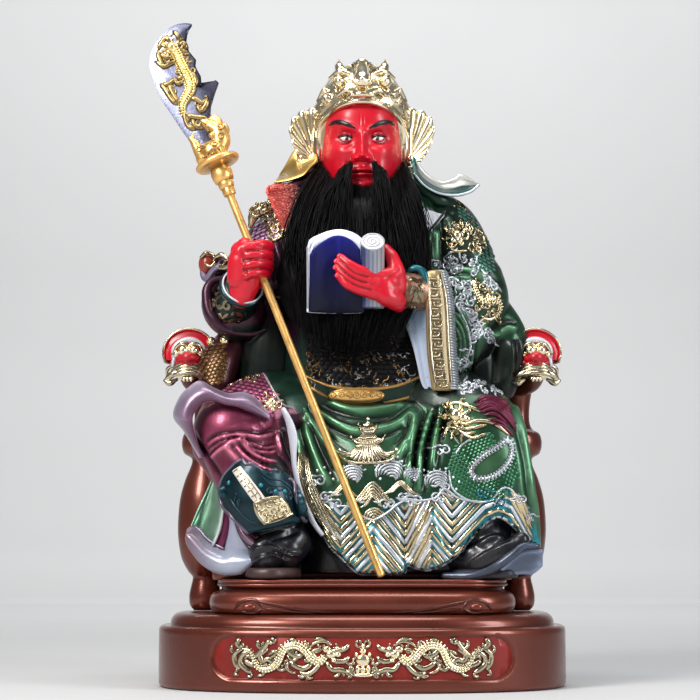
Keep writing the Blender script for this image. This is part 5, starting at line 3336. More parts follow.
    def cuff(self) -> list[tuple[Form | list[Form], Paint]]:
        """Makes the sleeve's wide ring, the bracer in it and the bracer's white edge.

        Returns:
            Forms, each with their finish.
        """
        ring_flat = [
            (-98, 212), (-106, 210), (-110, 204), (-110, 195), (-108, 187), (-103, 180), (-96, 175),
            (-86, 173), (-79, 172), (-74, 173), (-69, 175),
        ]
        ring = limb([(x, -22 - 1.0 * min(k, 10 - k), z) for k, (x, z) in enumerate(ring_flat)], [
            2.2, 3.6, 4.0, 3.2, 0.8,
        ], 16, 70)
        course = np.array([(-92.6, -10, 188), (-89, -28, 194.5), (-84, -44, 203)])
        bracer = limb(course, [16.5, 16, 14.2], 40, 24, ends=0.2)
        ahead = (course[2] - course[1]) / np.linalg.norm(course[2] - course[1])
        edge = self.hoop(course[2] + ahead * 1.5, ahead, 14.2, 0.75)
        teal = self.hoop(course[2] - ahead * 1.2, ahead, 14.2, 2.1)
        skin = Surface(bracer)
        motif = [
            [(-105, 201), (-103, 205), (-99, 203), (-97, 197), (-94, 194), (-90, 192)],
            [(-101, 206), (-97, 201), (-95, 197), (-91, 194)],
            [(-108, 192), (-105, 196), (-105, 190), (-107, 187)],
            [(-92, 183), (-89, 186), (-84, 183), (-81, 185)],
            [(-98, 197), (-102, 194), (-100, 189), (-96, 190)], [(-96, 180), (-91, 181), (-87, 179)],
            [(-102, 186), (-98, 183), (-94, 185)],
        ]
        motif += scroll_row([
            (-101, 200), (-94, 190), (-106, 192), (-87, 183), (-99, 180),
        ], 2.8, 1.2, 80, False)
        return [
            (ring.toned((0.07, 0.02, 0.045)), Paint.ENAMEL),
            (bracer.toned((0.003, 0.02, 0.018)), Paint.ENAMEL),
            (teal.toned((0.006, 0.06, 0.07)), Paint.ENAMEL),
            (edge, Paint.WHITE),
            (relief(skin, motif, 1.3, 1.5, 0.9), Paint.GOLD),
        ]

    @staticmethod
    def hoop(centre: np.ndarray, ahead: np.ndarray, reach: float, girth: float) -> Form:
        """Makes a round hoop about a direction.

        Args:
            centre: Where its centre is.
            ahead: The direction that it is round.
            reach: Its radius.
            girth: Half its thickness.

        Returns:
            A closed form.
        """
        side = np.cross(ahead, (0, 0, 1))
        side /= np.linalg.norm(side)
        over = np.cross(side, ahead)
        turn = np.linspace(0, TURN, 49)[:, None]
        return limb(centre + reach * (np.cos(turn) * side + np.sin(turn) * over), [girth], 12, 96)

    def fur(self) -> Form:
        """Makes the red cloth with a furry nap beside the beard.

        Returns:
            A closed form.
        """
        outline = [(-66, 275), (-57, 277), (-47, 276), (-42, 269), (-41, 253), (-44, 233), (-49, 224)]
        inner = [(-67, 275), (-64, 267), (-61, 259), (-58, 252), (-54, 244), (-51, 234), (-49, 224)]
        left, right = smooth_curve(inner, 40), smooth_curve(outline, 40)

        def surface(u: np.ndarray, v: np.ndarray) -> np.ndarray:
            """Finds the cloth's middle."""
            x, z = ruled(left, right, v, u)
            return np.stack([x, -22 - 9 * np.sin(u * math.pi * 0.6) - 6 * v, z], axis=-1)

        form = slab(surface, 4.0, 70, 90)
        rng = np.random.default_rng(SEED)
        nap = rng.normal(0, 0.28, len(form.points))
        shade = np.clip(1 - (form.points[:, 0] + 66) / 23, 0.06, 1)[:, None]
        tone = np.asarray((0.72, 0.11, 0.09)) * shade
        return Form(form.points + form.normals() * nap[:, None], form.quads, form.tris, tone)

    def build(self) -> None:
        """Builds the arm."""
        form, lifted = self.sculpted()
        inner = [(-79, 240), (-50, 243), (-44, 165), (-87, 165), (-71, 183), (-67, 204)]
        hung = [(-100, 176), (-44, 182), (-44, 133), (-100, 133)]
        patches = [Patch(inner, (0.02, 0.005, 0.012)), Patch(hung, (0.004, 0.008, 0.006))]
        skin = painted(form, lifted, DARK_PLUM, (0.05, 0.01, 0.024), (0.3, 0.12, 0.2), patches)
        surface = Surface(skin)
        piece = figure_piece("fist_arm")
        piece.add(skin, Paint.ENAMEL)
        piece.add(all_toned(self.mail(surface), (0.26, 0.15, 0.25)), Paint.ENAMEL)
        piece.add(self.leaves(surface), Paint.GOLD)
        piece.add_all(self.knob() + self.cuff())
        piece.add(self.fur(), Paint.FUR)
        piece.build(self.fit, 60)


# Arm that holds the book


@dataclass
class BookArm:
    """The arm at the viewer's right: armoured shoulder and a wide sleeve with a fretted band."""

    fit: Fit
    voxel: float = 1.15

    def masses(self) -> list[Form]:
        """Makes the overlapping forms of the arm and its sleeve.

        Returns:
            Closed forms.
        """
        return [
            limb([(38, 14, 262), (58, 9, 249), (72, 3, 224)], [24, 27, 26], 30, 20),
            limb([(77, 0, 214), (80, -8, 196), (64, -22, 194)], [25, 25, 18], 30, 20),
            limb([(84, -6, 196), (76, -14, 172), (62, -26, 150)], [22, 19, 11], 28, 18),
            limb([(60, -28, 198), (59, -32, 168), (56, -34, 138)], [15, 12, 7], 26, 18, 1.3),
            limb([(88, 0, 192), (104, -2, 168), (100, -6, 136)], [18, 16, 11], 24, 16),
            limb([(40, -6, 270), (42, -16, 246), (40, -22, 214)], [12, 14, 13], 24, 16),
            limb([(82, 8, 184), (84, 6, 150), (86, 8, 118)], [16, 22, 22], 24, 16),
        ]

    def strokes(self) -> list[Stroke]:
        """Makes the sleeve's folds: nests of arcs beside the band, and the cloth on the chest.

        Returns:
            The ridges and grooves.
        """
        strokes = []
        nest = np.radians([75, 50, 25, 0, -25, -50, -72])
        for r in (6 + 3.3 * k for k in range(6)):
            strokes.append(Stroke(ellipse_path(57, 162, r * 0.95, r * 1.35, nest), 1.3, 1.15, 0.9))
        fold = [(60, 203), (65, 198), (67, 191), (69, 182)]
        for k in range(3):
            strokes.append(Stroke([(x + 3.2 * k, z + 2.6 * k) for x, z in fold], 1.1, 1.1, 0.8))
        strokes += [
            Stroke([(60, 214), (71, 218), (83, 214), (92, 207), (97, 201)], 3.0, 3.0, 0.7),
            Stroke([(61, 208), (70, 212), (79, 210)], 1.6, 1.8, 0.5),
            Stroke([(48, 244), (47, 231), (48, 218)], 2.0, 2.2, 0.7),
            Stroke([(54, 247), (53, 234), (55, 221)], 2.2, 2.2, 0.7),
            Stroke([(60, 258), (64, 251), (63, 242)], 2.2, 3.0, 0.5),
            Stroke([(92, 170), (103, 177), (111, 176)], 3.0, 2.6, 0.7),
            Stroke([(106, 169), (107, 155), (104, 138)], 2.4, 2.6, 0.7),
        ]
        return strokes

    def scales(self, surface: Surface) -> list[Form]:
        """Makes the shoulder's scale armour.

        Args:
            surface: The skin that it lies on.

        Returns:
            Closed forms.
        """
        outer = [
            (67, 270), (75, 264), (84, 255), (91, 243), (95, 233), (96, 220), (88, 216), (78, 220),
            (81, 230), (88, 234), (82, 243), (75, 252), (68, 262),
        ]
        return scale_mail(surface, outer, 3.6, -30)

    def shoulder_dragon(self, surface: Surface) -> list[Form]:
        """Makes the gilded dragon on the shoulder.

        Args:
            surface: The skin that it lies on.

        Returns:
            Closed forms.
        """
        forms = dragon_face(surface, 68, 241, 8.0, 35)
        paths = flames(77, 241, 12, 11, -80, 170) + flames(72, 246, 9, 8, 30, 130) + flames(
            80, 235, 7, 7, -90, 150,
        )
        paths += [
            [(60, 239), (63, 233), (68, 231), (75, 232)], [(60, 243), (64, 247), (70, 249)],
            [(80, 250), (86, 246), (88, 238)],
        ]
        paths += [
            [(63, 272), (68, 269), (71, 265)], [(67, 271), (72, 268), (75, 263)], [(63, 268), (67, 265)],
        ]
        return forms + relief(surface, paths, 1.15, 1.3, 0.8)

    def sleeve_dragon(self, surface: Surface) -> list[Form]:
        """Makes the gilded dragon on the sleeve.

        Args:
            surface: The skin that it lies on.

        Returns:
            Closed forms.
        """
        course = [
            (79, 207), (81, 200), (84, 194), (89, 196), (95, 196), (98, 191), (95, 185), (90, 182),
            (84, 184),
        ]
        forms = serpent(surface, course, 2.5, 1.8)
        paths = flames(80, 207, 4.5, 7, 30, 200) + flames(90, 190, 6.5, 11, 0, 330)
        spots = [
            (85, 205), (91, 202), (95, 198), (88, 192), (92, 186), (86, 180), (81, 190), (97, 183),
            (83, 197),
        ]
        paths += scroll_row(spots, 2.7, 1.2, 70)
        paths += [
            [(86, 200), (90, 204), (93, 202)], [(93, 191), (96, 195), (100, 196)],
            [(82, 190), (79, 187), (80, 183)],
        ]
        return forms + relief(surface, paths, 1.0, 1.3, 0.7) + studs(surface, [(79, 208), (89, 198)], 2.2)

    def silver(self, surface: Surface) -> list[Form]:
        """Makes the silver cloud scrolls on shoulder and sleeve.

        Args:
            surface: The skin that it lies on.

        Returns:
            Closed forms.
        """
        paths: list[Path] = []
        spots = [
            (54, 222), (61, 226), (66, 224), (73, 225), (57, 219), (69, 219), (78, 222), (63, 208),
            (68, 204), (73, 200), (70, 196), (76, 193), (74, 187), (79, 185), (77, 180), (83, 178),
            (82, 172), (88, 170), (76, 158), (71, 145), (63, 141), (66, 217), (60, 222), (75, 207),
            (79, 215), (88, 211), (93, 205), (68, 190), (83, 172), (78, 167), (89, 174), (74, 151),
            (67, 149),
        ]
        for k, (x, z) in enumerate(spots):
            paths += cloud(x, z, 3.4 + 0.5 * (k % 3), 40 * k, 1 if k % 2 else -1)
        paths += [
            [(84, 219), (89, 213), (94, 207), (99, 202)],
            [(62, 195), (68, 187), (73, 177), (76, 163), (73, 151)],
        ]
        return relief(surface, paths, 0.9, 1.4, 0.75)

    def band(self) -> list[tuple[list[Form], Paint]]:
        """Makes the sleeve's mouth: fretted golden band, its ribbed edge and the pale lining.

        Returns:
            Forms, each list with its finish.
        """
        left = smooth_curve([
            (45.1, 211.5), (45.1, 198.8), (45.7, 184.8), (46.3, 158.2), (49.7, 131.0),
        ], 60)
        right = smooth_curve([
            (55.0, 213.2), (58.4, 199.1), (59.8, 185.0), (61.0, 158.4), (63.0, 131.2),
        ], 60)

        def face(u: np.ndarray, v: np.ndarray) -> np.ndarray:
            """Finds the band's middle.

            Args:
                u: Share across, from 0 to 1.
                v: Share down its length, from 0 to 1.

            Returns:
                xyz for each place.
            """
            x, z = ruled(left, right, v, u)
            y = -52 + 3.5 * u - 2.2 * np.sin(u * math.pi) + 5 * (v - 0.4) ** 2
            return np.stack([x, y, z], axis=-1)

        plate = slab(face, 4.6, 16, 90)
        surface = Surface(plate)
        frets: list[Path] = []
        for k in range(11):
            z = left[0, 1] - 7 - k * 7.0
            x = float(np.interp(-z, -left[:, 1], left[:, 0])) + 5.6
            way = 1 if k % 2 else -1
            frets += [
                [(x - 3.4, z + 2.6), (x + 3.4, z + 2.6)],
                [
                    (x - 3.4 * way, z + 2.6), (x - 3.4 * way, z - 2.2), (x + 1.2 * way, z - 2.2),
                    (x + 1.2 * way, z + 0.4),
                ],
                [(x + 3.4 * way, z + 1.0), (x + 3.4 * way, z - 3.4)],
                [(x - 1.2 * way, z + 0.6), (x - 1.2 * way, z - 0.4)],
            ]
        rails = [[(x + 1.2, z) for x, z in left[2:-2:6]], [(x - 1.4, z) for x, z in right[2:-2:6]]]
        ribs = []
        for x, z in smooth_curve(right, 44):
            ribs.append(limb([(x - 1.2, -50.5, z), (x + 1.8, -49.5, z), (x + 4.6, -44, z - 0.4)], [
                0.95, 1.05, 0.8,
            ], 8, 5))
        lining_left = smooth_curve([
            (28.5, 185.7), (31.3, 178.0), (34.1, 169.5), (36.9, 160.4), (38.9, 152.0), (41.0, 142.1),
            (43.1, 133.7), (47.9, 129.5),
        ], 60)

        def lining(u: np.ndarray, v: np.ndarray) -> np.ndarray:
            """Finds the lining's middle."""
            x, z = ruled(lining_left, left + (1.5, 0), v, u)
            return np.stack([x, -40 - 8 * u + 3.5 * np.sin(u * math.pi), z], axis=-1)

        sheet = slab(lining, 2.4, 24, 70)
        share = np.clip((sheet.points[:, [2]] - 135) / 75, 0, 1) ** 2
        tone = grade(share, (0.5, 0.56, 0.7), (0.03, 0.22, 0.38))
        sheet = sheet.recoloured(tone)
        brim = limb([(x, -38, z) for x, z in lining_left[::6]], [1.2], 10, 50)
        mouth = [(30.5, 210.3), (33.3, 213.9), (37.5, 215.3), (41.7, 213.2), (43.8, 208.2), (44.5, 201.9)]
        arch = limb(
            [(x, -50 - 0.7 * k, z) for k, (x, z) in enumerate(mouth)], [1.6, 2.6, 2.8, 2.2], 14, 50,
        )
        inner = limb([(x - 0.8, -48, z - 3.4) for x, z in mouth[:-1]], [1.4, 2.2, 1.6], 12, 30)
        return [
            ([plate.toned((0.2, 0.145, 0.07))], Paint.ENAMEL),
            (
                relief(surface, frets, 0.78, 1.4, 0.9, taper=False) + relief(
                    surface, rails, 1.15, 1.3, taper=False,
                ),
                Paint.PALE_GOLD,
            ),
            (ribs, Paint.SILVER), ([sheet, brim], Paint.WHITE),
            ([arch.toned((0.012, 0.16, 0.2))], Paint.ENAMEL),
            ([inner.toned((0.35, 0.45, 0.5))], Paint.WHITE),
        ]

    def bracer(self) -> list[tuple[list[Form], Paint]]:
        """Makes the brocade bracer between the sleeve and the wrist.

        Returns:
            Forms, each list with its finish.
        """
        form = limb(
            [(50, -38, 199.5), (40, -44, 199.5), (27, -50, 200.5)], [13.5, 13.3, 12.4], 36, 20, ends=0.3,
        )
        skin = Surface(form)
        rings = [[(x, z) for z in np.linspace(188, 211, 9)] for x in (27.5, 41.5)]
        motif = [
            [(33, 196), (36, 201), (39, 197), (42, 193)], [(34, 190), (37, 193), (41, 189)],
            [(32, 205), (35, 207), (38, 205), (41, 207)],
        ]
        motif += [
            [(32, 187), (36, 188), (39, 185)], [(35, 199), (37, 195), (35, 192)],
            [(39, 203), (42, 200), (40, 196)],
        ]
        return [
            ([form.toned((0.3, 0.14, 0.09))], Paint.ENAMEL),
            (relief(skin, rings, 1.0, 1.0, 0.9) + relief(skin, motif, 1.5, 1.0, 0.9), Paint.GOLD),
        ]

    def build(self) -> None:
        """Builds the arm."""
        form, lifted = sculpt(fuse(self.masses(), self.voxel, 3), self.strokes())
        shoulder = [
            (56, 273), (78, 273), (99, 241), (100, 219), (92, 214), (77, 219), (62, 218), (54, 225),
            (57, 241),
        ]
        triangle = [(43, 262), (59, 258), (53, 250), (46, 242)]
        dark = [(87, 166), (98, 169), (120, 170), (120, 126), (70, 126), (74, 142), (81, 153)]
        patches = [
            Patch(shoulder, (0.012, 0.025, 0.016)), Patch(triangle, (0.5, 0.52, 0.55)),
            Patch(dark, (0.002, 0.006, 0.004)),
        ]
        skin = painted(form, lifted, DEEP_GREEN, GREEN, LIGHT_GREEN, patches)
        surface = Surface(skin)
        piece = figure_piece("book_arm")
        piece.add(skin, Paint.ENAMEL)
        piece.add(all_toned(self.scales(surface), (0.03, 0.08, 0.06)), Paint.ENAMEL)
        piece.add(self.shoulder_dragon(surface) + self.sleeve_dragon(surface), Paint.GOLD)
        piece.add(self.silver(surface), Paint.SILVER)
        flap = veneer(
            surface, [(45.3, 260.3), (45.9, 252.4), (45.9, 243.9)],
            [(58.7, 258.2), (53.0, 251.0), (46.6, 243.1)], 2.5, 1.6, 12, 20,
        )
        piece.add(flap.toned((0.62, 0.64, 0.68)), Paint.WHITE)
        piece.add(limb([
            (x, flap.points[:, 1].min() + 0.3, z)
            for x, z in [(58.7, 258.2), (53.0, 251.0), (46.6, 243.1)]
        ], [0.9], 10, 20), Paint.BLACK)
        piece.add_all(self.band() + self.bracer())
        piece.build(self.fit, 60)


# Legs


@dataclass
class Knee:
    """The raised leg at the viewer's left: armoured thigh, flared cuff and gathered trouser leg."""

    fit: Fit
    voxel: float = 1.2

    def masses(self) -> list[Form]:
        """Makes the overlapping forms of the thigh, the knee and the trouser leg.

        Returns:
            Closed forms.
        """
        return [
            limb([(-34, 8, 112), (-58, -14, 116), (-84, -34, 108)], [22, 31, 29], 30, 20),
            ball((-91, -40, 102), (27, 26, 25.5), sides=36, rows=24),
            limb([(-88, -40, 98), (-80, -44, 76), (-76, -44, 58)], [27, 26, 23], 30, 20),
            limb([(-62, -30, 108), (-58, -38, 84), (-54, -40, 60)], [17, 16, 12], 26, 18),
            limb([(-101, -30, 112), (-104, -30, 94), (-98, -32, 76)], [15, 16, 12], 26, 18),
        ]

    def strokes(self) -> list[Stroke]:
        """Makes the gathers below the knee.

        Returns:
            The ridges and grooves.
        """
        return [
            Stroke([(-107, 91), (-101, 95), (-94, 97), (-82, 98), (-70, 97), (-59, 101)], 2.2, 1.7, 0.7),
            Stroke([(-106, 87), (-100, 91), (-92, 94), (-83, 95)], 1.7, 1.3, 0.7),
            Stroke([(-105, 82), (-98, 88), (-89, 93), (-82, 95)], 2.2, 1.7, 0.7),
            Stroke([(-82, 95), (-73, 91), (-66, 89), (-59, 91)], 1.8, 1.3, 0.7),
            Stroke([(-82, 95), (-74, 88), (-65, 86), (-59, 88)], 1.8, 1.2, 0.8),
            Stroke([(-83, 93), (-75, 85), (-66, 81), (-58, 80)], 2.2, 1.6, 0.7),
            Stroke([(-88, 92), (-80, 83), (-69, 76), (-55, 72)], 2.4, 1.7, 0.7),
            Stroke([(-94, 91), (-88, 84), (-84, 80)], 2.0, 2.4, 0.5),
            Stroke([(-59, 101), (-56, 90), (-52, 80), (-48, 68)], 2.2, 2.0, 0.7),
            Stroke([(-117, 102), (-112, 91), (-105, 81), (-99, 72), (-96, 62)], -1.8, 1.6, 0),
        ]

    def rim(self) -> Form:
        """Makes the flared lilac cuff over the knee.

        Returns:
            A closed form.
        """
        seam = [
            (-109.6, 84.1), (-114.5, 93.7), (-117.3, 107.5), (-115.3, 115.0), (-109.9, 120.6),
            (-101.6, 121.9), (-93.3, 119.2), (-85.7, 117.8), (-78.8, 115.0), (-70.6, 110.9),
            (-64.4, 108.8),
        ]
        edge = [
            (-112.7, 84.0), (-122.5, 101.4), (-129.6, 111.8), (-125.5, 124.3), (-117.2, 132.7),
            (-111.6, 134.8), (-103.9, 130.6), (-93.5, 126.4), (-82.4, 127.1), (-74.0, 123.0),
            (-64.9, 113.2),
        ]
        low, high = smooth_curve(seam, 101), smooth_curve(edge, 101)

        def surface(u: np.ndarray, v: np.ndarray) -> np.ndarray:
            """Finds the cuff's middle.

            Args:
                u: Share across, from 0 to 1.
                v: Share down its length, from 0 to 1.

            Returns:
                xyz for each place.
            """
            x, z = ruled(low, high, u, v)
            side = np.clip(1 - u / 0.28, 0, 1)
            inner = -66 + 14 * side + 8 * np.clip((u - 0.75) / 0.25, 0, 1)
            outer = -56 + 14 * side
            y = inner * (1 - v) + outer * v - 5.5 * np.sin(v * math.pi) * (1 - 0.3 * side)
            return np.stack([x, y, z], axis=-1)

        form = slab(surface, 2.6, 110, 18)
        share = sheet_shares(form, 110, 18, rim=1.0)
        tone = grade(share, (0.09, 0.02, 0.05), (0.33, 0.28, 0.38))
        return form.recoloured(tone)

    def mail(self, surface: Surface) -> list[tuple[list[Form], Paint]]:
        """Makes the scales on the thigh, their gilded edge and beast.

        Args:
            surface: The skin that it lies on.

        Returns:
            Forms, each list with its finish.
        """
        area = [
            (-110, 143), (-95, 147), (-81, 147), (-70, 145), (-64, 137), (-59, 128), (-56, 120),
            (-62, 113), (-68, 119), (-75, 126), (-82, 129), (-94, 129), (-105, 133),
        ]
        edge = [(-73, 149), (-67, 139), (-61, 128), (-55, 120), (-49, 118), (-46, 114)]
        forms = dragon_face(surface, -63, 120, 6.4, 10)
        spots = [
            (-94, 141), (-89, 143), (-84, 145), (-79, 145), (-74, 143), (-92, 137), (-86, 139),
            (-81, 140), (-75, 139), (-97, 135),
        ]
        scallops = scroll_row(spots, 3.2, 1.1, 40)
        return [
            (all_toned(scale_mail(surface, area, 4.0, -12), (0.17, 0.045, 0.085)), Paint.ENAMEL),
            (forms + relief(surface, scallops, 1.0, 1.4, 0.7), Paint.GOLD),
            (all_toned(relief(surface, [edge], 0.9, 1.2), (0.5, 0.45, 0.5)), Paint.WHITE),
        ]

    def tasset(self) -> list[tuple[Form | list[Form], Paint]]:
        """Makes the gilded scale skirt at the hip and its two beads.

        Returns:
            Forms, each with their finish.
        """
        form = fuse([limb([(-94, -2, 166), (-102, -8, 152), (-104, -12, 136)], [13, 15, 13], 24, 16)], 1.6, 2)
        surface = Surface(form)
        area = [
            (-116, 164), (-108, 167), (-98, 167), (-95, 159), (-96, 150), (-99, 138), (-109, 137),
            (-115, 141),
        ]
        beads = studs(surface, [(-108, 168), (-98, 168)], 3.6, 1.0)
        return [
            (form.toned((0.05, 0.01, 0.015)), Paint.ENAMEL),
            (all_toned(scale_mail(surface, area, 4.0, 10), (0.06, 0.03, 0.009)), Paint.ENAMEL),
            (beads, Paint.GOLD),
        ]

    def strip(self) -> Form:
        """Makes the white facing between the trouser leg and the robe.

        Returns:
            A closed form.
        """
        left = [
            (-55.6, 116.8), (-52.1, 106.4), (-50.0, 95.4), (-48.6, 84.3), (-47.2, 73.3), (-42.3, 55.4),
            (-34.7, 38.3), (-27.9, 29.3),
        ]
        right = [
            (-53.6, 116.8), (-48.0, 106.4), (-45.2, 95.4), (-45.9, 84.3), (-45.1, 73.3), (-40.3, 55.4),
            (-32.7, 38.9), (-26.5, 30.0),
        ]
        return between(left, right, (-57, -60), -1.2, 2.0, 8, 60).toned((0.55, 0.57, 0.64))

    def build(self) -> None:
        """Builds the leg."""
        form, lifted = sculpt(fuse(self.masses(), self.voxel, 3), self.strokes())
        shade = [(-58, 114), (-43, 114), (-39, 40), (-48, 54), (-54, 74), (-57, 95)]
        inner = [(-110, 152), (-70, 152), (-51, 121), (-64, 113), (-77, 125), (-94, 128), (-110, 132)]
        cloth = [(-73, 158), (-67, 139), (-61, 128), (-55, 119), (-46, 116), (-30, 103), (-16, 158)]
        patches = [
            Patch(shade, DARK_PLUM), Patch(inner, (0.06, 0.01, 0.025)),
            Patch(cloth, (0.006, 0.028, 0.016)),
        ]
        skin = painted(
            form, lifted, (0.05, 0.004, 0.018), (0.16, 0.024, 0.056), (0.42, 0.12, 0.18), patches,
        )
        surface = Surface(skin)
        piece = figure_piece("knee")
        piece.add(skin, Paint.ENAMEL)
        piece.add(self.rim(), Paint.ENAMEL)
        piece.add_all(self.mail(surface) + self.tasset())
        piece.add(self.strip(), Paint.WHITE)
        piece.build(self.fit, 60)


@dataclass
class Boots:
    """The two black boots: one with an ornamented cuff, one with an upturned toe."""

    fit: Fit
    voxel: float = 1.1

    def shaft(self) -> Form:
        """Makes the ornamented boot's shaft and foot at the viewer's left.

        Returns:
            A closed form.
        """
        masses = [
            limb([(-72, -42, 70), (-69, -45, 52), (-60, -44, 34)], [25, 25.5, 21], 32, 22),
            limb([(-52, -38, 28), (-58, -54, 22), (-66, -64, 17)], [20, 16, 12], 28, 18),
            limb([(-48, -50, 26), (-52, -58, 18)], [14, 12], 24, 10),
        ]
        strokes = [
            Stroke([(-77, 35), (-69, 33), (-60, 35), (-50, 37), (-41, 41)], 1.6, 1.6, 0.9),
            Stroke([(-77, 16), (-72, 20), (-66, 22), (-59, 21), (-52, 17), (-42, 16)], 1.8, 1.4, 0.9),
            Stroke([(-75, 11), (-68, 15), (-60, 16), (-51, 12)], 1.4, 1.3, 0.9),
            Stroke([(-64, 26), (-53, 29), (-43, 33)], -1.4, 1.8, 0),
        ]
        form, lifted = sculpt(fuse(masses, self.voxel, 3), strokes)
        teal = [(-101, 81), (-43, 81), (-35, 40), (-50, 37), (-69, 33), (-80, 37), (-89, 46), (-99, 54)]
        return painted(
            form, lifted, INK, (0.012, 0.012, 0.018), (0.04, 0.035, 0.045),
            [Patch(teal, (0.008, 0.04, 0.06))],
        )

    def cuff(self) -> list[tuple[Form | list[Form], Paint]]:
        """Makes the shaft's lilac rim, the white bar and the gilded band.

        Returns:
            Forms, each with their finish.
        """
        shaft = self.shaft()
        plate = veneer(
            Surface(shaft),
            [
                (-82.1, 79.9), (-88.3, 75.8), (-93.7, 69.0), (-96.4, 59.4), (-93.6, 50.5), (-87.4, 42.3),
                (-77.1, 32.7),
            ],
            [
                (-76.6, 77.2), (-64.9, 71.0), (-55.3, 71.0), (-48.4, 65.5), (-42.9, 56.6), (-40.1, 48.4),
                (-40.8, 40.9),
            ],
            7.5, 6.0, 30, 40,
        )
        face = plate.points[41 * 31 : 2 * 41 * 31].reshape(41, 31, 3)
        course = np.concatenate([face[::-1, 0], face[0, 1:], face[1:, -1]])
        rim = limb(np.concatenate([course[::9], course[-1:]]), [1.3], 12, 150)
        surface = Surface(join([shaft, plate]))
        bar = veneer(
            surface, [(-88.1, 73.0), (-80.5, 62.1), (-72.3, 51.1)],
            [(-83.4, 75.7), (-75.1, 65.5), (-66.1, 53.8)], 1.2, 2.2, 8, 24,
        )
        bar_lines = [[(-87, 74), (-78, 63), (-70, 52)], [(-85, 75), (-76, 65), (-67, 53)]]
        x, z = -86, 74
        for k in range(7):
            bar_lines.append([
                (x - 2.2 + 2.6 * k, z - 2.0 - 3.4 * k), (x + 1.8 + 2.6 * k, z + 1.2 - 3.4 * k),
            ])
        band = veneer(
            surface, [(-72.9, 51.1), (-70.8, 44.3), (-66.0, 37.4)],
            [(-55.8, 55.2), (-51.0, 49.7), (-48.2, 43.6)], 1.0, 2.4, 20, 14,
        )
        band_skin = Surface(join([band, bar]))
        spots = [
            (-69, 48), (-63, 50), (-58, 52), (-54, 48), (-66, 44), (-60, 45), (-56, 44), (-63, 40),
            (-52, 45),
        ]
        swirls = scroll_row(spots, 2.6, 1.2, 50)
        edges = [
            [(-73, 51), (-71, 44), (-66, 37)], [(-67, 37), (-57, 40), (-48, 44)],
            [(-73, 51), (-65, 54), (-56, 55)],
        ]
        gems = studs(surface, [(-59, 59), (-69, 63), (-53, 59), (-91, 65)], 1.7)
        waves = [
            [(-71, 74), (-63, 68), (-54, 66), (-46, 58), (-42, 50)],
            [(-69, 70), (-61, 63), (-52, 62), (-45, 52)], [(-90, 54), (-84, 46), (-76, 39), (-69, 37)],
        ]
        waves += cloud(-63, 59, 3.6) + cloud(-50, 55, 3.2, 40) + cloud(-85, 50, 3.2, 90)
        return [
            (plate.toned((0.003, 0.02, 0.028)), Paint.ENAMEL),
            (rim.toned((0.25, 0.2, 0.28)), Paint.ENAMEL),
            (all_toned(relief(surface, waves, 0.7, 1.2), (0.03, 0.11, 0.15)), Paint.ENAMEL),
            (bar.toned((0.75, 0.68, 0.6)), Paint.WHITE),
            (relief(band_skin, bar_lines, 0.5, 1.2, 0.8), Paint.PALE_GOLD), (band, Paint.GOLD),
            (
                relief(band_skin, swirls, 0.75, 1.4, 0.7) + relief(
                    band_skin, edges, 1.2, 1.2, taper=False,
                ),
                Paint.PALE_GOLD,
            ),
            (all_toned(gems, (0.01, 0.1, 0.13)), Paint.ENAMEL),
        ]

    def soles(self) -> list[Form]:
        """Makes both boots' soles.

        Returns:
            The two soles, the viewer's left one first.
        """
        left = [
            (-46, -40), (-42, -56), (-50, -70), (-62, -77), (-76, -72), (-80, -60), (-74, -42),
            (-60, -34),
        ]
        right = [(62, -34), (58, -52), (70, -64), (86, -72), (100, -74), (106, -64), (98, -44), (82, -32)]
        forms = []
        for outline, top in ((left, 7.5), (right, 6.5)):
            ring = smooth_curve(outline + outline[:1], 70)[:-1]
            middle = ring.mean(0)
            rows = []
            far = np.linalg.norm(ring - middle, axis=1, keepdims=True)
            for z, inset in ((0.3, 1.5), (1.2, 0.2), (3.0, 0.0), (top - 1.5, 0.4), (top, 1.8)):
                rows.append(level(middle + (ring - middle) * ((far - inset) / far), z))
            rows = rows[::-1] if np.cross(ring[1] - ring[0], ring[2] - ring[1]) < 0 else rows
            forms.append(grid(np.array(rows), around=True, caps=True))
        return forms

    def foot(self) -> Form:
        """Makes the boot at the viewer's right, with its toe turned up.

        Returns:
            A closed form.
        """
        masses = [
            limb([(84, -34, 40), (86, -44, 26), (90, -56, 17)], [21, 19, 14], 28, 18),
            limb([(64, -46, 12), (84, -58, 12), (98, -66, 18), (108, -68, 26)], [9, 12, 10, 6], 24, 20),
            limb([(60, -38, 14), (76, -48, 12)], [10, 12], 22, 10),
        ]
        strokes = [
            Stroke([(79, 31), (86, 39), (93, 42), (101, 38), (107, 33)], 2.2, 1.8, 0.7),
            Stroke([(68, 16), (79, 23), (88, 28), (98, 28)], 1.6, 1.8, 0.6),
            Stroke([(72, 9), (82, 16), (92, 21), (102, 25)], 1.4, 1.5, 0.6),
        ]
        form, lifted = sculpt(fuse(masses, self.voxel, 3), strokes)
        return painted(form, lifted, INK, (0.012, 0.012, 0.018), (0.05, 0.045, 0.06))

    def toe(self) -> list[Form]:
        """Makes the turned-up sole of that boot.

        Returns:
            Closed forms.
        """
        path = [(56, 2), (73, 2), (85, 5), (93, 10), (101, 16), (109, 22), (118, 22)]
        line = at_depths(path, [-60, -66, -72, -76, -77, -76, -74])
        upper = [(93.2, 6.9), (100.8, 13.7), (108.9, 18.4), (121.2, 19.1)]
        lower = [(101.4, 3.5), (108.2, 4.2), (114.9, 4.2), (121.1, 8.9)]
        return [
            limb(line, [2.2, 3.0, 3.2, 3.0, 2.2], 14, 50),
            between(upper, lower, (-74, -70), 1.5, 3.4, 10, 24),
        ]

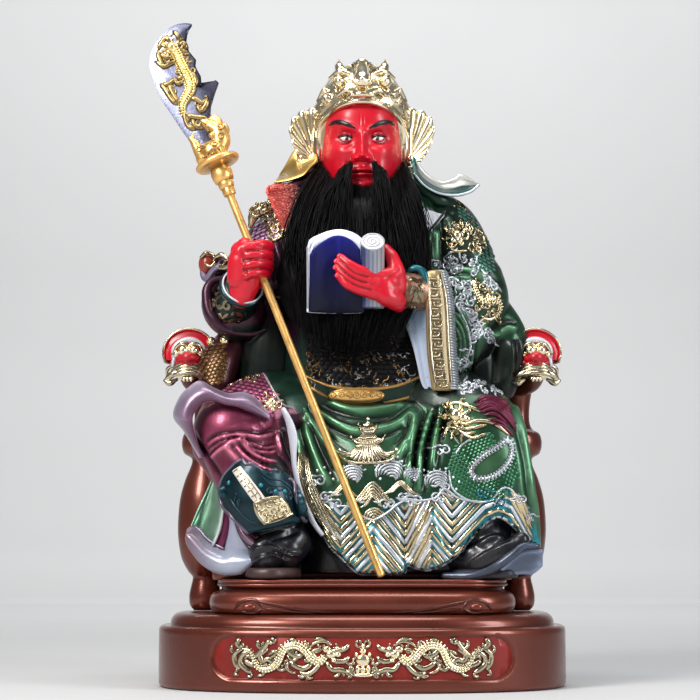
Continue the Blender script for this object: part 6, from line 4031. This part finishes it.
    def build(self) -> None:
        """Builds the boots."""
        piece = figure_piece("boots")
        piece.add([self.shaft(), self.foot()], Paint.BLACK)
        piece.add_all(self.cuff())
        soles = self.soles()
        piece.add([soles[0].toned((0.07, 0.035, 0.03)), soles[1].toned((0.03, 0.03, 0.04))], Paint.CLOTH)
        piece.add(all_toned(self.toe(), (0.09, 0.11, 0.16)), Paint.ENAMEL)
        piece.build(self.fit, 60)


@dataclass
class Hem:
    """The turned-up hem beside the raised leg: pale lining, green flap and purple facings."""

    fit: Fit

    def sheets(self) -> list[tuple[Form, Paint]]:
        """Makes the hem's overlapping sheets.

        Returns:
            Forms, each with its finish.
        """
        pale_top = [
            (-121.0, 32.8), (-116.9, 35.6), (-112.0, 32.8), (-107.2, 27.3), (-100.9, 23.2), (-95.4, 20.5),
            (-89.9, 22.5), (-84.4, 21.1), (-77.5, 15.7),
        ]
        pale_low = [
            (-121.0, 28.0), (-119.5, 22.5), (-114.7, 15.7), (-108.4, 9.5), (-100.8, 5.4), (-92.6, 4.0),
            (-84.3, 4.7), (-78.1, 8.1), (-74.7, 11.5),
        ]
        top, low = smooth_curve(pale_top, 81), smooth_curve(pale_low, 81)

        def pale(u: np.ndarray, v: np.ndarray) -> np.ndarray:
            """Finds the pale sheet's middle."""
            x, z = ruled(top, low, u, v)
            return np.stack([x, -40 - 16 * u - 9 * np.sin(v * math.pi * 0.8) - 3 * v, z], axis=-1)

        sheet = slab(pale, 3.0, 80, 24)
        share = np.clip((sheet.points[:, [0]] + 122) / 30, 0, 1)
        tone = grade(share, (0.16, 0.09, 0.13), (0.36, 0.4, 0.5))
        sheet = sheet.recoloured(tone)
        upper = between(
            [(-92.8, 45.9), (-92.1, 39.0), (-93.4, 30.8), (-96.1, 21.1)],
            [(-88.7, 45.9), (-86.5, 37.6), (-83.7, 28.7), (-77.5, 17.7)], (-50, -56), -2, 2.6,
        )
        flap = between(
            [(-102.3, 72.3), (-106.4, 59.8), (-112.6, 46.0), (-118.0, 34.9), (-112.4, 30.1)],
            [(-99.5, 70.2), (-98.1, 57.8), (-95.9, 48.8), (-98.6, 33.6), (-102.7, 23.2)], (-34, -50), 5,
            2.4, 20, 60,
        )
        across = np.clip((flap.points[:, [0]] + 118) / 26, 0, 1)
        green = grade(across, (0.12, 0.32, 0.19), (0.28, 0.36, 0.3))
        flap = flap.recoloured(green)
        facing = between(
            [(-98.0, 69.5), (-95.8, 49.4), (-97.8, 34.9), (-101.2, 22.5)],
            [(-94.5, 54.2), (-91.0, 44.6), (-93.0, 32.2), (-97.0, 19.8)], (-50, -53), -1, 2.4,
        )
        return [
            (sheet, Paint.WHITE),
            (upper.toned((0.34, 0.36, 0.46)), Paint.WHITE),
            (flap, Paint.ENAMEL),
            (facing.toned((0.09, 0.01, 0.04)), Paint.ENAMEL),
        ]

    def cords(self) -> list[tuple[Form, Paint]]:
        """Makes the hem's piped edges and the stripes beside the boot.

        Returns:
            Forms, each with its finish.
        """
        rows = [
            (
                [
                    (-121.0, 32.8), (-116.9, 35.6), (-112.0, 32.8), (-107.2, 27.3), (-100.9, 23.2),
                    (-95.4, 20.5),
                ],
                (-42, -55), 1.1, (0.3, 0.26, 0.34), Paint.ENAMEL,
            ),
            (
                [(-95.8, 48.7), (-98.5, 33.5), (-102.6, 23.2)], (-52, -54), 1.3, (0.62, 0.66, 0.66),
                Paint.WHITE,
            ),
            (
                [
                    (-121.0, 28.7), (-118.9, 21.1), (-114.0, 14.3), (-107.7, 8.8), (-100.1, 4.7),
                    (-91.9, 3.3), (-83.6, 4.0), (-77.4, 8.1),
                ],
                (-42, -60), 1.5, (0.5, 0.52, 0.6), Paint.WHITE,
            ),
            (
                [(-86.8, 43.0), (-82.0, 31.4), (-75.8, 24.5), (-68.9, 21.1)], (-58, -66), 3.2,
                (0.34, 0.2, 0.28), Paint.ENAMEL,
            ),
            (
                [(-83.4, 42.3), (-78.6, 33.4), (-73.0, 28.0)], (-57, -62), 3.2, (0.12, 0.008, 0.025),
                Paint.ENAMEL,
            ),
            (
                [(-88.2, 42.3), (-84.7, 32.1), (-79.2, 23.2), (-73.7, 19.1)], (-58, -66), 1.2, INK,
                Paint.BLACK,
            ),
            (
                [(-104.4, 70.9), (-108.5, 59.8), (-114.6, 46.0), (-118.7, 35.6)], (-30, -42), 1.2,
                (0.2, 0.4, 0.28), Paint.ENAMEL,
            ),
        ]
        forms = []
        for path, (start, end), radius, tone, paint in rows:
            line = at_depths(path, np.linspace(start, end, len(path)))
            cord = limb(line, [radius * 0.7, radius, radius * 0.7], 12, 50)
            forms.append((cord.toned(tone), paint))
        return forms

    def build(self) -> None:
        """Builds the hem."""
        backing = fuse([limb([(-84, -26, 74), (-88, -30, 44), (-94, -32, 18)], [19, 18, 15], 26, 20)], 1.8, 2)
        piece = figure_piece("hem")
        piece.add(backing.toned((0.02, 0.04, 0.03)), Paint.ENAMEL)
        piece.add_all(self.sheets() + self.cords())
        piece.build(self.fit, 60)


# Hands


@dataclass
class Fist:
    """The right hand, closed round the glaive's pole."""

    fit: Fit
    voxel: float = 0.7

    def masses(self) -> list[Form]:
        """Makes the palm, the fingers and the thumb as overlapping forms.

        Returns:
            Closed forms.
        """
        forms = [
            limb([(-84.5, -46, 197), (-82, -48, 207), (-83, -51, 218), (-84, -53, 226)], [
                9.5, 11.2, 11.0, 8.5,
            ], 26, 24),
            limb([(-86, -52, 208), (-85, -55, 220), (-82, -57, 230)], [8.5, 8.5, 6.0], 24, 16),
            limb([(-71, -44, 226), (-70, -43, 219), (-77, -43, 207)], [6.5, 9, 8], 24, 16),
            limb([(-90, -30, 192), (-83.5, -44, 203)], [8, 10], 26, 10),
        ]
        rows = [(-65.9, 230.5), (-65.9, 224.2), (-66.5, 217.8), (-67.9, 211.5)]
        tips = [(-80.0, 227.4), (-84.1, 222.5), (-82.7, 215.5), (-79.9, 208.5)]
        for (x0, z0), (x1, z1), girth in zip(rows, tips, (4.0, 3.9, 3.8, 3.6)):
            forms.append(limb(
                [
                    (x0 - 3, -40, z0), (x0 + 0.5, -49, z0 + 0.3), (x0 - 4, -58, z0 + 0.2),
                    (x0 - 10, -61, (z0 + z1) / 2), (x1, -60, z1),
                ],
                [girth * 1.05, girth, girth, girth * 0.95, girth * 0.85], 18, 30,
            ))
        (xa, za), (xb, zb), (xc, zc) = (-86.2, 221.1), (-81.3, 228.1), (-71.7, 230.1)
        forms.append(limb([(xa - 1, -54, za - 2), (xa, -57, za + 2), (xb, -60, zb), (xc, -60, zc)], [
            6.5, 5.4, 4.3, 3.5,
        ], 20, 26))
        return forms

    def build(self) -> None:
        """Builds the fist."""
        form = fuse(self.masses(), self.voxel, 2)
        grooves = [
            Stroke([(-82.0, 226.0), (-75.1, 226.0), (-66.1, 226.0)], -0.9, 0.8, 0),
            Stroke([(-83.4, 219.0), (-75.1, 219.7), (-66.1, 219.7)], -0.9, 0.8, 0),
            Stroke([(-81.3, 212.0), (-73.7, 213.4), (-66.1, 214.1)], -0.9, 0.8, 0),
            Stroke([(-84.8, 228.8), (-82.7, 222.5), (-82.0, 214.1), (-78.5, 205.7)], -0.7, 1.1, 0),
            Stroke([(-74.4, 230.1), (-71.7, 228.8), (-68.9, 229.5)], -0.4, 0.6, 0),
        ]
        form, lifted = sculpt(form, grooves)
        piece = figure_piece("fist")
        piece.add(painted(form, lifted, HAND_SHADE, RED, HAND_LIGHT), Paint.SKIN)
        piece.build(self.fit, 80, 0.75)


@dataclass
class OpenHand:
    """The left hand, which holds the book on its palm with its fingers spread in front."""

    fit: Fit
    voxel: float = 0.7

    def masses(self) -> list[Form]:
        """Makes the palm, the fingers and the thumb as overlapping forms.

        Returns:
            Closed forms.
        """
        forms = []
        for path, depths, radii in self.bones():
            forms.append(limb(at_depths(path, depths), radii, 22, 30))
        palm = [(24.6, -52, 195.5), (21.2, -57, 199.0), (15.6, -62, 201.8), (8.0, -66, 203.2)]
        forms.append(limb(palm, [11.5, 13.0, 12.0, 9.0], 28, 24, 0.62))
        heel = [(23.2, -58, 192.0), (17.7, -62, 194.1), (9.4, -66, 197.6)]
        forms.append(limb(heel, [7.5, 7.5, 5.5], 22, 16, 0.9))
        return forms

    @staticmethod
    def bones() -> list[tuple[Path, Sequence[float], Sequence[float]]]:
        """Finds each digit's course in the front view, its depths and its radii.

        Returns:
            Course, depths and radii of each digit.
        """
        deep = (-62, -66.5, -69.5, -70.5, -68.5)
        return [
            ([(21.7, 209.1), (9.3, 208.4), (-0.3, 210.5), (-9.3, 215.3), (-14.8, 220.2)], deep, [
                6, 4.6, 4.1, 3.6, 3.0,
            ]),
            ([(20.3, 204.2), (7.9, 204.2), (-2.4, 206.3), (-10.7, 211.2), (-16.2, 217.4)], deep, [
                6, 4.5, 4.1, 3.7, 3.1,
            ]),
            ([(18.9, 198.7), (6.6, 199.4), (-3.1, 201.5), (-11.4, 206.3), (-16.9, 213.3)], deep, [
                6, 4.5, 4.0, 3.6, 3.0,
            ]),
            ([(17.6, 193.1), (5.2, 195.9), (-3.1, 198.0), (-10.7, 201.5), (-16.2, 207.7)], deep, [
                6, 4.2, 3.6, 3.2, 2.7,
            ]),
            (
                [(24.0, 201.3), (23.3, 211.8), (20.6, 221.6), (16.4, 228.6)], (-56, -60, -59, -55),
                [8.0, 6.4, 4.9, 3.5],
            ),
        ]

    def build(self) -> None:
        """Builds the hand."""
        form = fuse(self.masses(), self.voxel, 2)
        grooves = [
            Stroke([(6.5, 206.1), (-3.1, 208.1), (-10.7, 213.0), (-16.9, 219.2)], -1.0, 0.75, 0),
            Stroke([(7.9, 201.2), (-3.1, 204.0), (-11.4, 208.8), (-17.5, 215.1)], -1.0, 0.75, 0),
            Stroke([(7.9, 197.0), (-3.1, 199.8), (-10.7, 204.0), (-17.5, 210.2)], -1.0, 0.75, 0),
            Stroke([(26.0, 213.8), (20.4, 208.2), (14.9, 204.7)], -0.6, 1.4, 0),
        ]
        form, lifted = sculpt(form, grooves)
        piece = figure_piece("open_hand")
        piece.add(painted(form, lifted, HAND_SHADE, RED, HAND_LIGHT), Paint.SKIN)
        nails = []
        for x, z in [(-15.5, 220.6), (-17.6, 217.2), (-18.2, 213.0), (-16.9, 207.4)]:
            nails.append(ball((x - 0.6, -70.8, z + 0.4), (1.5, 1.0, 1.9), (0, 35, 0), 14))
        piece.add(all_toned(nails, (0.74, 0.03, 0.05)), Paint.SKIN)
        piece.build(self.fit, 80, 0.75)


# Book

PAPER: Tone = (0.8, 0.82, 0.86)


@dataclass
class Book:
    """The open book: a bowed blue cover over a block of leaves, whose far part is rolled up."""

    fit: Fit
    lean: float = 0.3
    hinge: float = 190.0
    foot: float = 184.0
    board_y: float = -64.0
    roll_y: float = -57.0
    roll_tilt: float = 0.84

    def forward(self, z: np.ndarray) -> np.ndarray:
        """Returns how far the book lies back at a height; its upper end comes forward."""
        return -(np.asarray(z) - self.hinge) * self.lean

    def leaf(self, left: float, right: float, arch: Path, behind: float, thickness: float) -> Form:
        """Makes one bowed sheet.

        Args:
            left: Its left edge's x.
            right: Its right edge's x.
            arch: Its top edge in the front view.
            behind: How far it lies behind the cover.
            thickness: Its thickness.

        Returns:
            A closed form.
        """
        top = smooth_curve(arch, 61)

        def surface(u: np.ndarray, v: np.ndarray) -> np.ndarray:
            """Finds the sheet's middle.

            Args:
                u: Share across, from 0 to 1.
                v: Share down its length, from 0 to 1.

            Returns:
                xyz for each place.
            """
            x_top, z_top = read_curve(top, u)
            x = (left + (right - left) * u) * (1 - v) + x_top * v
            z = self.foot * (1 - v) + z_top * v
            y = self.board_y + 4 * u + 5.5 * np.sin(u * math.pi) + behind + self.forward(z)
            return np.stack([x, y, z], axis=-1)

        return slab(surface, thickness, 60, 60)

    def cover(self) -> Form:
        """Makes the blue cover, darker towards its foot.

        Returns:
            A closed form.
        """
        arch = [
            (-35.5, 221.2), (-31.4, 226.8), (-25.2, 231.7), (-19.7, 234.4), (-14.1, 234.4), (-9.3, 232.4),
            (-5.8, 229.6), (-2.4, 225.4),
        ]
        form = self.leaf(-36.5, 0.5, arch, 0.0, 2.4)
        share = np.clip((form.points[:, [2]] - self.foot) / 52, 0, 1) ** 1.4
        tone = grade(share, (0.001, 0.0015, 0.012), (0.003, 0.005, 0.13))
        return form.recoloured(tone)

    def leaves(self) -> list[Form]:
        """Makes the block of leaves that stands proud of the cover.

        Returns:
            Closed forms.
        """
        outer = [
            (-36.9, 221.9), (-36.9, 229.6), (-34.9, 233.0), (-28.0, 236.5), (-21.7, 238.6),
            (-15.5, 239.3), (-9.3, 237.9), (-4.5, 235.8), (-1.0, 233.0),
        ]
        inner = [
            (-36.2, 221.9), (-34.2, 228.9), (-30.7, 232.4), (-24.5, 235.1), (-19.0, 237.2),
            (-14.1, 237.2), (-9.3, 235.8), (-5.1, 233.7), (-1.7, 229.6),
        ]
        return [self.leaf(-38.0, -1.0, outer, 3.4, 2.2), self.leaf(-37.5, -0.5, inner, 1.6, 1.6)]

    def roll(self) -> list[tuple[Form | list[Form], Paint]]:
        """Makes the rolled leaves and the winding line on their end.

        Returns:
            Forms, each with their finish.
        """
        x, z_top, foot = 7.1, 231.4, 186.4
        radius, sides = 7.9, 64
        angle = even_angles(sides)
        flute = 1 + 0.02 * np.cos(angle * 9) + 0.012 * np.cos(angle * 17 + 1)
        rows = []
        for share in np.concatenate([[0, 0.01], np.linspace(0.03, 1, 40)]):
            z = foot + (z_top - foot) * share + math.sqrt(share) * self.roll_tilt * np.sin(
                angle
            ) * radius * share
            narrow = 0.94 if share == 0 else 1.0
            y = self.roll_y + np.sin(angle) * radius * narrow + self.forward(
                foot + (z_top - foot) * share
            )
            rows.append(np.column_stack([x + np.cos(angle) * radius * flute * narrow, y, z]))
        form = grid(np.array(rows), around=True, caps=True)
        side = np.clip((form.points[:, [0]] - x) / radius * 0.5 + 0.5, 0, 1)
        tone = grade(side, (0.03, 0.06, 0.22), (0.5, 0.5, 0.52))
        streak = 0.75 + 0.25 * np.cos(form.points[:, [0]] * 2.2)
        tone = tone * streak
        tone[-sides - 2 : -2] = tone[-1] = PAPER
        form = form.recoloured(tone)
        share = np.linspace(0, 1, 60)
        reach = radius * 0.95 * (1 - share * 0.9)
        turn = share * TURN * 2.6
        lid = self.roll_y + float(self.forward(z_top))

        def on_lid(r: float, a: float, proud: float) -> Vec:
            """Finds the place on the roll's slanted end at a radius and an angle.

            Args:
                r: The radius.
                a: The angle in radians.
                proud: How far it stands off the end.

            Returns:
                xyz of the place.
            """
            return x + r * math.cos(a), lid + r * math.sin(a) - proud, z_top + self.roll_tilt * r * math.sin(
                a
            ) + proud

        line = [on_lid(r, a, 0.25) for r, a in zip(reach, turn)]
        rim = [on_lid(radius, a, 0) for a in np.linspace(0, TURN, 40)]
        return [
            (form, Paint.WHITE),
            (limb(line, [0.24], 8, 90).toned((0.5, 0.52, 0.6)), Paint.WHITE),
            (limb(rim, [0.45], 8, 80).toned((0.75, 0.76, 0.8)), Paint.WHITE),
        ]

    def build(self) -> None:
        """Builds the book."""
        piece = Piece("open_book", "book", ["book"])
        piece.add(self.cover(), Paint.BLUE)
        piece.add(all_toned(self.leaves(), (0.78, 0.8, 0.88)), Paint.WHITE)
        edge = [
            (-37.8, self.board_y + float(self.forward(z)) - 1.4, z)
            for z in np.linspace(186, 226, 12)
        ]
        piece.add(limb(edge, [0.7], 10, 30).toned((0.6, 0.6, 0.72)), Paint.WHITE)
        piece.add_all(self.roll())
        piece.build(self.fit, 60)


# Glaive


@dataclass
class Glaive:
    """The crescent-bladed glaive, drawn along its own pole with its guard at z = 0."""

    foot: Vec = (13.0, -71.5, 76.5)
    way: Vec = (-0.3669, 0.0939, 0.9255)
    reach: float = 314.0
    pole_radius: float = 2.8
    thickness: float = 3.2

    def place(self, points: np.ndarray) -> np.ndarray:
        """Finds drawn points in the frame's millimetres, turned along the pole.

        Args:
            points: Points as drawn along the pole.

        Returns:
            xyz for each place.
        """
        along = np.asarray(self.way) / np.linalg.norm(self.way)
        across = np.array([along[2], 0.0, -along[0]])
        across /= np.linalg.norm(across)
        away = np.cross(along, across)
        middle = np.asarray(self.foot) + along * self.reach
        return middle + points[:, [0]] * across + points[:, [1]] * away + points[:, [2]] * along

    def blade(self) -> Form:
        """Makes the blade, silver along its edge and dark along its spine.

        Returns:
            A closed form.
        """
        edge = [
            (-10.4, 15.6), (-12.0, 23.2), (-14.0, 31.7), (-16.3, 43.4), (-19.1, 57.6), (-19.7, 67.9),
            (-19.6, 77.9), (-17.8, 86.5), (-12.2, 95.1), (-1.7, 102.6), (7.7, 105.2), (14.2, 104.2),
            (18.4, 102.1),
        ]
        spine = [
            (1.2, 14.1), (2.8, 24.3), (6.2, 32.9), (9.4, 40.2), (15.7, 48.5), (20.7, 54.3), (19.7, 56.4),
            (13.5, 56.3), (8.7, 54.8), (9.0, 58.1), (10.6, 63.7), (10.0, 67.8), (9.7, 72.2), (11.8, 76.4),
            (9.3, 83.9), (10.1, 91.8), (12.9, 96.9), (15.5, 99.7), (18.4, 101.9),
        ]
        columns, rows = 30, 140
        one = smooth_curve(edge, rows + 1)
        knots = np.asarray(spine, float)
        run = runs(knots)
        even = np.linspace(0, run[-1], rows + 1)
        two = np.stack([np.interp(even, run, knots[:, k]) for k in (0, 1)], axis=-1)

        def surface(u: np.ndarray, v: np.ndarray) -> np.ndarray:
            """Finds the blade's middle plane."""
            flat = one[:, None] * (1 - u[..., None]) + two[:, None] * u[..., None]
            return np.stack([flat[..., 0], np.zeros(u.shape), flat[..., 1]], axis=-1)

        form = slab(surface, self.thickness, columns, rows)
        thin = np.clip(beside(form.points[:, [0, 2]], one) / 7, 0.12, 1)
        points = form.points * np.column_stack([np.ones(len(thin)), thin, np.ones(len(thin))])
        share = np.tile(np.linspace(0, 1, columns + 1), rows + 1)
        rim = np.full(len(points) - 2 * len(share), 0.5)
        share = np.concatenate([share, share, rim])[:, None]
        dark = np.clip((share - 0.42) / 0.2, 0, 1)
        pale = np.asarray((0.2, 0.21, 0.3)) * (0.75 + 0.5 * np.clip(share / 0.3, 0, 1))
        tone = grade(dark, pale, (0.04, 0.038, 0.06))
        tone[-len(rim):] = (0.03, 0.04, 0.08)
        return Form(points, form.quads, form.tris, tone)

    def dragon(self, surface: Surface) -> list[Form]:
        """Makes the gold dragon on the blade.

        Args:
            surface: The blade's skin on one side.

        Returns:
            Closed forms.
        """
        course = [
            (1.7, 89.7), (2.5, 83.9), (2.4, 77.8), (3.1, 69.7), (3.6, 63.3), (1.7, 56.4), (-3.0, 52.0),
            (-7.8, 47.7), (-9.7, 40.8), (-7.3, 35.2),
        ]
        forms = serpent(surface, course, 4.4, 2.0)
        forms += dragon_face(surface, 0.1, 89.5, 7.4, 20)
        legs = [
            [(-0.4, 80.4), (-6.7, 79.8), (-10.5, 79.8), (-12.8, 83.8), (-14.9, 86.1)],
            [(-10.5, 79.8), (-11.0, 84.6), (-11.0, 88.5), (-10.3, 92.1)],
            [(-2.5, 82.8), (-7.3, 86.2), (-8.9, 90.0)],
            [(-0.3, 64.9), (-5.3, 63.8), (-6.9, 67.5), (-11.9, 66.4), (-17.2, 68.5)],
            [(-11.9, 66.4), (-11.4, 60.0), (-10.6, 54.2), (-9.2, 49.8)],
            [(-15.8, 66.3), (-14.5, 59.7), (-13.1, 53.7), (-10.8, 49.7)],
            [(-17.0, 69.1), (-14.8, 62.9), (-12.4, 57.3)],
            [(4.4, 69.2), (7.3, 65.0), (7.1, 60.4), (3.5, 57.2)],
            [(4.2, 64.7), (-0.2, 67.2), (-5.3, 67.6)],
            [(-1.7, 51.5), (2.4, 48.4), (5.3, 44.1), (9.4, 44.8), (6.2, 40.7), (1.7, 40.9)],
            [(8.6, 46.7), (11.1, 47.2)], [(1.7, 44.7), (2.5, 39.0), (6.9, 40.4)],
            [(7.5, 92.8), (6.7, 98.6), (5.1, 102.3)],
            [(0.6, 94.8), (-1.4, 99.4), (-6.3, 96.7), (-9.2, 93.2)],
            [(5.1, 90.6), (9.0, 90.7), (9.4, 85.9)],
            [(-8.4, 40.3), (-3.6, 36.8), (1.4, 34.1), (5.1, 31.9)],
            [(-8.7, 43.4), (-9.7, 33.1), (-5.7, 27.6)], [(-5.5, 36.0), (-4.7, 30.3), (-0.8, 26.5)],
        ]
        forms += relief(surface, legs, 2.0, 1.1, 0.8)
        spots = [
            (5.5, 85.8), (5.6, 78.1), (-7.0, 83.0), (7.6, 69.5), (-10.1, 59.4), (-11.7, 63.2),
            (2.6, 45.2), (6.1, 42.3), (-7.6, 38.4), (-2.6, 31.8), (-6.2, 88.9), (-2.2, 71.8),
        ]
        curls = scroll_row(spots, 2.5, 1.2, 60)
        mane = []
        for x, z in [(5.2, 82.9), (5.7, 76.4), (8.0, 86.4)]:
            mane += flames(x, z, 4.6, 4, -60, 100)
        return forms + relief(surface, curls, 0.75, 1.4, 0.6) + relief(surface, mane, 0.8, 1.2, 0.6)

    def socket(self) -> tuple[Form, list[Form]]:
        """Makes the dragon-mouthed socket and the scrolls on it.

        Returns:
            The skin and the scrolls.
        """
        masses = [
            lathe([(8.0, 0), (9.4, 4), (10.0, 8), (9.0, 12), (6.5, 15), (3.0, 16)], 40),
            limb([(2.0, 0, 8.4), (7.9, 0, 13.8), (8.5, 0, 21.2), (5.2, 0, 26.4), (1.9, 0, 31.6)], [
                6.5, 7.0, 6.6, 5.4, 3.4,
            ], 22, 26),
            limb([(-7.3, 0, 6.0), (-8.9, 0, 13.5), (-9.8, 0, 19.2), (-11.1, 0, 23.6)], [
                6.2, 4.6, 3.4, 2.0,
            ], 20, 20),
            limb([(5.4, 0, 20.9), (11.3, 0, 26.3), (9.5, 0, 31.6), (5.5, 0, 30.9)], [
                3.6, 3.4, 2.6, 1.8,
            ], 16, 16),
            limb([(7.5, 0, 18.6), (13.8, 0, 19.2), (14.0, 0, 23.7), (9.8, 0, 24.6)], [
                3.0, 2.8, 2.2, 1.4,
            ], 16, 16),
            limb([(-11.6, 0, 22.3), (-8.1, 0, 25.5), (-5.2, 0, 25.1)], [1.6, 1.4, 0.8], 12, 10),
        ]
        masses += [ball((3.7, side * 4.6, 18.5), (2.6, 2.4, 2.4)) for side in (-1, 1)]
        skin = fuse(masses, 0.6, 2)
        surface = Surface(skin)
        spots = [(9.1, 14.9), (3.0, 11.1), (-5.5, 6.8), (11.3, 22.5), (-0.6, 5.6), (-7.9, 12.3)]
        paths = scroll_row(spots, 2.6, 1.3, 70, False)
        paths += [
            [(-9.5, 19.9), (-8.4, 14.8), (-5.9, 11.5), (-2.2, 13.2), (-2.1, 19.3)],
            [(4.0, 7.7), (5.7, 2.4), (10.2, 2.1)], [(2.2, 28.4), (3.5, 24.0), (1.0, 19.6)],
        ]
        return skin, relief(surface, paths, 0.7, 1.3, 0.7)

    def guard(self) -> Form:
        """Makes the round guard and the stepped collar under it.

        Returns:
            A closed form.
        """
        profile = [
            (3.0, -26), (4.4, -25.5), (4.7, -23), (4.4, -20.5), (5.2, -20), (5.7, -17.5), (5.4, -15.5),
            (6.8, -14.8), (7.6, -11.5), (7.8, -8), (7.0, -5.4), (6.6, -4.4), (8.4, -3.4), (12.0, -2.8),
            (14.9, -2.4), (16.0, -1.2), (16.2, 0.2), (15.2, 1.5), (12.4, 2.2), (9.0, 2.6), (8.0, 4),
        ]
        return lathe(profile, 64)

    def pole(self) -> Form:
        """Makes the pole, with a rounded foot.

        Returns:
            A closed form.
        """
        radius = self.pole_radius
        low = -self.reach
        profile = [(radius * 0.5, low + 0.2), (radius * 0.9, low + 0.8), (radius, low + 2)]
        heights = np.linspace(low + 6, -24, 120)
        profile += [(radius * (1 + 0.012 * math.sin(k * 1.7)), z) for k, z in enumerate(heights)]
        return lathe(profile, 24)

    def build(self) -> None:
        """Builds the glaive's head and its pole."""
        blade = self.blade()
        head = Piece("glaive_blade", "glaive_head", ["glaive_head"])
        head.add(blade, Paint.STEEL)
        front = self.dragon(Surface(blade))
        back = self.dragon(Surface(blade, (0, -1, 0), LOOK_START))
        head.add(front + back, Paint.BLADE_GOLD)
        head.add([
            ball((0.1, side * 1.6, 97.3), (2.1, 1.3, 2.1), sides=18)
            for side in (-1, 1)
        ], Paint.SILVER)
        skin, scrolls = self.socket()
        head.add([
            skin, self.guard(), *scrolls, *[form.mirrored(1) for form in scrolls],
        ], Paint.BRONZE_GOLD)
        head.build(self.place, 50, 0.62)
        rod = Piece("glaive_rod", "glaive_pole", ["glaive_pole"])
        rod.add(self.pole(), Paint.BRONZE_GOLD)
        rod.build(self.place, 60, 1.0)


# Studio


@dataclass
class Studio:
    """The pale floor, the soft lights and the camera."""

    eye: Vec = (-8.6, -1500.0, 93.8)
    pitch: float = 5.5
    lens: float = 107.7
    sensor: float = 36.0
    sky_colour: Sequence[float] = (0.82, 0.86, 0.92, 1)
    sky_strength: float = 0.2

    def floor(self) -> None:
        """Lays a pale floor that sweeps up behind the statue."""
        profile = [(-2600, 0), (1700, 0), (2100, 40), (2400, 170), (2600, 400), (2690, 800), (2700, 3400)]
        line = smooth_curve(profile, 60)
        rows = np.array([
            [(-2600, y, z - 0.2), (2600, y, z - 0.2)]
            for y, z in np.maximum(line, (-2600, 0))
        ])
        form = grid(rows)
        mesh = as_mesh(Form(form.points, form.quads[:, ::-1]), "floor", MM)
        mesh.polygons.foreach_set("use_smooth", np.ones(len(mesh.polygons), bool))
        finish = Finish(
            "pale_floor", (0.56, 0.56, 0.562), roughness=0.7, mottle=0.01, mottle_scale=3, bump=0.02,
            wash=1, edge=1,
        )
        mesh.materials.append(finish.material())
        linked("floor", mesh)

    def lamp(self, name: str, place: Vec, target: Vec, size: Vec, power: float, colour: Tone) -> None:
        """Hangs a soft lamp that faces a target.

        Args:
            name: Its name.
            place: Where it hangs.
            target: Where it points.
            size: Its width and height.
            power: Its power in watts.
            colour: The colour of its light.
        """
        data = bpy.data.lights.new(name, "AREA")
        data.shape = "RECTANGLE"
        data.size, data.size_y = size[0] * MM, size[1] * MM
        data.energy = power
        data.color = colour
        obj = linked(name, data)
        obj.location = Vector(place) * MM
        obj.rotation_euler = (Vector(target) - Vector(place)).to_track_quat("-Z", "Y").to_euler()

    def build(self) -> None:
        """Sets up the floor, the lamps, the sky and the camera."""
        self.floor()
        self.lamp("key", (-760, -980, 980), (0, 0, 240), (420, 620), 21.5, (1.0, 0.98, 0.95))
        self.lamp("fill", (1000, -700, 560), (0, 0, 220), (320, 760), 9, (0.94, 0.97, 1.0))
        self.lamp("top", (0, -260, 1300), (0, 0, 200), (760, 420), 8, (1, 1, 1))
        self.lamp("backdrop", (0, 1500, 1700), (0, 2500, 250), (2600, 700), 34, (1, 1, 1))
        world = bpy.data.worlds.new("sky")
        world.use_nodes = True
        sky = world.node_tree.nodes["Background"].inputs
        sky["Color"].default_value = self.sky_colour
        sky["Strength"].default_value = self.sky_strength
        bpy.context.scene.world = world
        bpy.context.scene.view_settings.view_transform = "Standard"
        data = bpy.data.cameras.new("camera")
        data.lens, data.sensor_width = self.lens, self.sensor
        camera = linked("camera", data)
        camera.location = Vector(self.eye) * MM
        camera.rotation_euler = (math.radians(90 + self.pitch), 0, 0)
        bpy.context.scene.camera = camera


def main() -> None:
    """Builds the statue around the frame."""
    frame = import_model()
    LOG.info("frame: %d nodes", len(frame["nodes"]))
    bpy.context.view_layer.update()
    plinth = Plinth(Box.of("plinth"))
    plinth.build()
    Plaque(plinth).build()
    Chair(Box.of("chair"), plinth).build()
    fit = Fit(Box.of("figure"))
    for part in (
        Robe, Knee, Boots, Hem, Torso, FistArm, BookArm, Head, Helmet, Collar, Beard, Fist, OpenHand,
        Book,
    ):
        part(fit).build()
    Glaive().build()
    Studio().build()


if __name__ == "__main__":
    main()
